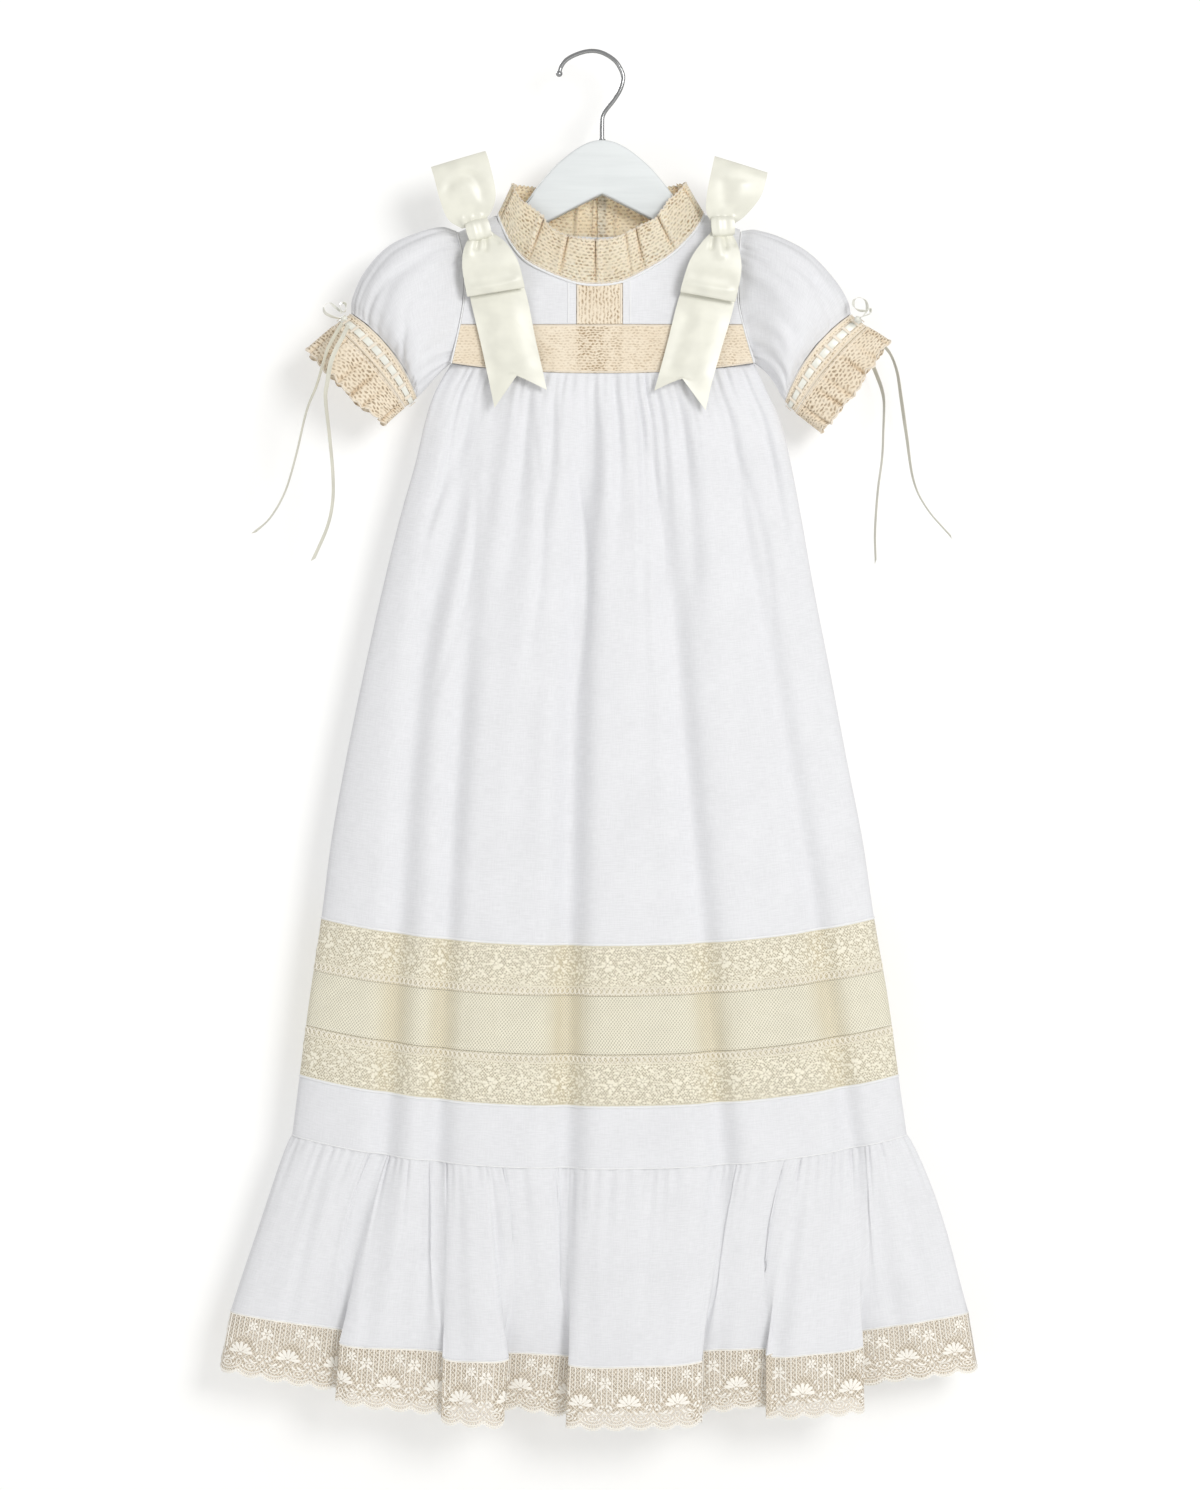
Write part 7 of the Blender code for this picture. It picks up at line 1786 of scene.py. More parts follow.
# --------------------------------------------------------------------- bows
# Creases of each ribbon piece's front, by the (x, drop) places they pass;
# then depth (negative for a ridge) and width.
BOW_CREASES = {
    "bow_left_loop_up": [
        (((-109.0, 106.0), (-107.0, 97.0), (-102.0, 90.5), (-95.0, 88.0), (-88.5, 91.0), (-84.0, 99.0), (-82.0, 110.0)), -1.3, 3.8),
        (((-94.5, 124.0), (-98.5, 116.0)), 0.9, 1.9), (((-90.5, 123.5), (-91.0, 115.0)), 0.9, 1.8), (((-86.5, 122.5), (-83.5, 114.0)), 0.9, 1.8),
    ],
    "bow_left_loop_down": [
        (((-88.5, 129.0), (-92.0, 138.0), (-92.5, 147.0)), -1.2, 2.8), (((-85.8, 129.0), (-87.6, 141.0)), 1.7, 1.8),
        (((-81.0, 128.0), (-80.6, 142.0)), 1.6, 1.7), (((-77.5, 127.0), (-70.5, 136.0)), 1.0, 1.7),
        (((-96.0, 159.5), (-75.0, 158.0), (-57.0, 153.0)), 0.8, 4.5), (((-96.0, 167.0), (-75.0, 164.6), (-54.0, 160.0)), -1.0, 2.2),
    ],
    "bow_left_tail": [
        (((-86.0, 176.0), (-80.0, 205.0), (-72.0, 236.0)), 0.9, 6.0), (((-66.0, 172.0), (-58.0, 200.0), (-50.0, 228.0)), -0.8, 7.0),
    ],
    "bow_right_loop_up": [
        (((86.0, 88.0), (85.0, 100.0), (88.0, 112.0)), -0.9, 5.0), (((97.0, 90.0), (95.0, 101.0), (92.0, 112.0)), 0.8, 5.5),
        (((80.5, 122.5), (79.5, 114.5)), 0.9, 1.8), (((84.5, 123.0), (84.5, 115.0)), 0.9, 1.8), (((88.5, 122.0), (92.0, 115.0)), 0.9, 1.8),
    ],
    "bow_right_loop_down": [
        (((80.5, 128.0), (81.5, 138.0), (83.5, 148.0)), -1.3, 3.0), (((77.6, 128.0), (75.6, 141.0)), 1.7, 1.8),
        (((84.8, 128.0), (86.6, 140.0)), 1.7, 1.8), (((88.8, 128.0), (93.2, 137.5)), 1.0, 1.7),
        (((58.0, 154.5), (76.0, 159.0), (95.0, 160.5)), 0.8, 4.5), (((55.0, 162.0), (76.0, 166.4), (95.0, 169.4)), -1.0, 2.2),
    ],
    "bow_right_tail": [
        (((84.0, 180.0), (76.0, 208.0), (68.0, 238.0)), -0.8, 7.0), (((64.0, 174.0), (54.0, 204.0), (46.0, 232.0)), 0.9, 6.0),
    ],
}


def bow_surface(name, rows):
    count = len(rows)
    fine, columns = (count - 1) * 12 + 1, 41
    at = np.linspace(0, count - 1, fine)
    u = np.linspace(0.0, 1.0, columns)[None, :]
    k = range(count)

    def edge(side, axis):
        smooth = curve_at(k, [r[side][axis] for r in rows], at)
        if "notch" not in rows[-1]:
            return smooth[:, None]
        straight = np.interp(at, k, [r[side][axis] for r in rows])
        return np.where(at > count - 2, straight, smooth)[:, None]

    level = curve_at(k, [r["level"] for r in rows], at)[:, None]
    notch = np.interp(at, k, [r.get("notch", 0.0) for r in rows])[:, None]
    where = rows[-1].get("at", 0.5)
    vee = np.minimum(u / where, (1.0 - u) / (1.0 - where))
    x, drop = lerp(edge("left", 0), edge("right", 0), u), lerp(edge("left", 1), edge("right", 1), u) - notch * vee
    y = -(level + 0.9 * np.sin(np.pi * u))
    points = np.stack((x, y + 0 * x, -drop), -1)
    surface = Surface(points, 1.0)
    turn = 4.3 if "loop" in name else 99.0
    front = smoothstep(turn + 0.2, turn - 0.6, at)[:, None]
    deep = creases(x, drop, BOW_CREASES[name]) * front
    if "loop" in name:
        # The far side of the loop has gathers of its own at the knot.
        back = smoothstep(1.6, 0.0, (count - 1) - at)[:, None]
        deep = deep + 0.7 * back * np.sin(u * 2 * np.pi * 3.3 + 0.8)
    points = points - surface.normals * deep[..., None]
    return Surface(points, surface.outward)


def build_bows(mats):
    for name, rows in BOW_ROWS.items():
        surface = bow_surface(name, rows)
        piece = shell(name + "_satin", surface, mats["satin"], 0.4)
        own(piece, "satin", name)
        side = name.split("_")[1]
    for name, size in KNOTS.items():
        # A band of ribbon wrapped round the bow's middle, with pressed creases.
        columns, rows = 72, 28
        angle = np.arange(columns) * 2 * math.pi / columns
        v = np.linspace(-1.0, 1.0, rows)
        c, s = np.cos(angle), np.sin(angle)
        cc = np.sign(c) * np.abs(c) ** 0.55
        ss = np.sign(s) * np.abs(s) ** 0.75
        swell = (1.0 - 0.10 * np.abs(v) ** 3)[:, None]
        fold = 0.5 * np.exp(-(((v + 0.35) / 0.14) ** 2))[:, None] * (0.5 + 0.5 * np.cos(angle - 1.2))[None, :]
        fold = fold - 0.45 * np.exp(-(((v - 0.3) / 0.2) ** 2))[:, None] * (0.5 + 0.5 * np.cos(angle - 2.0))[None, :]
        width, deep, high = size["wide"] / 2, size["deep"] / 2, size["high"] / 2
        # The band runs down over the ribbon's middle and back up behind it.
        y = -(deep * swell * ss[None, :] + 0.9 * fold * s[None, :])
        z = high * swell * cc[None, :] + 0.5 * fold * c[None, :]
        x = (width * v)[:, None] * (1.0 - 0.08 * np.abs(c)[None, :]) + 0.0 * y
        turn = math.radians(size["turn"])
        px = x * math.cos(turn) - z * math.sin(turn) + size["x"]
        pz = x * math.sin(turn) + z * math.cos(turn) - size["drop"]
        points = np.stack((px, y - size["level"], pz), -1)
        surface = tube_surface(points)
        u, w = surface.u[:columns], surface.v
        lengths = (np.broadcast_to(w[:, None], (rows, columns)), np.broadcast_to(u[None, :], (rows, columns)))
        piece = shell(name + "_satin", surface, mats["satin"], 0.5, lengths=lengths)
        own(piece, "satin", name)
        side = name.split("_")[1]
    for name, line in CUFF_BOWS.items():
        at = np.linspace(0, len(line) - 1, 150)
        x, drop, level = (curve_at(range(len(line)), [p[c] for p in line], at) for c in ("x", "drop", "level"))
        middle = np.stack((x, -level, -drop), -1)
        way = np.gradient(middle, axis=0)
        way /= np.linalg.norm(way, axis=1, keepdims=True)
        # The strip stands nearly on edge and twists a little as it turns.
        lean = 0.55 * np.sin(at * 0.9)
        side = np.stack((np.sin(lean), -np.cos(lean), 0.3 * np.sin(at)), -1)
        side -= way * (side * way).sum(1, keepdims=True)
        side /= np.linalg.norm(side, axis=1, keepdims=True)
        grid = np.stack([middle + side * (e * NARROW_RIBBON / 2) for e in (-1.0, -0.5, 0.0, 0.5, 1.0)], 1)
        own(shell(name + "_ribbon", Surface(grid, 1.0), mats["ribbon"], 0.25), "satin", name)
        knot = middle[0]
        ring = []
        for k in range(14):
            angle = math.pi * k / 13
            ring.append((1.9 * math.cos(angle), 2.3 * math.sin(angle)))
        profile = np.array(ring)
        sides = 18
        turn = np.arange(sides) * 2 * math.pi / sides
        dents = 1.0 + 0.10 * np.sin(turn * 3)
        grid = np.stack([np.stack((r * np.cos(turn) * dents, r * np.sin(turn) * 0.8, np.full(sides, h)), -1) for h, r in profile[1:-1]])
        grid += knot + np.array([0.0, -1.6, 0.0])
        surface = tube_surface(grid)
        own(shell(name + "_knot", surface, mats["ribbon"], 0.25), "satin")


# ------------------------------------------------------------------- hanger
def build_hanger(mats):
    # The right half: 60 places along the upper edge to the arm's end, and 60
    # along the underside back to the middle. The left half mirrors it.
    rows = [dict(HANGER_OUTLINE[1], x=-HANGER_OUTLINE[1]["x"])] + HANGER_OUTLINE
    tip = 1 + max(range(len(HANGER_OUTLINE)), key=lambda k: HANGER_OUTLINE[k]["x"])
    at = np.concatenate((np.linspace(1, tip, 61), np.linspace(tip, len(rows) - 1, 61)[1:]))
    x, drop = (curve_at(range(len(rows)), [row[c] for row in rows], at) for c in ("x", "drop"))
    x[0] = x[-1] = 0.0
    ring = np.stack((np.concatenate((x, -x[-2:0:-1])), -np.concatenate((drop, drop[-2:0:-1]))), -1)
    way = np.roll(ring, -1, 0) - np.roll(ring, 1, 0)
    inwards = np.stack((way[:, 1], -way[:, 0]), -1)
    inwards /= np.linalg.norm(inwards, axis=1, keepdims=True)
    if inwards[0, 1] > 0:
        inwards = -inwards
    profile = [(1.7, -5.5), (1.05, -5.37), (0.5, -5.0), (0.13, -4.45), (0.0, -3.8), (0.0, 3.8), (0.13, 4.45), (0.5, 5.0), (1.05, 5.37), (1.7, 5.5)]
    grid = np.stack([np.column_stack((ring[:, 0] + inwards[:, 0] * cut, np.full(len(ring), y), ring[:, 1] + inwards[:, 1] * cut)) for cut, y in profile])
    count, columns = grid.shape[:2]
    points = grid.reshape(-1, 3)
    quads = [grid_faces(count, columns, around=True, flip=True)]
    # Flat faces: strips between matching places of the upper and lower edge.
    k = np.arange(60)
    for row, flip in ((0, True), (count - 1, False)):
        right = np.stack((k, k + 1, 119 - k, 120 - k), -1) + row * columns
        left = np.stack(((240 - k) % 240, 120 + k, 121 + k, 239 - k), -1) + row * columns
        for strip in (right, left):
            quads.append(strip[:, ::-1] if flip else strip)
    quads = np.concatenate(quads)
    three = quads[:, 1] == quads[:, 2]
    again = quads[:, 2] == quads[:, 3]
    tris = np.concatenate((quads[three][:, (0, 1, 3)], quads[again][:, (0, 1, 2)]))
    body = make("hanger_body_wood", points, [quads[~three & ~again], tris], mats["paint"], sharp=35)
    own(body, "wood_white", "hanger_body")

    at = np.linspace(0, len(HOOK_LINE) - 1, 260)
    x, drop = (curve_at(range(len(HOOK_LINE)), [row[c] for row in HOOK_LINE], at) for c in ("x", "drop"))
    hook = tube("hanger_hook_wire", np.stack((x, np.zeros_like(x), -drop), -1), 1.5, mats["steel"], 20)
    own(hook, "steel", "hanger_hook")
    turned = [(0.05, 2.3), (0.9, 2.1), (1.7, 1.55), (2.15, 0.8), (2.3, 0.0), (2.15, -0.8), (1.7, -1.55), (0.9, -2.1), (0.05, -2.3)]
    ball = lathe("hanger_hook_tip", turned, mats["steel"], (HOOK_LINE[0]["x"], 0.0, -HOOK_LINE[0]["drop"] - 0.6), 24)
    own(ball, "steel")
    ring = [(2.3, 0.0), (2.6, 0.35), (2.6, 0.9), (2.2, 1.3), (1.6, 1.35)]
    angle = np.arange(28) * 2 * math.pi / 28
    grid = np.stack([np.stack((r * np.cos(angle), r * np.sin(angle), np.full(28, h - 61.2)), -1) for r, h in ring])
    own(shell("hanger_hook_collar", tube_surface(grid), mats["steel"], 0.4), "steel")


# --------------------------------------------------------------------- lace
def net_between(surface, name, material, low_edge=None):
    """The net ground: the surface, with a cut lower edge where one is given."""
    if low_edge is None:
        return single(name, surface, material)
    rows, columns = surface.points.shape[:2]
    u = surface.u[:columns]
    v = surface.v[:, None] * (low_edge(u)[None, :] / surface.v[-1])
    points = surface.place(np.broadcast_to(u, v.shape), v)
    cut = Surface(points, surface.outward, surface.around)
    return single(name, cut, material, lengths=(np.broadcast_to(u, v.shape), v))


def floral_chart():
    """A generic spray that repeats every 44 mm: small open flowers, curling
    stems with leaves, and filling stitches. 0 to 36 down."""
    chart = Chart()
    petal = np.random.RandomState(4)
    for u, v, reach, turn in ((11, 14.5, 5.6, 10), (33, 17.5, 5.0, 0), (23.0, 6.8, 3.0, 15), (42.6, 6.5, 2.8, 40), (22.0, 24.0, 2.8, 0)):
        petals = 7 if reach > 4 else 5
        for k in range(petals):
            way = turn + 360.0 * k / petals + petal.uniform(-10, 10)
            size = petal.uniform(0.8, 1.15)
            c, w = math.cos(math.radians(way)), math.sin(math.radians(way))
            chart.leaf(u + c * reach * 0.6 * size, v + w * reach * 0.6 * size, way, reach * 0.7 * size, reach * petal.uniform(0.34, 0.5), 0.36, 7, 0.3)
            if reach > 4:
                chart.leaf(u + c * reach * 1.16, v + w * reach * 1.16, way + petal.uniform(50, 130), reach * 0.4, reach * 0.24, 0.3, 6)
        chart.leaf(u, v, 0, reach * 0.4, reach * 0.4, 0.4, 6)
    t = np.linspace(0, 1, 10)
    chart.strand(np.stack((17 + 11 * t, 20 - 9 * np.sin(t * math.pi) * 0.6 + 3 * t), -1), 0.7, 0.3)
    chart.strand(np.stack((3 - 6 * t, 19 + 5 * np.sin(t * math.pi * 0.9)), -1), 0.7, 0.3)
    chart.strand(np.stack((38 + 5 * t, 22 + 4 * np.sin(t * math.pi * 0.8)), -1), 0.7, 0.3)
    chart.strand(np.stack((15 + 10 * t, 27 - 2.2 * np.sin(t * math.pi)), -1), 0.7, 0.3)
    for u, v, turn, long in (
        (20, 12.5, -35, 4.4), (25.5, 12.0, 215, 4.0), (28.0, 9.5, 60, 3.8), (19.0, 18.8, 40, 4.2), (26.0, 20.5, 150, 4.0),
        (2.5, 22.5, 30, 4.4), (40.5, 12.5, 70, 4.2), (39.5, 24.5, -30, 4.2), (0.0, 20.5, 20, 4.0), (36.0, 8.0, 120, 4.2),
        (5.0, 4.5, 20, 4.2), (14.0, 4.2, -10, 4.2), (30.0, 4.0, 15, 4.2), (36.5, 3.0, -25, 3.6), (9.5, 25.5, -15, 4.4),
        (15.5, 23.5, 10, 3.8), (30.0, 27.0, -8, 4.0), (35.5, 27.3, 20, 3.6), (1.5, 11.0, 90, 3.8), (2.0, 16.0, 100, 3.6),
    ):
        chart.leaf(u, v, turn, long, long * 0.44, 0.36, 7)
    rng = np.random.RandomState(9)
    spots = []
    circles = [(11, 14.5, 7.0), (33, 17.5, 6.4), (23, 6.8, 3.2), (42.6, 6.5, 3.0), (22, 24, 3.0), (-1.4, 6.5, 3.0)]
    for _ in range(4200):
        u, v = rng.uniform(0, 44), rng.uniform(1.5, 28.8)
        if any(math.hypot(u - a, v - b) < r for a, b, r in circles):
            continue
        if any(math.hypot(min(abs(u - a), 44 - abs(u - a)), v - b) < 1.85 for a, b in spots):
            continue
        spots.append((u, v))
    for u, v in spots:
        chart.leaf(u, v, rng.choice([38, 142, 38, 142, 0]) + rng.uniform(-16, 16), rng.uniform(1.7, 2.9), rng.uniform(0.85, 1.25), 0.28, 6)
    return chart


def loop_edge_chart(step=3.9):
    """One repeat of the looped edge between the lace and the net."""
    chart = Chart()
    chart.ring(step / 2, 32.7, 1.6, 2.3, 0.85, 0.5, turn=20, sides=11)
    chart.leaf(0.1, 34.2, 70, 2.0, 0.8, 0.4, 5)
    return chart


def build_skirt(mats):
    for back in (False, True):
        where = "back" if back else "front"
        columns, rows = (150, 56) if back else (232, 78)
        surface = ring_surface("waist", "lace_upper_top", columns, rows, back, 1.35)
        piece = shell(f"skirt_{where}_cloth", surface, mats["cotton"], 0.4)
        own(piece, "cotton", f"skirt_{where}")

        for level, upper, lower in (("upper", "lace_upper_top", "lace_upper_bottom"), ("lower", "lace_lower_top", "lace_lower_bottom")):
            surface = ring_surface(upper, lower, 220, 12, back)
            name = f"lace_{level}_{where}"
            # The net is coloured darker down in the skirt's creases: painted shade.
            ground = single(f"{name}_net", surface, mats["ivory_net"], painted_fold_shade=fold_shade(surface, back))
            own(ground, "lace_ivory", name)
            depth = surface.v[-1]
            flip = 36.0 if level == "lower" else None
            flowers = CHARTS["floral"].lay(f"{name}_flowers", surface, mats["ivory_thread"], 44.0, 0.0, None, depth / 36.0, flip_v=flip)
            own(flowers, "lace_ivory")
            loops = CHARTS["loops"].lay(f"{name}_loops", surface, mats["loop_thread"], 3.9, 0.0, None, depth / 36.0, flip_v=flip)
            own(loops, "lace_ivory")
            lines = Chart()
            u = np.linspace(0.5, surface.u[-1] - 0.5, 200)
            for v, wide in ((29.7, 0.9), (0.9, 0.7)):
                lines.strand(np.stack((u, np.full(200, v)), -1), wide, 0.5)
            lines = lines.lay(f"{name}_lines", surface, mats["ivory_thread"], scale_v=depth / 36.0, flip_v=flip)
            own(lines, "lace_ivory")

        surface = ring_surface("lace_upper_bottom", "lace_lower_top", 220, 12, back)
        # The net is coloured darker down in the skirt's creases: painted shade.
        piece = single(f"tulle_{where}_net", surface, mats["tulle"], painted_fold_shade=fold_shade(surface, back))
        own(piece, "net", f"tulle_{where}")

        surface = ring_surface("lace_lower_bottom", "flounce_top", 180, 10, back)
        piece = shell(f"plain_band_{where}_cloth", surface, mats["cotton"], 0.4)
        own(piece, "cotton", f"plain_band_{where}")

        # Rolled and whipped edges where cotton meets lace, and the seam that
        # gathers the flounce.
        for seam, lift, radius in (("lace_upper_top", 0.35, 0.85), ("lace_lower_bottom", 0.35, 0.85), ("flounce_top", 0.25, 0.6)):
            s = columns_of(270)
            points = skirt_points(s, seam_drop(SEAMS[seam], s), back)
            points[0, 1] = points[-1, 1] = 0.4 if back else -0.4
            points[:, 1] += lift if back else -lift
            size = radius * (1.0 + 0.10 * np.sin(np.arange(271) * 1.9))
            own(tube(f"seam_{seam}_{where}", points, size, mats["piping"], 6, 0.8), "cotton")

        surface, push = flounce_surface(back, 2.1 if back else 1.6, 28 if back else 37)
        piece = shell(f"flounce_{where}_cloth", surface, mats["cotton"], 0.4)
        own(piece, "cotton", f"flounce_{where}")
        hem_line = surface.points[-1].copy()
        hem_line[:, 1] += 0.25 if back else -0.25
        step = 2
        own(tube(f"seam_hem_{where}", hem_line[::step] if len(hem_line) % step else hem_line, 0.65, mats["piping"], 6, 0.8), "cotton")

        surface = hem_surface(back, 2.1 if back else 1.6, 16, push)
        depth = surface.v[-1]
        scallops = max(1, round(surface.u[-1] / 34.0)) * 2
        pitch = surface.u[-1] / scallops
        edge = lambda u: depth - 0.6 - 3.6 * (1.0 - np.abs(np.sin(np.pi * u / pitch)) ** 0.75)
        ground = net_between(surface, f"hem_lace_{where}_net", mats["hem_net"], edge)
        own(ground, "lace_ivory", f"hem_lace_{where}")
        figures = CHARTS["hem"].lay(f"hem_lace_{where}_figures", surface, mats["hem_thread"], 34.0, 0.0, None, depth / 48.0)
        own(figures, "lace_ivory")


def hem_chart():
    """One 34 mm repeat of the hem lace, 48 deep: ribs, a small flower, a fan,
    ovals and a double scalloped edge with picots."""
    chart = Chart()
    for k, low in enumerate((29.0, 27.5, 23.5, 18.5, 16.0, 16.0, 18.5, 23.5, 27.5)):
        u = (k + 0.35) * 34.0 / 9
        v = np.linspace(1.2, low, 5)
        chart.strand(np.stack((np.full(len(v), u), v), -1), 0.8, 0.4)
        for v in np.arange(2.6 + 1.3 * (k % 2), low, 2.6):
            chart.leaf(u + 34.0 / 18, v, 60, 2.2, 0.55, 0.3, 5)
    u = np.linspace(0, 34, 24)
    chart.strand(np.stack((u, np.full(24, 0.8)), -1), 1.2, 0.5)
    # Two small open flowers among the ribs, with a leaf or two each.
    for at, low, reach in ((0.0, 12.0, 2.9), (23.6, 7.6, 2.2)):
        for turn in range(0, 360, 60):
            c, w = math.cos(math.radians(turn)), math.sin(math.radians(turn))
            chart.leaf(at + c * reach, low + w * reach, turn, reach * 1.15, reach * 0.8, 0.5, 7, 0.3)
        chart.leaf(at, low, 0, 1.5, 1.5, 0.6, 6)
        chart.leaf(at - 3.6, low + 4.6, 130, 3.6, 1.5)
        chart.leaf(at + 3.6, low + 4.6, 50, 3.6, 1.5)
    # Fan flower: petals open upwards from a small heart.
    for turn in (-172, -145, -118, -90, -62, -35, -8):
        c, w = math.cos(math.radians(turn)), math.sin(math.radians(turn))
        chart.leaf(17 + c * 5.6, 29.5 + w * 5.6, turn, 6.6, 2.5, 0.6, 8, 0.35)
    for turn in (-150, -105, -75, -30):
        c, w = math.cos(math.radians(turn)), math.sin(math.radians(turn))
        chart.leaf(17 + c * 2.3, 29.8 + w * 2.3, turn, 2.8, 1.4, 0.75, 7, 0.3)
    chart.leaf(17, 30.6, 0, 3.2, 2.0, 0.75)
    t = np.linspace(0, 1, 10)
    for side in (-1, 1):
        chart.strand(np.stack((17 + side * (2 + 11 * t), 33.4 - 4.5 * np.sin(t * math.pi * 0.9) + 1.2 * t), -1), 0.6, 0.4)
        chart.leaf(17 + side * 8.6, 34.4, 90 - side * 55, 4.4, 1.8)
        chart.leaf(17 + side * 12.6, 30.6, 90 + side * 25, 4.2, 1.7)
        chart.leaf(17 + side * 4.4, 34.6, 90 - side * 35, 3.6, 1.6)
        chart.leaf(17 + side * 11.4, 25.2, 90 + side * 10, 3.8, 1.5)
        chart.leaf(17 + side * 8.8, 21.0, 90 + side * 30, 3.4, 1.3)
    for turn in range(18, 378, 72):
        c, w = math.cos(math.radians(turn)), math.sin(math.radians(turn))
        chart.leaf(c * 2.6, 31.6 + w * 2.6, turn, 2.8, 1.8, 0.5, 6, 0.3)
    t = np.linspace(0, 1, 15)
    rise = lambda t: 4.0 * (1.0 - np.abs(np.sin(math.pi * t)) ** 0.75)
    for base in (0.0, 17.0):
        u = base + 17.0 * t
        chart.strand(np.stack((u, 46.4 - rise(t)), -1), 1.3, 0.55)
        chart.strand(np.stack((u, 43.2 - rise(t) * 0.9), -1), 0.9, 0.45)
        chart.ring(base + 8.5, 38.6, 3.4, 2.3, 0.9, 0.45)
        chart.leaf(base + 8.5, 38.6, 0, 2.6, 1.4, 0.45, 7)
        chart.ring(base + 0.0, 36.8, 1.7, 2.3, 0.8, 0.4, sides=10)
        for p, q, turn in ((3.4, 39.2, 60), (13.6, 39.2, 120), (5.4, 35.2, 20), (11.6, 35.2, -20)):
            chart.leaf(base + p, q, turn, 3.2, 1.3, 0.4, 6)
        for p in np.linspace(0.05, 0.95, 9):
            chart.leaf(base + 17 * p, 47.7 - float(rise(p)), 90, 1.5, 1.3, 0.35, 5)
        for p in np.linspace(0.08, 0.92, 10):
            chart.leaf(base + 17 * p, 45.0 - float(rise(p)) * 0.95, 90, 1.5, 0.5, 0.35, 5)
    return chart


CHARTS = {"floral": floral_chart(), "loops": loop_edge_chart(), "hem": hem_chart()}


# -------------------------------------------------------------------- stage
def build_stage():
    scene = bpy.context.scene
    scene.view_settings.view_transform = "Standard"
    scene.view_settings.look = "None"
    scene.view_settings.exposure = 0.0
    scene.view_settings.gamma = 1.0
    world = bpy.data.worlds.new("studio")
    scene.world = world
    world.use_nodes = True
    sky = world.node_tree.nodes["Background"]
    sky.inputs["Color"].default_value = (1.0, 0.995, 0.985, 1.0)
    sky.inputs["Strength"].default_value = 0.58

    def plane(name, corners, material):
        mesh = bpy.data.meshes.new(name)
        mesh.from_pydata(corners, [], [(0, 1, 2, 3)])
        mesh.materials.append(material)
        obj = bpy.data.objects.new(name, mesh)
        scene.collection.objects.link(obj)
        return obj

    # The wall shows from its front only and blocks no light, so the back of
    # the gown is lit like its front. It glows a little, as a lit sweep does.
    wall = bpy.data.materials.new("backdrop")
    wall.use_nodes = True
    tree = wall.node_tree
    tree.nodes.clear()
    out = tree.nodes.new("ShaderNodeOutputMaterial")
    matte = tree.nodes.new("ShaderNodeBsdfDiffuse")
    matte.inputs["Color"].default_value = (0.99, 0.99, 0.98, 1.0)
    glow = tree.nodes.new("ShaderNodeEmission")
    glow.inputs["Color"].default_value = (1.0, 1.0, 0.995, 1.0)
    lit = tree.nodes.new("ShaderNodeMixShader")
    lit.inputs[0].default_value = 0.3
    clear = tree.nodes.new("ShaderNodeBsdfTransparent")
    mix = tree.nodes.new("ShaderNodeMixShader")
    facing = tree.nodes.new("ShaderNodeNewGeometry")
    tree.links.new(matte.outputs[0], lit.inputs[1])
    tree.links.new(glow.outputs[0], lit.inputs[2])
    tree.links.new(facing.outputs["Backfacing"], mix.inputs[0])
    tree.links.new(lit.outputs[0], mix.inputs[1])
    tree.links.new(clear.outputs[0], mix.inputs[2])
    tree.links.new(mix.outputs[0], out.inputs["Surface"])
    y = 0.0375
    sweep = plane("backdrop", [(-3, y, -1.2), (3, y, -1.2), (3, y, 1.6), (-3, y, 1.6)], wall)
    sweep.visible_diffuse = sweep.visible_glossy = sweep.visible_transmission = sweep.visible_shadow = False

    ground = bpy.data.materials.new("pale_floor")
    ground.use_nodes = True
    ground.node_tree.nodes["Principled BSDF"].inputs["Base Color"].default_value = (0.9, 0.9, 0.89, 1.0)
    ground.node_tree.nodes["Principled BSDF"].inputs["Roughness"].default_value = 0.9
    z = -1.2
    plane("floor", [(-3, -4, z), (3, -4, z), (3, 3, z), (-3, 3, z)], ground)

    def lamp(name, where, size, watts, color=(1, 1, 1)):
        data = bpy.data.lights.new(name, "AREA")
        data.shape = "DISK"
        data.size = size
        data.energy = watts
        data.color = color
        obj = bpy.data.objects.new(name, data)
        obj.location = where
        aim = np.array((0.0, 0.0, -0.45)) - np.array(where)
        obj.rotation_euler = turned_to(aim)
        scene.collection.objects.link(obj)
        return obj

    lamp("key", (1.65, -3.0, 0.6), 1.4, 60.0, (1.0, 0.995, 0.985))
    lamp("fill", (-2.4, -2.2, -0.4), 1.8, 9.0)
    lamp("rear_key", (-1.5, 2.3, 1.0), 1.3, 30.0)


def turned_to(aim):
    return Vector(aim).to_track_quat("-Z", "Y").to_euler()


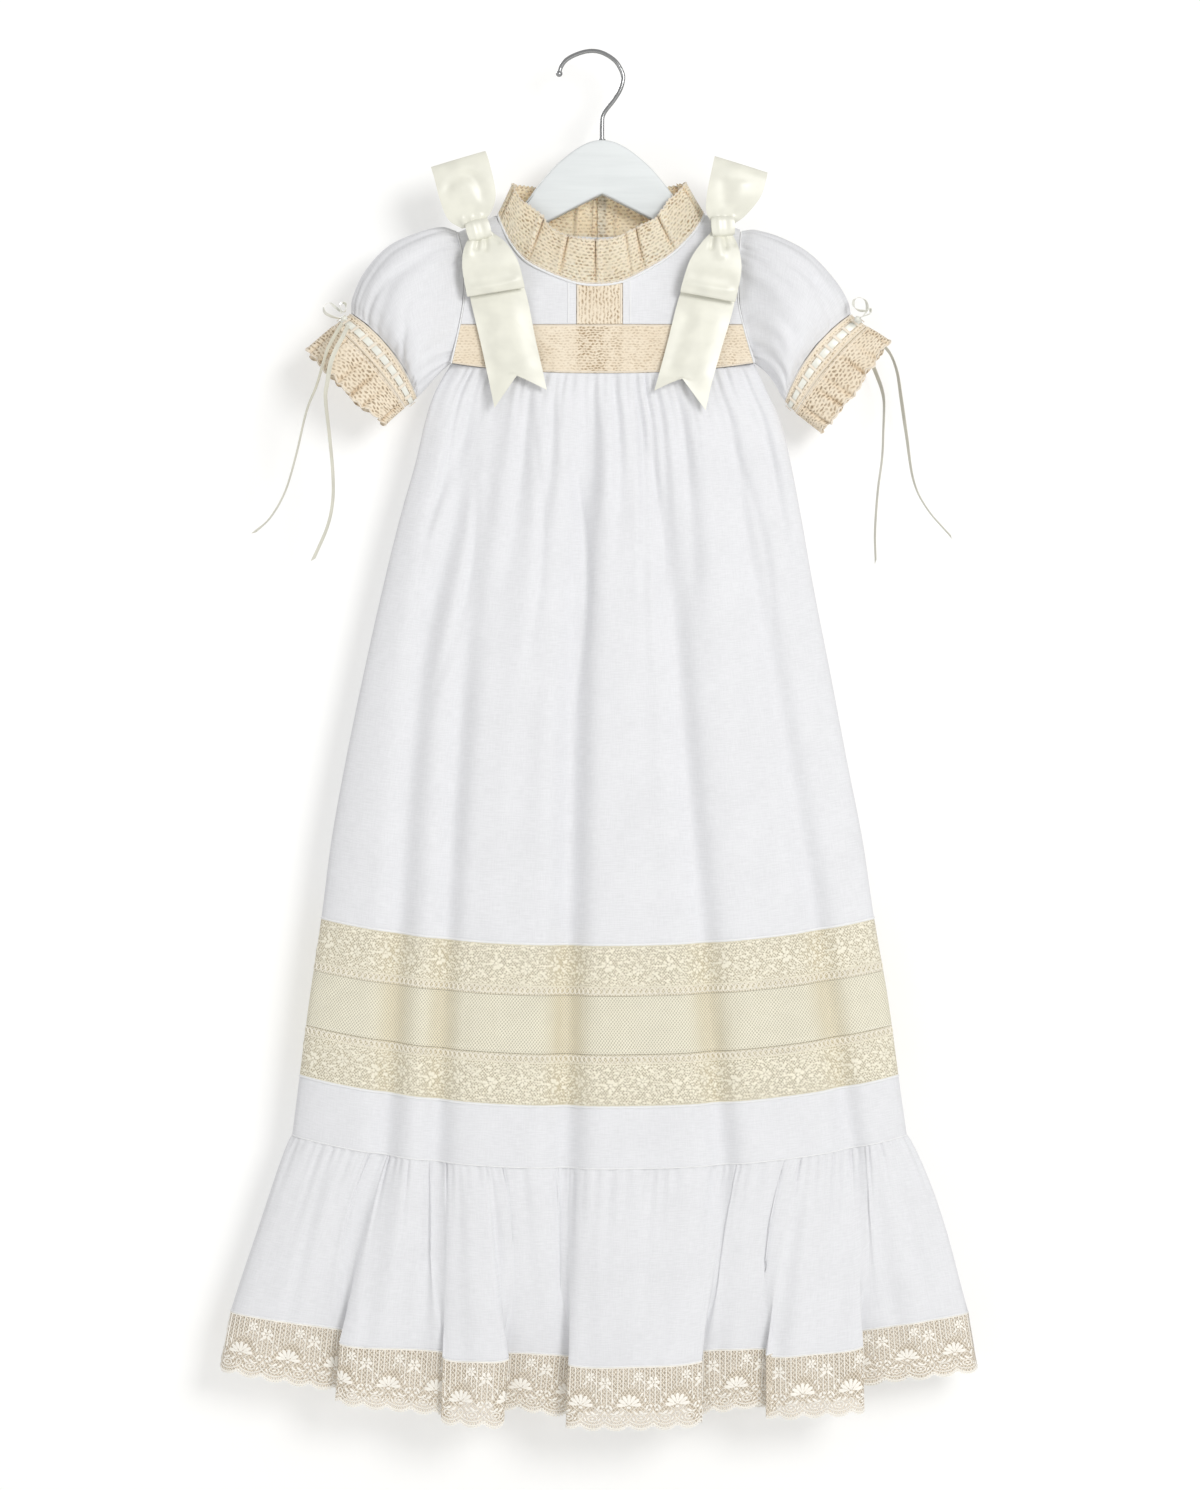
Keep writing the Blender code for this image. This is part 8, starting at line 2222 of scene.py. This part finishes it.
# --------------------------------------------------------------------- main
def main():
    build_camera()
    mats = {
        "cotton": cotton_finish(),
        "piping": cotton_finish("cotton_piping", (0.82, 0.825, 0.835), 0.35),
        "ribbon": satin_finish("narrow_ribbon", (0.78, 0.78, 0.71), 1.6),
        # A darker copy of the narrow ribbon for its free tails: painted shade.
        "ribbon_shaded": satin_finish("narrow_ribbon_shaded", (0.64, 0.63, 0.54), 1.6),
        "satin": satin_finish(),
        "collar_lace": pierced_finish("collar_lace", 3.9, 2.2, 1.3, 0.52, tilt=0.2, open_share=0.45, color=(0.84, 0.745, 0.605), painted_fold_shade=True, strength=0.85, thin=0.6),
        "cuff_lace": pierced_finish("cuff_lace", 3.8, 2.1, 1.2, 0.52, tilt=0.3, open_share=0.8, painted_fold_shade=True, strength=0.95),
        "beading_lace": pierced_finish("beading_lace", 2.8, 2.0, 0.6, 0.4, open_share=0.5),
        "strip_lace": pierced_finish("insertion_strip_lace", 3.6, 2.5, 1.35, 0.52, tilt=0.5, open_share=0.45, upright=True, strength=1.0),
        "band_lace": pierced_finish("insertion_band_lace", 3.2, 1.9, 1.15, 0.5, tilt=0.45, open_share=0.4, middle=(-1.7, 16.0), strength=1.0),
        "cream_thread": thread_finish("cream_thread", (0.83, 0.75, 0.635)),
        "ivory_thread": thread_finish("ivory_thread", IVORY_LIGHT),
        "loop_thread": thread_finish("loop_thread", (0.86, 0.82, 0.72)),
        "ivory_net": net_finish("ivory_net", IVORY, 1.9, 0.2, 0.6, tone_by=0.09, shade=(0.74, 0.68, 0.58), painted_fold_shade=True),
        "tulle": net_finish("tulle", (0.85, 0.82, 0.685), 2.1, 0.19, 0.6, tone_by=0.09, shade=(0.87, 0.84, 0.79), painted_fold_shade=True),
        # The hem net's own colour is made darker than its thread, as painted shade of what lies behind it.
        "hem_net": net_finish("hem_net", (0.74, 0.67, 0.565), 2.6, 0.16, 0.42, tone_by=0.08, shade=(0.80, 0.75, 0.68)),
        "hem_thread": thread_finish("hem_thread", HEM_CREAM),
        "paint": paint_finish(),
        "steel": steel_finish(),
        "pearl": pearl_finish(),
    }
    build_cords(mats["ribbon_shaded"])
    build_stage()
    build_hanger(mats)
    build_yoke(mats)
    build_buttons(mats)
    build_neck(mats)
    build_sleeves(mats)
    build_bows(mats)
    build_skirt(mats)


main()
